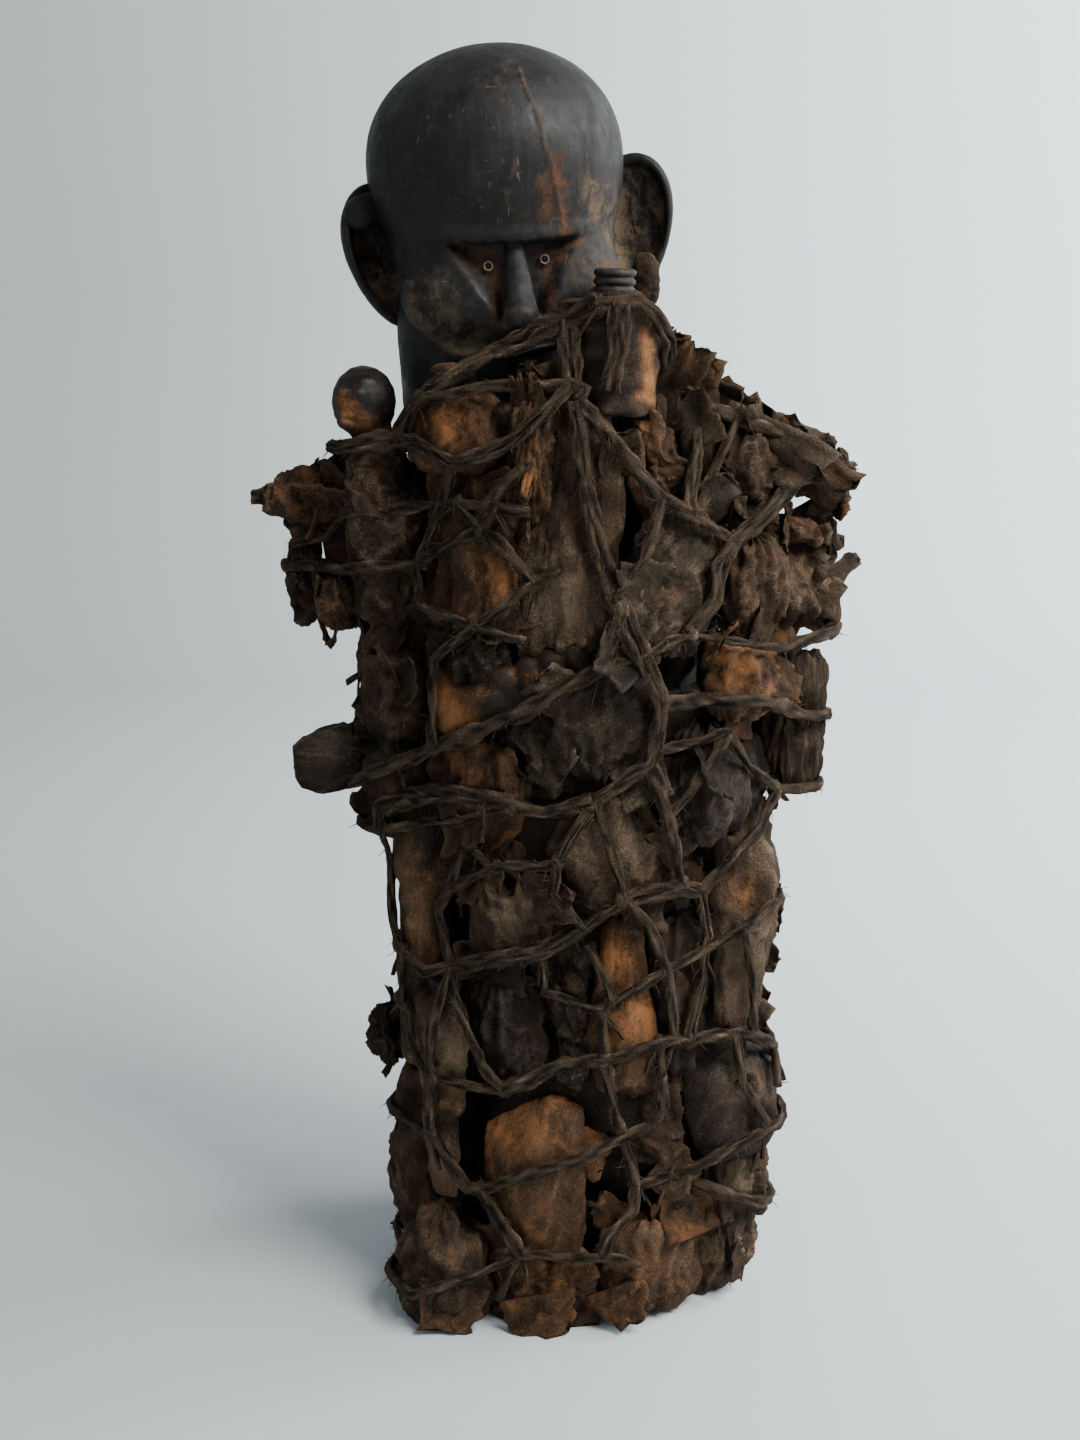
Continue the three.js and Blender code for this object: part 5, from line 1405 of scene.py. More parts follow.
def front_packets() -> list[Packet]:
    """The bundles that show from the front."""
    bag, pillow, gourd, roll, wound, slab, bark, hide = Kind
    return [
        Packet("tan_pouch", gourd, GOURD, ties=(0.84,), rust=(spot(452, 424, 36, 0.6),), tone=-0.1),
        Packet("frayed_roll", bark, RED_HIDE, lean=4, rust=(spot(530, 480, 16, 0.6),), tone=0.05),
        Packet("breast_slab", slab, LEATHER, lean=-2, tone=0.2,
               worn=(spot(565, 600, 40, 0.7), spot(560, 450, 30, 0.3))),
        Packet("collar_hide", hide, RED_HIDE, lean=-15, rust=(spot(640, 460, 26, 0.3),)),
        Packet("holed_hide", hide, LEATHER, lean=6, pits=((681, 444, 9),)),
        Packet("shell_pouch", bag, LEATHER, lean=18),
        Packet("roof_hide", hide, GREY_HIDE, lean=27, turn=20, tone=-0.05,
               worn=(Stroke(((755, 410), (800, 435)), 26, 0.4),)),
        Packet("right_tabs", hide, LEATHER, lean=2, turn=15, loose=False),
        Packet("rough_slab", slab, GREY_HIDE, lean=15, tone=-0.34),
        Packet("flank_shell", bag, LEATHER, lean=-8, rust=(spot(750, 620, 24, 0.3),)),
        Packet("flank_flap", hide, LEATHER, turn=30, worn=(spot(800, 575, 30, 0.35),)),
        Packet("brow_hide", hide, RED_HIDE, turn=30, lean=10),
        Packet("orange_block", pillow, GOURD, tone=-0.1,
               rust=(spot(745, 645, 36, 0.6), spot(772, 602, 20, 0.5)),
               worn=(spot(745, 660, 30, 0.4),)),
        Packet("bark_strip", bark, BARK, scale=(0.42, 1, 1), loose=False),
        Packet("dark_bag", bag, DARK_CLOTH, lean=-12, ties=(0.86,), worn=(spot(710, 800, 30, 0.5),)),
        Packet("folded_bag", bag, GREY_HIDE, tone=-0.2),
        Packet("belly_pillow", pillow, LEATHER, worn=(spot(612, 850, 45, 0.5),)),
        Packet("scallop_hide", hide, LEATHER, scale=(1.18, 1, 1), loose=False,
               rust=(spot(737, 892, 22, 0.7),), worn=(spot(745, 950, 50, 0.5),)),
        Packet("inner_right", roll, DARK_CLOTH),
        Packet("dark_gourd", gourd, DARK_CLOTH, pits=((745, 1085, 10),), worn=(spot(735, 1075, 40, 0.5),)),
        Packet("ribbed_bark", bark, BARK, worn=(spot(740, 1170, 30, 0.5),)),
        Packet("foot_flap", hide, LEATHER, lean=-6, worn=(spot(722, 1240, 40, 0.4),)),
        Packet("low_hide", hide, LEATHER),
        Packet("pointed_hide", hide, RED_HIDE, turn=-10, lean=-8),
        Packet("left_strips", hide, BARK, turn=-10, loose=False),
        Packet("left_block", slab, RED_HIDE, worn=(spot(341, 595, 30, 0.4),)),
        Packet("hairy_bundle", bark, BARK),
        Packet("coiled_roll", wound, LEATHER, lean=5, ties=(0.5,), tone=-0.1),
        Packet("horn_stub", gourd, DARK_CLOTH, lean=82, turn=8, scale=(1.22, 1.1, 0.94),
               worn=(spot(330, 750, 22, 0.6),)),
        Packet("belly_block", slab, RED_HIDE, rust=(spot(482, 590, 34, 0.22),), tone=-0.1),
        Packet("dark_bundle", bag, DARK_CLOTH, ties=(0.8,)),
        Packet("jaw_hide", hide, GREY_HIDE, lean=-8, tone=-0.2),
        Packet("orange_pouch", bag, RED_HIDE, rust=(spot(480, 792, 34, 0.4),), tone=0.05),
        Packet("clay_pouch", bag, LEATHER, lean=-8, ties=(0.8,), pits=((505, 885, 11),), tone=0.1,
               worn=(spot(510, 915, 34, 0.5),)),
        Packet("long_gourd", gourd, GOURD, tone=0.15, scale=(1.12, 1, 1),
               rust=(spot(618, 955, 26, 0.8), spot(626, 1020, 30, 0.9)), worn=(spot(622, 1030, 24, 0.3),)),
        Packet("pale_strip", hide, GREY_HIDE, tone=-0.15),
        Packet("black_shell", bag, DARK_CLOTH),
        Packet("flat_packet", slab, DARK_CLOTH, tone=0.2),
        Packet("wrapped_horn", wound, LEATHER, lean=2, ties=(0.78, 0.3), rust=(spot(455, 1110, 20, 0.4),),
               worn=(spot(452, 1050, 34, 0.5), spot(440, 1160, 40, 0.4)), tone=0.5, loose=False),
        Packet("left_lump", bag, DARK_CLOTH),
        Packet("left_fringe", hide, BARK, loose=False),
        Packet("tan_gourd", gourd, GOURD, tone=-0.05, rust=(spot(520, 1130, 40, 0.7),),
               worn=(spot(555, 1165, 40, 0.3),)),
        Packet("foot_bag", bag, LEATHER, ties=(0.8,), scale=(0.94, 1.06, 1.14), loose=False,
               worn=(spot(445, 1260, 36, 0.3),)),
        Packet("toe_bundle", slab, RED_HIDE, tone=0.1, scale=(1.05, 1.07, 1.2),
               rust=(spot(560, 1280, 40, 0.3),)),
        Packet("cut_roll", roll, RED_HIDE, lean=8, tone=0.15, scale=(1, 1, 0.82),
               worn=(spot(655, 1245, 36, 0.6),), rust=(spot(660, 1262, 26, 0.3),)),
    ]


def back_packets() -> list[Packet]:
    """The plainer bundles round the sides and back."""
    kinds = (Kind.BAG, Kind.PILLOW, Kind.SLAB, Kind.BARK, Kind.BAG, Kind.BAG, Kind.SLAB, Kind.PILLOW)
    finishes = (BARK, BARK, LEATHER, LEATHER, BARK, BARK, LEATHER, LEATHER)
    return [
        Packet(f"back_packet_{index + 1}", kind, finish, lean=4.5 * (1 if index // 2 % 2 else -1), turn=turn,
               ties=(0.84,) if kind is Kind.BAG else ())
        for index, (kind, finish, turn) in enumerate(zip(kinds, finishes, BACK_TURNS))
    ]


@dataclass
class PacketMaker:
    """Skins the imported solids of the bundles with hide, bark and gourd."""

    around: int = 88
    down: int = 46
    back_around: int = 60
    back_down: int = 36

    def build(self, packet: Packet, seed: int) -> bpy.types.Object:
        """The packet's skin, stretched on its solid.

        The solid's middle sees every side, so a reach in each direction describes it. Directions lie on an
        egg with the solid's own half sizes, and the reach over the egg's reach is smoothed. Then the skin's
        folds are raised on it.

        Args:
            packet: the bundle.
            seed: picks its folds.

        Returns:
            The piece.
        """
        solid = CadSolid(packet.node)
        centre = solid.centre()
        heading = math.degrees(float(heading_of(centre))) if packet.turn is None else packet.turn
        axes = (turned(heading, "Z") @ turned(packet.lean, "Y")).T
        flat = packet.kind is Kind.HIDE
        egg = self.egg(solid, centre, axes)
        ways = self.ways(egg, flat, packet.node.startswith("back"))
        plain = np.linalg.norm(ways, axis=-1)
        reach = solid.reach(centre, unit(ways).reshape(-1, 3) @ axes).reshape(plain.shape)
        share = self.filled(reach / plain)
        for _ in range(SKINS[packet.kind].soften):
            share = self.smoothed(share)
        low = centre[2] < 2.2 * egg[2]
        share = share * (np.linalg.norm(ways * rows(*packet.scale), axis=-1) / plain)
        pressed = self.faceted(ways * share[..., None], SKINS[packet.kind].facets, seed, low)
        shape = closed_grid(pressed @ axes + centre)
        local = (shape.points - centre) @ axes.T
        self.folded(shape, local, egg, axes, packet, seed)
        torn = self.tongues(shape, centre, egg, packet, seed) if packet.loose else []
        return object_from(f"{packet.node}_skin", held_in(together([shape, *torn])), packet.finish.material())

    def faceted(self, grid: Array, count: int, seed: int, low: bool) -> Array:
        """The form pressed flat by planes at uneven places, as stiff hide folds into flats with sharp edges.

        Args:
            grid: places about the packet's middle.
            count: how many planes press on it.
            seed: picks the planes.
            low: whether it stands near the ground, so that its foot stays full.

        Returns:
            The pressed places.
        """
        source = np.random.default_rng(seed + 500)
        for _ in range(count):
            way = unit(source.normal(size=3) * rows(1.0, 1.5, 0.8))
            way = way * rows(1, 1, np.sign(way[2]) if low else 1)
            reach = grid @ way
            limit = reach.max() * source.uniform(0.72, 0.93)
            grid = grid - 0.85 * np.maximum(reach - limit, 0.0)[..., None] * way
        return grid

    def tongues(self, shape: Shape, centre: Array, egg: Array, packet: Packet, seed: int) -> list[Shape]:
        """Torn flaps and strips that stand off the packet's rim, spreading away from its middle.

        Args:
            shape: the packet's skin.
            centre: its middle.
            egg: its half sizes.
            packet: the bundle.
            seed: picks where they are.

        Returns:
            The flaps and strips.
        """
        skin = SKINS[packet.kind]
        source = np.random.default_rng(seed + 900)
        out = outward(heading_of(shape.points))
        facing = (shape.normals() * out).sum(axis=1)
        rim = np.flatnonzero((facing > 0.3) & (facing < 0.85) & (shape.points[:, 2] > 16.0))
        shapes = []
        size = float(np.cbrt(egg.prod()))
        for index in range(skin.flaps + skin.strips if len(rim) else 0):
            place = int(source.choice(rim))
            root, up = shape.points[place], out[place]
            way = root - centre
            way = unit(way - (way @ up) * up + 0.35 * size * source.normal(size=3) * rows(1, 0, 1))
            if index < skin.flaps:
                length, width = size * source.uniform(0.45, 0.8), size * source.uniform(0.7, 1.3)
                root, length = root - 0.3 * length * way, length * 1.3
            else:
                way = unit(way * rows(0.3, 0.3, 1.0))
                length, width = size * source.uniform(0.8, 1.5), source.uniform(3.0, 9.0)
                root = root - 0.5 * length * way
            tongue = torn_tongue(root, up, way, length, width, seed + index).grounded()
            rust = 0.8 * painted(tongue.points, tongue.normals(), packet.rust)
            tone = packet.tone - 0.1 + 0.15 * math.sin(5.1 * seed)
            shapes.append(tongue.tinted(tone=tone, rust=rust))
        return shapes

    def egg(self, solid: CadSolid, centre: Array, axes: Array) -> Array:
        """Half the solid's size along each of its own axes."""
        local = (solid.faces.reshape(-1, 3) - centre) @ axes.T
        return np.abs(local).max(axis=0)

    def ways(self, egg: Array, flat: bool, back: bool) -> Array:
        """Directions on an egg in rings, about its height, or about its depth where the packet is flat.

        Args:
            egg: half sizes.
            flat: whether the rings run about the depth.
            back: whether fewer directions do.

        Returns:
            The directions, as long as the egg's own reach.
        """
        rings = ball(self.back_down, self.back_around) if back else ball(self.down, self.around)
        return (rings[..., [0, 2, 1]] if flat else rings) * egg

    def filled(self, share: Array) -> Array:
        """The grid with its unknown places filled by the mean of their neighbours, again and again."""
        for _ in range(40):
            unknown = np.isnan(share)
            if not unknown.any():
                break
            near = np.stack([np.roll(share, step, axis) for step in (-1, 1) for axis in (0, 1)])
            known = ~np.isnan(near)
            mean = np.where(known, near, 0.0).sum(axis=0) / np.maximum(known.sum(axis=0), 1)
            share = np.where(unknown & known.any(axis=0), mean, share)
        return np.nan_to_num(share, nan=0.5)

    def smoothed(self, share: Array) -> Array:
        """Each place with its neighbours, round the rings and down them."""
        round_about = 0.25 * np.roll(share, 1, 1) + 0.5 * share + 0.25 * np.roll(share, -1, 1)
        return eased(np.pad(round_about, ((1, 1), (0, 0)), mode="edge"))

    def folded(self, shape: Shape, local: Array, egg: Array, axes: Array, packet: Packet, seed: int) -> None:
        """Raises the folds, pleats, windings, ties, fibres and crust, and paints relief, rust and worn.

        Crumples are broad noise bent by other noise. Creases are its sharp crests. Gathers are waves round
        the upright axis, deeper near the ends; windings are slanting waves up it; a tie is a narrow waist.
        Fibres are sharp crests drawn out upwards.

        Args:
            shape: the stretched skin.
            local: its points in the packet's own axes.
            egg: half sizes.
            axes: the packet's own axes, as rows.
            packet: the bundle.
            seed: picks the folds.
        """
        skin = SKINS[packet.kind]
        size = float(np.cbrt(egg.prod()))
        bent = local + 0.35 * size * np.stack([noise(local, 0.9 * size, seed + k) for k in range(3)], axis=-1)
        crumple = layered(bent, 0.8 * size, seed + 4, 2)
        crease = creased(bent * rows(1.0, 1.0, 0.55), 0.62 * size, seed + 5)
        wrinkle = creased(bent * rows(1.0, 1.0, 0.7), 0.3 * size, seed + 6)
        crust = layered(local, 4.0, seed + 7, 2)
        high = np.clip(local[:, 2] / egg[2], -1.0, 1.0)
        about = np.arctan2(local[:, 1] / egg[1], local[:, 0] / egg[0])
        pleat = np.cos(skin.gathers * about + 2.2 * noise(local, size, seed + 8))
        pleat = pleat * (0.35 + 0.65 * high * high)
        wind = np.abs(np.sin(0.5 * np.pi * skin.windings * high + about + 0.8 * noise(local, size, seed + 9)))
        fibre = creased(local * rows(1.0, 1.0, 0.14), 4.4, seed + 10)
        shelf = layered(bent, 0.7 * size, seed + 12, 2) / 0.3
        step = np.floor(shelf) + rise(shelf - np.floor(shelf), 0.0, 0.14) - shelf
        height = (
            skin.crumple * crumple
            + skin.crease * (0.85 * crease + 0.2 * wrinkle)
            + skin.layer * 1.6 * (step - 0.4)
            + 0.45 * skin.crust * crust
            + skin.gather_depth * pleat * (skin.gathers > 0)
            + skin.wind_depth * (wind - 0.6) * (skin.windings > 0)
            + skin.fibre * 0.6 * fibre
        )
        for tie in packet.ties:
            height = height - 5.0 * np.exp(-(((high + 1.0) / 2.0 - tie) / 0.05) ** 2)
        if packet.kind is Kind.HIDE:
            height = self.torn(shape, local, egg, axes, height, seed)
        seen = VIEW.seen(shape.points)
        pit = np.zeros(len(shape.points))
        front = rise(-shape.normals()[:, 1], 0.0, 0.3)
        for across, down, radius in packet.pits:
            away = np.hypot(seen[:, 0] - across, seen[:, 1] - down) / radius
            pit = np.maximum(pit, rise(1.15 - away, 0.0, 0.3) * front)
            height = height + 2.2 * np.exp(-(((away - 1.25) / 0.3) ** 2)) * front
        height = height - 12.0 * pit
        shape.pushed(height * rise(shape.points[:, 2], 0.5, 5.0)).grounded(0.4)
        span = skin.crumple + skin.crease + skin.gather_depth + 0.5 * skin.wind_depth + skin.fibre
        # Relief sets the finish's painted shade: low in the folds' hollows and lowest in the pits, painted
        # dark as shade inside the holes
        relief = 0.5 + 0.42 * height / max(span, 1.0) + 0.12 * wrinkle - 0.9 * pit
        normals = shape.normals()
        shape.tinted(
            relief=np.clip(relief, 0.0, 1.3),
            rust=painted(shape.points, normals, packet.rust) * (0.75 + 0.4 * crust),
            worn=painted(shape.points, normals, packet.worn) + 0.2 * rise(crease, 0.6, 0.95),
            tone=packet.tone + 0.16 * math.sin(2.3 * seed),
        )

    def torn(self, shape: Shape, local: Array, egg: Array, axes: Array, height: Array, seed: int) -> Array:
        """Draws a hide's rim in and out, thins it and curls it.

        Args:
            shape: the stretched skin, whose points are moved.
            local: its points in the packet's own axes.
            egg: half sizes.
            axes: the packet's own axes, as rows.
            height: how far the skin is to be raised.
            seed: picks the tears.

        Returns:
            The height, less where the hide is thin.
        """
        flat = local * rows(1, 0, 1)
        rim = rise(np.hypot(local[:, 0] / egg[0], local[:, 2] / egg[2]), 0.45, 1.0)
        tear = creased(flat, 17.0, seed + 20) * 0.11 + noise(flat, 34.0, seed + 21) * 0.12
        notch = -0.35 * rise(noise(flat, 26.0, seed + 22), 0.25, 0.6)
        curl = 7.0 * noise(flat, 40.0, seed + 23) + 3.0 * noise(flat, 17.0, seed + 24)
        moved = flat * (rim * (tear + notch))[:, None]
        moved[:, 1] += rim * curl - local[:, 1] * rim * 0.35
        shape.points = shape.points + moved @ axes
        return height * (1.0 - 0.6 * rim)


# Torn hides and filling between the packets


@dataclass(frozen=True)
class Scrap:
    """A torn tongue of hide that starts behind a picture point, at an angle from the picture's right."""

    seen: Seen
    depth: float
    angle: float
    length: float
    width: float
    rust: float = 0.0

    def shape(self, seed: int) -> Shape:
        """The tongue, facing the eye."""
        root = VIEW.placed(rows(*self.seen), self.depth)
        turn = math.radians(self.angle)
        way = rows(math.cos(turn), 0, math.sin(turn))
        tongue = torn_tongue(root, rows(0, -1, 0), way, self.length, self.width, seed)
        return tongue.grounded().tinted(rust=self.rust, tone=0.2 * math.sin(1.7 * seed) - 0.05)


@dataclass(frozen=True)
class Wad:
    """A dark wad of hide and fibre pushed in between packets."""

    centre: tuple[float, float, float]
    half: tuple[float, float, float]

    def shape(self, seed: int) -> Shape:
        """An egg-shaped ball, crumpled and creased."""
        shape = closed_grid(ball(20, 30) * rows(*self.half) + rows(*self.centre))
        size = float(np.cbrt(np.prod(self.half)))
        crumple, crease = layered(shape.points, size, seed, 3), creased(shape.points, 0.5 * size, seed + 2)
        shape.pushed(0.16 * size * crumple + 0.08 * size * crease).grounded()
        return shape.tinted(relief=0.4 + 0.3 * crumple + 0.2 * crease)


def scrap_groups() -> dict[str, tuple[Finish, list[Scrap]]]:
    """The torn hides by place: name, finish and scraps."""
    return {
        "shoulder_tatters": (LEATHER, [
            Scrap((672, 392), -60, 94, 36, 27, 0.15), Scrap((692, 400), -66, 70, 31, 25, 0.2),
            Scrap((716, 412), -50, 60, 23, 25), Scrap((742, 428), -40, 50, 21, 28, 0.2),
            Scrap((664, 362), -40, 84, 21, 18), Scrap((772, 446), -30, 40, 25, 28),
            Scrap((650, 424), -84, 60, 60, 34, 0.2), Scrap((706, 446), -92, 110, 40, 30),
            Scrap((800, 462), -14, 20, 26, 30), Scrap((655, 345), -50, 60, 16, 13),
            Scrap((690, 372), -40, 30, 18, 17), Scrap((730, 410), -30, 10, 15, 18),
            Scrap((706, 398), -44, -24, 48, 28, 0.1), Scrap((690, 392), -50, -8, 33, 26, 0.1),
            Scrap((745, 430), -36, -30, 80, 44, 0.1), Scrap((748, 430), -60, -90, 60, 46, 0.15),
            Scrap((668, 372), -56, 80, 27, 24, 0.2),
        ]),
        "right_tatters": (GREY_HIDE, [
            Scrap((718, 428), -62, -22, 72, 40, 0.08), Scrap((800, 472), -16, -10, 29, 35),
            Scrap((812, 500), -10, -30, 18, 22),
            Scrap((800, 505), -6, -60, 39, 35), Scrap((790, 545), -30, 10, 28, 30, 0.2),
            Scrap((796, 600), -26, -30, 24, 27), Scrap((770, 625), -40, -60, 24, 25, 0.4),
            Scrap((770, 700), -24, 10, 25, 26), Scrap((760, 740), -30, -30, 30, 27),
            Scrap((752, 806), -30, -40, 12, 14), Scrap((748, 890), -24, 0, 23, 27),
            Scrap((748, 936), -22, -8, 20, 25), Scrap((744, 990), -20, -25, 19, 26),
            Scrap((742, 1180), -30, -60, 24, 25), Scrap((746, 1110), -30, -20, 23, 29),
            Scrap((724, 1240), -40, -65, 17, 24), Scrap((752, 850), -26, -70, 34, 26),
            Scrap((752, 860), -30, -20, 15, 24), Scrap((752, 905), -26, -10, 20, 30),
            Scrap((748, 950), -26, -15, 22, 30), Scrap((744, 1010), -26, -30, 19, 28),
            Scrap((775, 800), -24, -95, 7, 6), Scrap((764, 540), -30, -20, 42, 37, 0.15),
            Scrap((770, 590), -30, -10, 46, 35, 0.1),
        ]),
        "left_tatters": (LEATHER, [
            Scrap((322, 540), -18, 10, 40, 40), Scrap((268, 496), -20, 180, 11, 13),
            Scrap((392, 655), -48, 190, 19, 26), Scrap((392, 790), -40, 215, 28, 31),
            Scrap((384, 720), -36, 180, 21, 28), Scrap((330, 760), -30, 150, 19, 24),
            Scrap((402, 1020), -24, 190, 20, 28), Scrap((398, 600), -50, 250, 35, 33),
            Scrap((300, 500), -22, 172, 23, 22), Scrap((318, 520), -22, 200, 21, 28),
            Scrap((330, 590), -20, 180, 19, 32), Scrap((404, 690), -50, 200, 35, 28),
        ]),
        "hem_tatters": (RED_HIDE, [
            Scrap((456, 1284), -122, 258, 32, 46), Scrap((536, 1296), -130, 282, 34, 52, 0.2),
            Scrap((616, 1286), -122, 290, 26, 44, 0.2), Scrap((560, 1150), -112, -12, 34, 50, 0.4),
        ]),
    }


WADS = [
    Wad((-96, 30, 560), (34, 40, 46)), Wad((-100, 34, 450), (34, 40, 50)), Wad((-98, 30, 300), (30, 44, 60)),
    Wad((-94, 20, 180), (30, 40, 60)), Wad((92, 30, 560), (34, 40, 50)), Wad((98, 34, 430), (34, 40, 56)),
    Wad((96, 30, 300), (32, 44, 60)), Wad((92, 24, 170), (32, 44, 60)), Wad((-84, -20, 88), (34, 50, 56)),
    Wad((84, -16, 88), (34, 50, 56)), Wad((60, -10, 640), (44, 44, 34)), Wad((-60, -20, 640), (40, 44, 30)),
    Wad((0, -66, 330), (70, 30, 110)), Wad((0, -66, 150), (70, 34, 90)), Wad((10, -66, 520), (70, 30, 90)),
]


KNOBS = [
    Wad(tuple(VIEW.placed(rows(644, 283), -60)), (11, 10, 20)),
    Wad(tuple(VIEW.placed(rows(506, 413), -114)), (8, 8, 8)),
    Wad(tuple(VIEW.placed(rows(573, 985), -108)), (10, 8, 12)),
]


def scraps() -> list[tuple[bpy.types.Object, str]]:
    """The torn hides and the wads, each with its slot."""
    made = []
    for start, (name, (finish, listed)) in enumerate(scrap_groups().items()):
        shape = together([scrap.shape(100 * start + seed) for seed, scrap in enumerate(listed)])
        made.append((object_from(name, shape, finish.material()), SLOTS[finish.name]))
    knobs = together([wad.shape(500 + seed) for seed, wad in enumerate(KNOBS)])
    made.append((object_from("knobs", knobs, LEATHER.material()), "leather"))
    filling = together([wad.shape(400 + seed) for seed, wad in enumerate(WADS)])
    made.append((object_from("filling", filling, DARK_CLOTH.material()), "dark_cloth"))
    return made


# The net


# The nodes that the net doesn't go round
OUTSIDE_NET = ("thong_net", "horn_stub", "eye_stud_right", "eye_stud_left")


@dataclass
class StretchedSkin:
    """How far a skin stretched over the packets stands from the body's axis, by heading and height."""

    top: float = 790.0
    around: int = 144
    up: int = 132
    bridge: int = 3
    nearest: float = -330.0
    farthest: float = 160.0
    look: float = 1.5
    reach: Array = field(default_factory=lambda: np.zeros(0))
    bare: Array = field(default_factory=lambda: np.zeros(0))

    def wrap(self, solids: list[CadSolid]) -> None:
        """Measures the solids' farthest reach on a grid, and bridges hollows narrower than the bridge.

        At each height the triangles are cut by a level plane into short lines. A ray of each heading meets a
        line from p to q at cross(p, q - p) / cross(ray, q - p). Hollows close when the grid is widened and
        then narrowed again.

        Args:
            solids: what the skin wraps.
        """
        faces = np.concatenate([solid.faces for solid in solids]) - rows(*BODY_AXIS, 0.0)
        ray = outward(circle(self.around))[:, :2]
        bare = np.zeros((self.up, self.around))
        for row, height in enumerate(np.linspace(0.5, self.top, self.up)):
            above = faces[..., 2] > height
            cut = faces[above.any(axis=1) & ~above.all(axis=1)]
            over = cut[..., 2] > height
            lone = np.where(over.sum(axis=1) == 1, over.argmax(axis=1), (~over).argmax(axis=1))
            index = np.arange(len(cut))
            tip = cut[index, lone]
            ends = [cut[index, (lone + k) % 3] for k in (1, 2)]
            p, q = (
                tip[:, :2] + (end - tip)[:, :2] * ((height - tip[:, 2]) / (end - tip)[:, 2])[:, None]
                for end in ends
            )
            way = q - p
            cross = ray[:, None, 0] * way[:, 1] - ray[:, None, 1] * way[:, 0]
            cross = np.where(np.abs(cross) < 1e-9, 1e-9, cross)
            far = (p[:, 0] * way[:, 1] - p[:, 1] * way[:, 0]) / cross
            share = (p[:, 0] * ray[:, None, 1] - p[:, 1] * ray[:, None, 0]) / cross
            met = (share >= 0) & (share <= 1) & (far > 0)
            bare[row] = np.where(met, far, 0.0).max(axis=1, initial=0.0)
        self.bare = self.swept(self.swept(bare, 1, np.maximum), 1, np.minimum)
        wide = self.swept(bare, self.bridge + 1, np.maximum)
        self.reach = self.swept(wide, self.bridge, np.minimum)

    def swept(self, grid: Array, window: int, pick: np.ufunc) -> Array:
        """The widest or narrowest reach in the square window round each place."""
        best = grid
        for step in range(-window, window + 1):
            best = pick(best, np.roll(grid, step, axis=1))
        padded = np.pad(best, ((window, window), (0, 0)), mode="edge")
        return pick.reduce([padded[k : k + len(grid)] for k in range(2 * window + 1)])

    def at(self, heading: Array, height: Array, bare: bool = False) -> Array:
        """The reach of the skin, or of what it wraps, read between the grid's places in straight lines."""
        grid = self.bare if bare else self.reach
        across = (heading / (2.0 * np.pi)) % 1.0 * self.around
        up = np.clip(height / self.top * (self.up - 1), 0.0, self.up - 1.001)
        i, j = across.astype(int) % self.around, up.astype(int)
        right = (i + 1) % self.around
        s, t = across % 1.0, up % 1.0
        low = grid[j, i] * (1 - s) + grid[j, right] * s
        high = grid[j + 1, i] * (1 - s) + grid[j + 1, right] * s
        return low * (1 - t) + high * t

    def laid(self, heading: Array, height: Array, lift: float) -> Array:
        """Places on the skin, lifted off it."""
        flat = outward(heading) * (self.at(heading, height) + lift)[..., None]
        return flat + stacked(*BODY_AXIS, height)

    def behind(self, seen: Array, lift: float) -> Array:
        """The first places on the lifted skin in the sight of picture points, or the nearest to it."""
        depth = np.arange(self.nearest, self.farthest, self.look)
        points = VIEW.placed(seen[:, None, :], depth[None, :])
        flat = np.linalg.norm(points[..., :2] - BODY_AXIS, axis=-1)
        miss = flat - self.at(heading_of(points), points[..., 2]) - lift
        first = np.where((miss <= 0).any(axis=1), (miss <= 0).argmax(axis=1), miss.argmin(axis=1))
        found = points[np.arange(len(seen)), first]
        return self.laid(heading_of(found), found[:, 2], lift)


@dataclass(frozen=True)
class Route:
    """A thong's way across the front, as picture points, with its width and how many lie side by side."""

    points: tuple[Seen, ...]
    width: float = 1.0
    plies: int = 1


def route(*points: Seen, width: float = 1.0, plies: int = 1) -> Route:
    """A route from its points."""
    return Route(points, width, plies)


NECK_ROUTES = [
    route((345, 447), (395, 440), (417, 401), (444, 381), (493, 352), (526, 340), (600, 305), (640, 303),
          (654, 313), width=1.3, plies=2),
    route((417, 401), (485, 387), (573, 385)),
    route((540, 329), (567, 307), (618, 305), width=1.1),
    route((654, 313), (671, 342), (695, 391), (736, 419), (781, 433), (803, 472), (844, 470)),
    route((626, 305), (618, 352), (609, 391), width=1.3, plies=2),
    route((575, 305), (573, 385), (599, 423), (628, 460), (662, 499), (695, 517), width=1.25),
]
BREAST_ROUTES = [
    route((395, 440), (415, 440), (452, 464), (485, 456), (513, 440), (573, 385), width=0.9),
    route((345, 513), (362, 513), (444, 503), (530, 511), width=0.85),
    route((452, 464), (444, 503)),
    route((524, 466), (503, 487), (479, 528), (464, 536), (417, 564), (373, 568), width=1.1),
    route((458, 503), (479, 528), (499, 542), (534, 583), (560, 568)),
    route((534, 585), (505, 605), (475, 626), (434, 658), width=0.85),
    route((436, 505), (417, 564), (420, 605), (471, 624), (526, 642), width=0.85),
    route((291, 546), (328, 536), (345, 513), width=0.6),
    route((736, 421), (709, 480), (695, 517), (689, 501), (697, 452), (697, 403)),
    route((803, 474), (764, 515), (734, 541), (720, 566), (715, 600), (690, 635), width=1.35),
    route((695, 517), (734, 541), width=0.8),
    route((585, 390), (585, 484), (601, 560), (613, 601), (601, 668), width=1.35, plies=2),
    route((575, 400), (590, 480), (615, 603), (642, 560), (662, 499)),
]
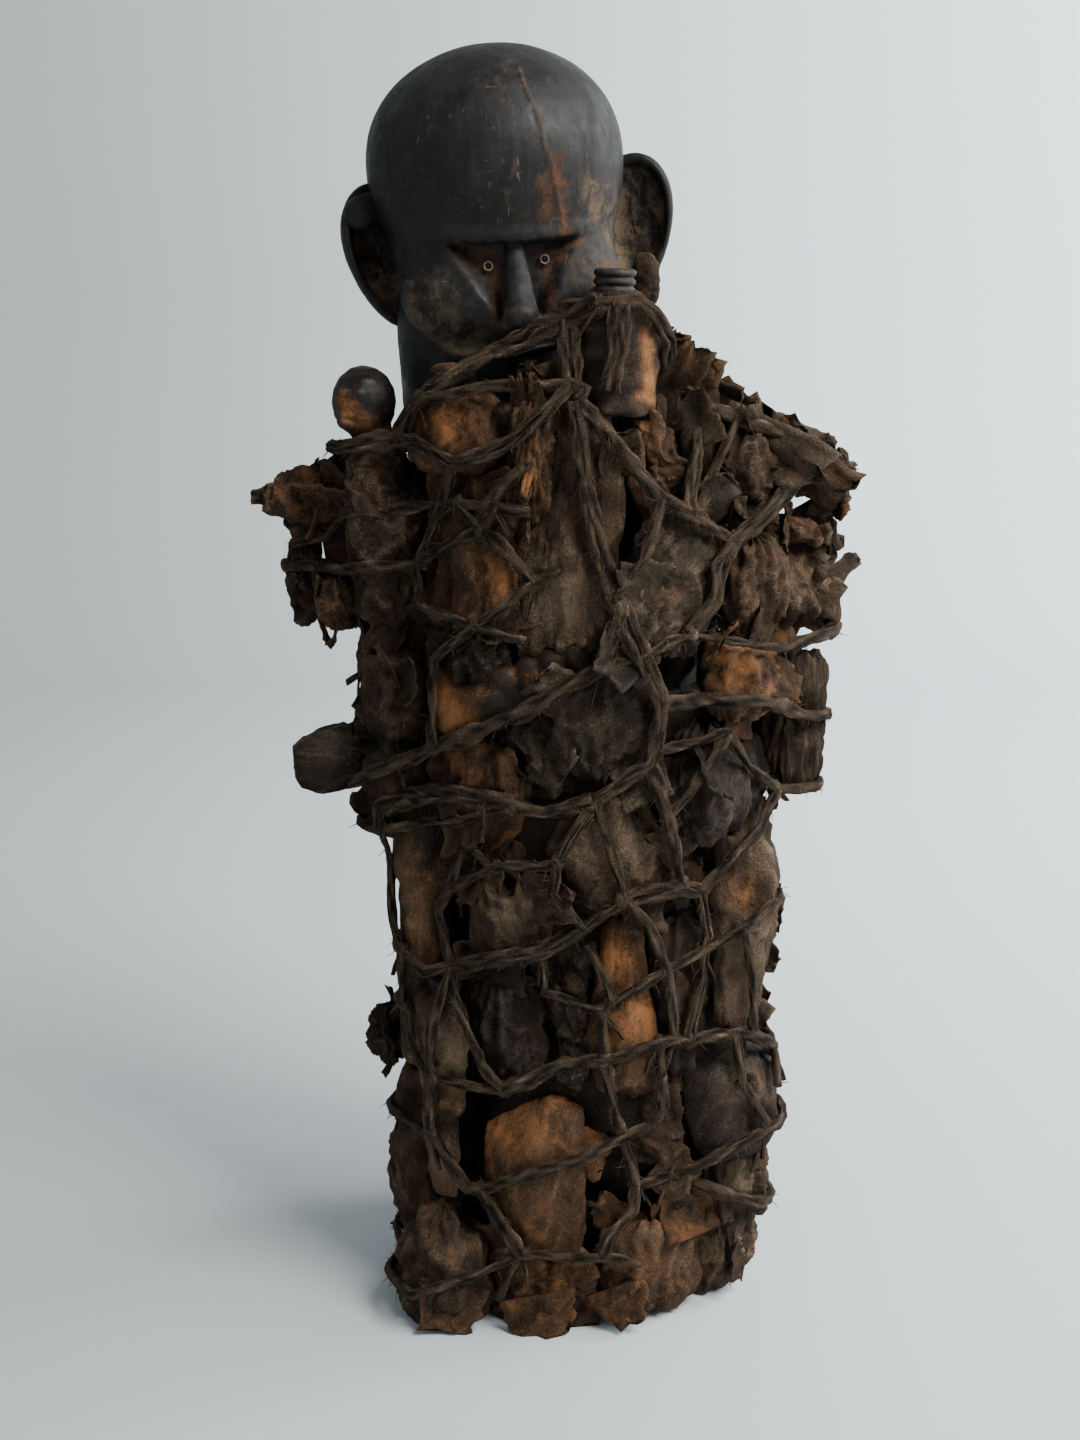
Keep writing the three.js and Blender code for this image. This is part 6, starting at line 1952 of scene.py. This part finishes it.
BELLY_ROUTES = [
    route((615, 603), (621, 609), (642, 658), (662, 703), (656, 711), (654, 752), width=1.2, plies=2),
    route((642, 658), (666, 642), (690, 635), (784, 648), width=0.7),
    route((662, 703), (711, 699), (776, 703), (801, 715), width=1.2),
    route((654, 752), (729, 733), (748, 764), (774, 789), width=0.8),
    route((654, 752), (648, 764), (668, 815), (682, 886)),
    route((668, 811), (693, 789), (729, 733)),
    route((601, 668), (544, 699), (487, 729), (432, 748), (352, 782), width=1.3),
    route((434, 658), (432, 748), width=0.9),
    route((601, 668), (642, 658), width=0.8),
    route((381, 829), (381, 809), (411, 797), (454, 793), (511, 805), (544, 813), (593, 803), (654, 752),
          width=1.35, plies=2),
    route((381, 829), (422, 821), (460, 820), (511, 805), width=0.9),
    route((593, 803), (566, 846), (556, 878), (552, 894), (585, 929), width=0.75),
    route((603, 800), (620, 878), (624, 900), (585, 929), width=0.75),
    route((460, 820), (450, 888), (440, 911), (452, 966)),
    route((450, 888), (491, 868), (556, 864), width=0.8),
    route((466, 841), (491, 868), width=0.7),
]
HIP_ROUTES = [
    route((452, 968), (503, 957), (585, 935), (627, 900), (686, 888), (701, 892), width=1.2),
    route((542, 950), (544, 992), (601, 1012), (613, 1002), (589, 943), width=0.8),
    route((601, 1012), (605, 1060), (608, 1080)),
    route((452, 970), (456, 1000), (483, 1066), (503, 1090), width=0.9),
    route((452, 970), (432, 1025), (430, 1076), (485, 1090), (503, 1090), width=0.9),
    route((381, 829), (381, 878), (401, 949), (426, 972), (452, 970), width=0.9),
    route((401, 949), (403, 1004), (418, 1060), (430, 1076), width=0.9),
    route((701, 892), (719, 870), (760, 827), (774, 789), width=1.2),
    route((627, 900), (648, 923), (666, 970), (674, 1040)),
    route((701, 892), (707, 935), (703, 976), (687, 1040), width=0.9),
    route((666, 970), (703, 951), (742, 927), (780, 896), width=0.8),
    route((742, 927), (752, 974), (754, 1035), width=0.8),
    route((666, 976), (615, 1000), (601, 1012), width=0.8),
    route((503, 1090), (564, 1064), (607, 1058), (660, 1043), (735, 1033), (774, 1047), (778, 1086),
          width=1.2),
]
FOOT_ROUTES = [
    route((430, 1076), (430, 1134), (470, 1188), (520, 1255), width=1.3),
    route((482, 1190), (578, 1160), (622, 1137), (651, 1123), (662, 1107), (662, 1045), width=1.1),
    route((608, 1060), (615, 1136), (636, 1186), (632, 1209), (609, 1236), (601, 1257)),
    route((636, 1187), (674, 1174), (731, 1149), (768, 1128), (743, 1084), (735, 1033)),
    route((636, 1187), (689, 1180), (731, 1195), (760, 1203), width=1.2),
    route((413, 1295), (474, 1276), (518, 1256), (596, 1255), (641, 1264), width=0.9),
    route((516, 1257), (499, 1299), width=0.9),
]
# Where hoops leave the front on the right and come round the back to the left
HOOPS = [
    ((844, 470), (345, 447)), ((784, 648), (373, 568)), ((801, 715), (352, 782)),
    ((774, 789), (381, 829)), ((780, 896), (401, 949)), ((774, 1047), (403, 1004)),
    ((768, 1128), (430, 1134)), ((760, 1203), (413, 1295)),
]


@dataclass
class Run:
    """A stretch of thong between two knots.

    It has points on the skin, its width at each, its plies, the knots at its ends and the places where it is
    tied between them.
    """

    points: Array
    width: Array
    plies: int
    ends: tuple[int, int]
    tied: tuple[Array, ...] = ()

    def backwards(self) -> "Run":
        """The same stretch from its other end."""
        return Run(self.points[::-1], self.width[::-1], self.plies, self.ends[::-1], self.tied)

    def followed(self, other: "Run") -> "Run":
        """This stretch and one that starts where it ends, as one."""
        return Run(
            np.concatenate([self.points, other.points[1:]]),
            np.concatenate([self.width, other.width[1:]]),
            max(self.plies, other.plies),
            (self.ends[0], other.ends[1]),
            (*self.tied, self.points[-1], *other.tied),
        )

    def leaves(self, knot: int) -> Array:
        """The direction in which the stretch leaves a knot."""
        way = self if self.ends[0] == knot else self.backwards()
        return unit(way.points[min(3, len(way.points) - 1)] - way.points[0])


@dataclass
class ThongNet:
    """The net of twisted leather thongs, which cross, bind and knot over the packets."""

    skin: StretchedSkin
    width: float = 8.6
    thickness: float = 5.8
    lift: float = 5.0
    spacing: float = 5.0
    step: float = 3.4
    sides: int = 10
    twist: float = 52.0
    snap: float = 11.0
    hoop_spans: int = 7
    hoop_sag: float = 10.0
    straight: float = -0.6
    corner: float = 0.9
    tighten: int = 40
    hold: int = 4
    knot_radius: float = 6.2
    hair_gap: float = 9.0

    def knots_and_pairs(self, routes: list[Route]) -> tuple[list[Seen], list[tuple[int, int, Route]]]:
        """Picture points of the knots, where routes start, end, bend, meet or cross, and the pairs they join.

        Args:
            routes: the thongs' ways across the front.

        Returns:
            The knots, and for each stretch its two knots and the route that it belongs to.
        """
        knots: list[Seen] = []

        def knot_at(point: Seen) -> int:
            """The knot at a point: a known one nearer than the snap, or a new one."""
            for index, knot in enumerate(knots):
                if math.dist(knot, point) < self.snap:
                    return index
            knots.append(point)
            return len(knots) - 1

        pairs = []
        for way in routes:
            chain = [knot_at(point) for point in way.points]
            pairs += [(a, b, way) for a, b in zip(chain, chain[1:]) if a != b]
        for n, (a, b, _) in enumerate(pairs):
            for c, d, _ in pairs[n + 1 :]:
                p, q = rows(*knots[a]), rows(*knots[c])
                r, t = rows(*knots[b]) - p, rows(*knots[d]) - q
                across = r[0] * t[1] - r[1] * t[0]
                if abs(across) > 1e-9:
                    share = ((q - p)[0] * t[1] - (q - p)[1] * t[0]) / across
                    other = ((q - p)[0] * r[1] - (q - p)[1] * r[0]) / across
                    if 0 < share < 1 and 0 < other < 1:
                        knot_at(tuple(p + share * r))
        return knots, pairs

    def front_runs(self, knots: list[Seen], pairs: list[tuple[int, int, Route]]) -> list[Run]:
        """The stretches split at every knot they pass, and laid on the skin.

        Args:
            knots: picture points of the knots.
            pairs: the stretches.

        Returns:
            The runs, each once.
        """
        places = np.array(knots, dtype=float)
        found: dict[tuple[int, int], Run] = {}
        for a, b, way in pairs:
            line = places[b] - places[a]
            length = float(np.linalg.norm(line))
            share = ((places - places[a]) @ line) / length**2
            off = np.abs((places - places[a])[:, 0] * line[1] - (places - places[a])[:, 1] * line[0]) / length
            passed = (share > 0) & (share < 1) & (off < self.snap)
            passed[[a, b]] = True
            order = sorted(np.flatnonzero(passed), key=lambda k: share[k])
            for start, end in zip(order, order[1:]):
                key = (min(start, end), max(start, end))
                if key not in found:
                    count = max(3, int(np.linalg.norm(places[end] - places[start]) / self.spacing))
                    seen = places[start] + np.linspace(0, 1, count)[:, None] * (places[end] - places[start])
                    laid = self.skin.behind(seen, self.lift)
                    found[key] = Run(laid, np.full(count, way.width), way.plies, (int(start), int(end)))
        return list(found.values())

    def back_runs(self, places: list[Array], nearest: dict[Seen, int]) -> list[Run]:
        """The hoops that go round the back and the slanting ties between them.

        Args:
            places: the knots' places, to which the back's knots are added.
            nearest: for each hoop end, the knot of the front that it starts from.

        Returns:
            The runs of the back.
        """
        runs: list[Run] = []
        hoops: list[list[int]] = []
        for right, left in HOOPS:
            start, end = nearest[right], nearest[left]
            first = float(heading_of(places[start]))
            last = float(heading_of(places[end])) + 2.0 * np.pi
            chain = [start]
            for span in range(1, self.hoop_spans):
                share = span / self.hoop_spans
                sag = self.hoop_sag * math.sin(math.pi * share)
                height = places[start][2] * (1 - share) + places[end][2] * share - sag
                turn = first * (1 - share) + last * share
                places.append(self.skin.laid(rows(turn), rows(height), self.lift)[0])
                chain.append(len(places) - 1)
            hoops.append(chain + [end])
        for row, chain in enumerate(hoops):
            linked = list(zip(chain, chain[1:]))
            if row + 1 < len(hoops):
                slant = -1 if row % 2 else 1
                picked = range(1 + row % 2, self.hoop_spans - 1, 2)
                linked += [(chain[k], hoops[row + 1][k + slant]) for k in picked]
            for a, b in linked:
                share = np.linspace(0.0, 1.0, max(3, int(math.dist(places[a], places[b]) / self.spacing)))
                turns = heading_of(np.stack([places[a], places[b]]))
                swing = (turns[1] - turns[0] + np.pi) % (2.0 * np.pi) - np.pi
                height = places[a][2] + share * (places[b][2] - places[a][2])
                laid = self.skin.laid(turns[0] + share * swing, height, self.lift)
                runs.append(Run(laid, np.full(len(laid), 1.0), 1, (a, b)))
        return runs

    def chained(self, runs: list[Run]) -> list[Run]:
        """Runs that pass straight through a knot as one long thong, the straightest pairs first.

        Two directions that leave a knot straight against each other have a product of -1. Where only two runs
        meet, they are one thong up to a sharp corner.

        Args:
            runs: the stretches between knots.

        Returns:
            The long thongs.
        """
        meeting: dict[int, list[int]] = {}
        for index, run in enumerate(runs):
            for end in run.ends:
                meeting.setdefault(end, []).append(index)
        chains: dict[int, Run] = dict(enumerate(runs))
        holder = list(range(len(runs)))
        for knot, met in meeting.items():
            ways = {index: runs[index].leaves(knot) for index in set(met)}
            bends = sorted(
                (float(ways[a] @ ways[b]), a, b) for n, a in enumerate(met) for b in met[n + 1 :] if a != b
            )
            used: set[int] = set()
            limit = self.corner if len(met) == 2 else self.straight
            for bend, a, b in bends:
                one, two = holder[a], holder[b]
                if bend > limit or a in used or b in used or one == two:
                    continue
                used |= {a, b}
                first, second = chains[one], chains.pop(two)
                first = first if first.ends[1] == knot else first.backwards()
                second = second if second.ends[0] == knot else second.backwards()
                chains[one] = first.followed(second)
                holder = [one if held == two else held for held in holder]
        return list(chains.values())

    def strand(self, path: Array, width: Array, seed: int) -> Shape:
        """A twisted flat strand along a path.

        The section is an oval whose radius swells in three lobes that turn along the strand, with fine noise
        drawn out lengthwise. Each ring stands square to the path, its flat side along the skin.

        Args:
            path: evenly spaced points.
            width: width over the net's own, at each point.
            seed: picks the noise.

        Returns:
            The closed strand, with its relief and each point's way along and around it.
        """
        ahead = unit(np.gradient(path, axis=0))
        out = outward(heading_of(path))
        side = unit(np.cross(out, ahead))
        face = np.cross(ahead, side)
        along, turn = lengths(path)[:, None], circle(self.sides)
        pitch = self.twist * (1.0 + 0.4 * math.sin(1.9 * seed))
        wound = 3.0 * turn + along / pitch * 2.0 * np.pi + seed
        slant = turn + along / 40.0
        fibre = layered(stacked(9.0 * np.cos(slant), 9.0 * np.sin(slant), 0.3 * along), 5.5, seed, 2)
        lobes = 0.15 * np.cos(wound) + 0.05 * np.cos(2.0 * wound)
        uneven = (0.24 * noise(path, 27.0, seed) + 0.14 * noise(path, 9.0, seed + 2))[:, None]
        radius = 1.0 + lobes + uneven + 0.3 * fibre
        flat = 1.0 + 0.25 * noise(path, 33.0, seed + 5)[:, None]
        half = self.width * width[:, None] / 2
        thick = self.thickness * (0.65 + 0.35 * width[:, None]) / 2
        grid = (
            path[:, None, :]
            + (radius * flat * np.cos(turn) * half)[..., None] * side[:, None, :]
            + (radius / flat * np.sin(turn) * thick)[..., None] * face[:, None, :]
        )
        relief = np.append(0.45 + 1.5 * lobes + 0.7 * fibre, [0.4, 0.4])
        around = np.append(turn * 9.0 / (2 * np.pi) + 0 * along, [0.0, 0.0]) + 13.0 * seed
        along = np.append(along + 0 * turn, [0.0, along[-1, 0]])
        return closed_grid(grid).tinted(relief=relief, around=around, along=along)

    def tightened(self, path: Array, tied: tuple[Array, ...]) -> Array:
        """The path drawn taut between its ties: smoothed many times, and held off what the skin wraps."""
        pins = [int(np.linalg.norm(path - place, axis=1).argmin()) for place in tied]
        for turn in range(self.tighten):
            path[1:-1] = eased(path)
            path[pins] = rows(*tied) if tied else path[pins]
            if (turn + 1) % self.hold == 0:
                heading = heading_of(path)
                least = self.skin.at(heading, path[:, 2], bare=True) + 0.8 * self.lift
                reach = np.linalg.norm(path[:, :2] - BODY_AXIS, axis=1)
                path = path + outward(heading) * np.maximum(least - reach, 0.0)[:, None]
        return path

    def laid_strands(self, run: Run, seed: int) -> tuple[list[Shape], Array]:
        """A thong's plies, side by side and wandering a little, evenly resampled and drawn taut.

        Args:
            run: the thong.
            seed: picks its wandering.

        Returns:
            The strands, and the middle path.
        """
        length = lengths(run.points)
        count = max(5, int(length[-1] / self.step))
        at = np.linspace(0, length[-1], count)
        even = self.tightened(stacked(*(np.interp(at, length, run.points[:, k]) for k in range(3))), run.tied)
        width = np.interp(at, length, run.width)
        for _ in range(4):
            width[1:-1] = eased(width)
        out = outward(heading_of(even))
        side = unit(np.cross(out, unit(np.gradient(even, axis=0))))
        share = np.sin(np.linspace(0.0, np.pi, count))
        shapes = []
        for ply in range(run.plies):
            spread = (ply - (run.plies - 1) / 2.0) * self.width * 0.95
            offset = spread * width * (0.5 + 0.5 * noise(even, 60.0, seed))
            wander = noise(even, 44.0, seed + 7 * ply) * np.minimum(3.0 * share, 1.0)
            droop = 0.7 * layered(even, 26.0, seed + 3 + ply, 2)
            path = even + (offset + wander)[:, None] * side + droop[:, None] * out
            shapes.append(self.strand(path, width if run.plies == 1 else 0.72 * width, seed + 19 * ply))
        return shapes, even

    def knot(self, place: Array, girth: float, seed: int) -> Shape:
        """A lumpy knot: a flattened ball whose radius swells in slanting coils, with noise."""
        rings = ball(9, 15) * rows(1, 1, -1)
        coils = np.sin(8.0 * np.arccos(rings[..., 2]) + 2.0 * np.sin(circle(15)) + seed)
        lumps = noise(rings * 6.0 + place, 6.0, seed)
        radius = self.knot_radius * girth * (1.0 + 0.13 * coils + 0.3 * lumps)
        out = outward(heading_of(place))
        grid = (rings * radius[..., None]) @ turned(float(seed * 47 % 180), "Y")
        grid = grid - 0.35 * (grid @ out)[..., None] * out
        relief = np.append(0.45 + 0.2 * coils + 0.5 * lumps, [0.5, 0.5])
        return closed_grid(grid + place).tinted(relief=relief, around=relief * 9.0, along=relief * 5.0)

    def hair(self, place: Array, way: Array, length: float, seed: int) -> Shape:
        """A fibre that has worked loose: a thin tapering thread that bends away and droops."""
        share = np.linspace(0.0, 1.0, 4)[:, None]
        bend = np.cross(way, rows(math.sin(seed), math.cos(1.7 * seed), 0.4))
        path = place + share * way * length + share**2 * (bend * 0.5 * length - rows(0, 0, 0.3 * length))
        thick = 0.55 * (1.0 - 0.6 * share)
        side = unit(np.cross(way, rows(0.3, 0.2, 1.0)))
        other = np.cross(way, side)
        turn = circle(3)[:, None]
        ring = np.cos(turn) * side + np.sin(turn) * other
        return closed_grid(path[:, None, :] + thick[..., None] * ring).tinted(relief=0.7, around=3.0)

    def frayed(self, path: Array, seed: int) -> list[Shape]:
        """Loose fibres along a thong, each leaving it at its own slant."""
        source = np.random.default_rng(seed)
        out = outward(heading_of(path))
        ahead = unit(np.gradient(path, axis=0))
        side = np.cross(out, ahead)
        shapes = []
        gap = max(1, int(self.hair_gap / self.step))
        for index in range(1, len(path) - 1, gap):
            slant, lean = source.uniform(-1.0, 1.0), source.uniform(-0.8, 0.8)
            length = source.uniform(2.5, 9.5)
            way = unit(side[index] * slant + 0.5 * out[index] + ahead[index] * lean)
            start = path[index] + side[index] * slant * 0.4 * self.width
            shapes.append(self.hair(start, way, length, seed * 31 + index))
        return shapes

    def loose_end(self, place: Array, seed: int) -> Shape:
        """A tail that leaves a knot, hangs away from the skin and thins to its tip."""
        share = np.linspace(0.0, 1.0, 10)
        out = outward(heading_of(place))
        across = np.cross(out, rows(0, 0, 1.0)) * math.sin(seed * 2.4)
        way = unit(0.2 * out + across + rows(0, 0, -0.8 + 0.5 * math.cos(seed * 1.7)))
        length = 12.0 + 12.0 * abs(math.sin(seed * 1.3))
        path = place + share[:, None] * way * length - (share[:, None] ** 2) * rows(0, 0, 5.0)
        return self.strand(path, 0.55 * (1.0 - 0.7 * share), seed)

    def build(self) -> bpy.types.Object:
        """The whole net: the front's runs, the back's hoops and ties, knots, loose ends and loose fibres."""
        routes = NECK_ROUTES + BREAST_ROUTES + BELLY_ROUTES + HIP_ROUTES + FOOT_ROUTES
        ends = [point for hoop in HOOPS for point in hoop]
        knots, pairs = self.knots_and_pairs(routes + [Route((point,)) for point in ends])
        places = list(self.skin.behind(np.array(knots, dtype=float), self.lift))
        runs = self.front_runs(knots, pairs)
        nearest = {point: min(range(len(knots)), key=lambda k: math.dist(knots[k], point)) for point in ends}
        runs += self.back_runs(places, nearest)
        shapes: list[Shape] = []
        for seed, run in enumerate(self.chained(runs)):
            strands, middle = self.laid_strands(run, seed)
            shapes += strands + self.frayed(middle, seed)
        girth: dict[int, list[float]] = {}
        for run in runs:
            for end in run.ends:
                girth.setdefault(end, []).append(float(run.width.max()))
        for index, widths in girth.items():
            if len(widths) > 2:
                place = self.tied(places[index])
                shapes.append(self.knot(place, 0.5 + 0.45 * max(widths), index))
                if index % 2 == 0:
                    shapes.append(self.loose_end(place, index))
        return object_from("net", held_in(together(shapes)), THONG.material())

    def tied(self, place: Array) -> Array:
        """A knot's place, no nearer to the axis than what the skin wraps and no farther than the skin."""
        heading, height = heading_of(place), place[2]
        bare = float(self.skin.at(rows(heading), rows(height), bare=True)[0])
        reach = float(np.linalg.norm(place[:2] - BODY_AXIS))
        return place + outward(heading) * 0.5 * (bare + self.lift - reach) * (bare > 0.0)


# Studio


@dataclass
class Studio:
    """A pale seamless sweep, a soft key from the upper right, a weak fill and the camera."""

    sensor: float = 36.0
    near: float = -4600.0
    wall: float = 2800.0
    top: float = 3600.0
    bend: float = 700.0
    half_width: float = 6000.0

    def sweep(self) -> bpy.types.Object:
        """Floor and backdrop in one sheet: a flat floor, a quarter circle and an upright wall."""
        arc = np.linspace(0.0, np.pi / 2.0, 24)
        deep = np.concatenate([[self.near], self.wall - self.bend + self.bend * np.sin(arc), [self.wall]])
        high = np.concatenate([[0.0], self.bend * (1.0 - np.cos(arc)), [self.top]])
        points = stacked(rows(-self.half_width, self.half_width), deep[:, None], high[:, None]).reshape(-1, 3)
        index = np.arange(len(points)).reshape(-1, 2)
        quads = stacked(index[:-1, 0], index[:-1, 1], index[1:, 1], index[1:, 0])
        graph = Graph("pale_paper")
        place = graph.place()
        grain = graph.noise(place, 9.0, 3.0)
        axes = graph.add("ShaderNodeSeparateXYZ", {}, {0: place}).outputs
        across, depth = Wire(graph, axes[0]), Wire(graph, axes[1])
        # Painted light: the sweep's colour runs from darker on the left to paler on the right, as if lit from
        # the right, and the shade below is painted shade that darkens the floor towards the front
        colour = graph.mixed(across.risen(-1100.0, 1200.0), (0.48, 0.515, 0.505), (0.8, 0.86, 0.885))
        shade = graph.grey(0.86 + 0.14 * depth.risen(-200.0, 1600.0))
        colour = graph.mixed(1.0, colour, shade, "MULTIPLY")
        material = graph.ended(Base_Color=colour, Roughness=0.92, Normal=graph.raised(grain, 0.05))
        piece = object_from("sweep", Shape(points, quads), material)
        return piece

    def light(self, name: str, place: tuple[float, float, float], size: float, power: float,
              colour: Colour, aim: tuple[float, float, float] = (0.0, 0.0, 0.5)) -> None:
        """A square soft light, aimed at the figure's middle unless told otherwise."""
        lamp = bpy.data.lights.new(name, "AREA")
        lamp.shape = "SQUARE"
        lamp.size = size
        lamp.energy = power
        lamp.color = colour
        piece = bpy.data.objects.new(name, lamp)
        piece.location = place
        piece.rotation_euler = (Vector(aim) - piece.location).to_track_quat("-Z", "Y").to_euler()
        bpy.context.scene.collection.objects.link(piece)

    def camera(self) -> None:
        """The camera: an upright picture whose long side is the sensor's."""
        lens = bpy.data.cameras.new("camera")
        lens.sensor_width = self.sensor
        lens.sensor_height = self.sensor
        lens.sensor_fit = "VERTICAL"
        lens.lens = self.sensor * VIEW.focal / VIEW.down
        lens.clip_end = 50.0
        piece = bpy.data.objects.new("camera", lens)
        piece.location = Vector(VIEW.eye) * METRES
        piece.rotation_euler = (math.radians(90.0) - VIEW.tilt, 0.0, 0.0)
        bpy.context.scene.collection.objects.link(piece)
        bpy.context.scene.camera = piece

    def build(self) -> None:
        """Sweep, world, lights and camera."""
        self.sweep()
        world = bpy.data.worlds.new("room")
        world.use_nodes = True
        background = world.node_tree.nodes["Background"]
        background.inputs["Color"].default_value = (0.82, 0.9, 1.0, 1.0)
        background.inputs["Strength"].default_value = 0.38
        bpy.context.scene.world = world
        self.light("key", (1.5, -1.3, 2.7), 1.5, 150.0, (1.0, 0.99, 0.97))
        self.light("side", (2.3, 0.1, 1.6), 1.2, 46.0, (0.96, 0.98, 1.0))
        self.light("fill", (-2.2, -2.4, 1.0), 2.2, 13.0, (0.98, 0.99, 1.0))
        self.light("wash", (2.4, 0.9, 1.9), 1.4, 105.0, (0.96, 0.985, 1.0), (1.1, 2.8, 0.9))
        self.camera()


def main() -> None:
    """Builds the studio and the figure piece by piece, and logs the faces in all."""
    logging.basicConfig(level=logging.INFO, format="%(message)s")
    Studio().build()
    head = CarvedHead()
    fitted(head.build(), "carved_wood", "carved_figure")
    fitted(CarvedBody().build(), "carved_wood", "carved_figure")
    for side in (-1, 1):
        ring = EyeRing(side)
        hoop, pupil = ring.build(head)
        fitted(hoop, "eye_ring", f"eye_stud_{ring.side_name()}")
        fitted(pupil, "eye_ring", f"eye_stud_{ring.side_name()}")
    bottle = ShoulderBottle()
    fitted(bottle.glass(), "bottle", "shoulder_bottle")
    fitted(bottle.cap(), "cap", "bottle_cap")
    maker = PacketMaker()
    small = SmallFigure()
    fitted(small.carving(), "small_figure_wood", "small_figure")
    fitted(small.wrap(maker), "small_figure_wood", "small_figure")
    for seed, packet in enumerate(front_packets() + back_packets()):
        fitted(maker.build(packet, 3 * seed + 1), SLOTS[packet.finish.name], packet.node)
    for piece, slot in scraps():
        fitted(piece, slot)
    skin = StretchedSkin()
    skin.wrap([CadSolid(node) for node in frame["nodes"] if node not in OUTSIDE_NET])
    fitted(ThongNet(skin).build(), "thong", "thong_net")
    faces = sum(len(piece.data.polygons) for piece in bpy.data.objects if piece.type == "MESH")
    log.info("faces in all: %d", faces)


if __name__ == "__main__":
    main()
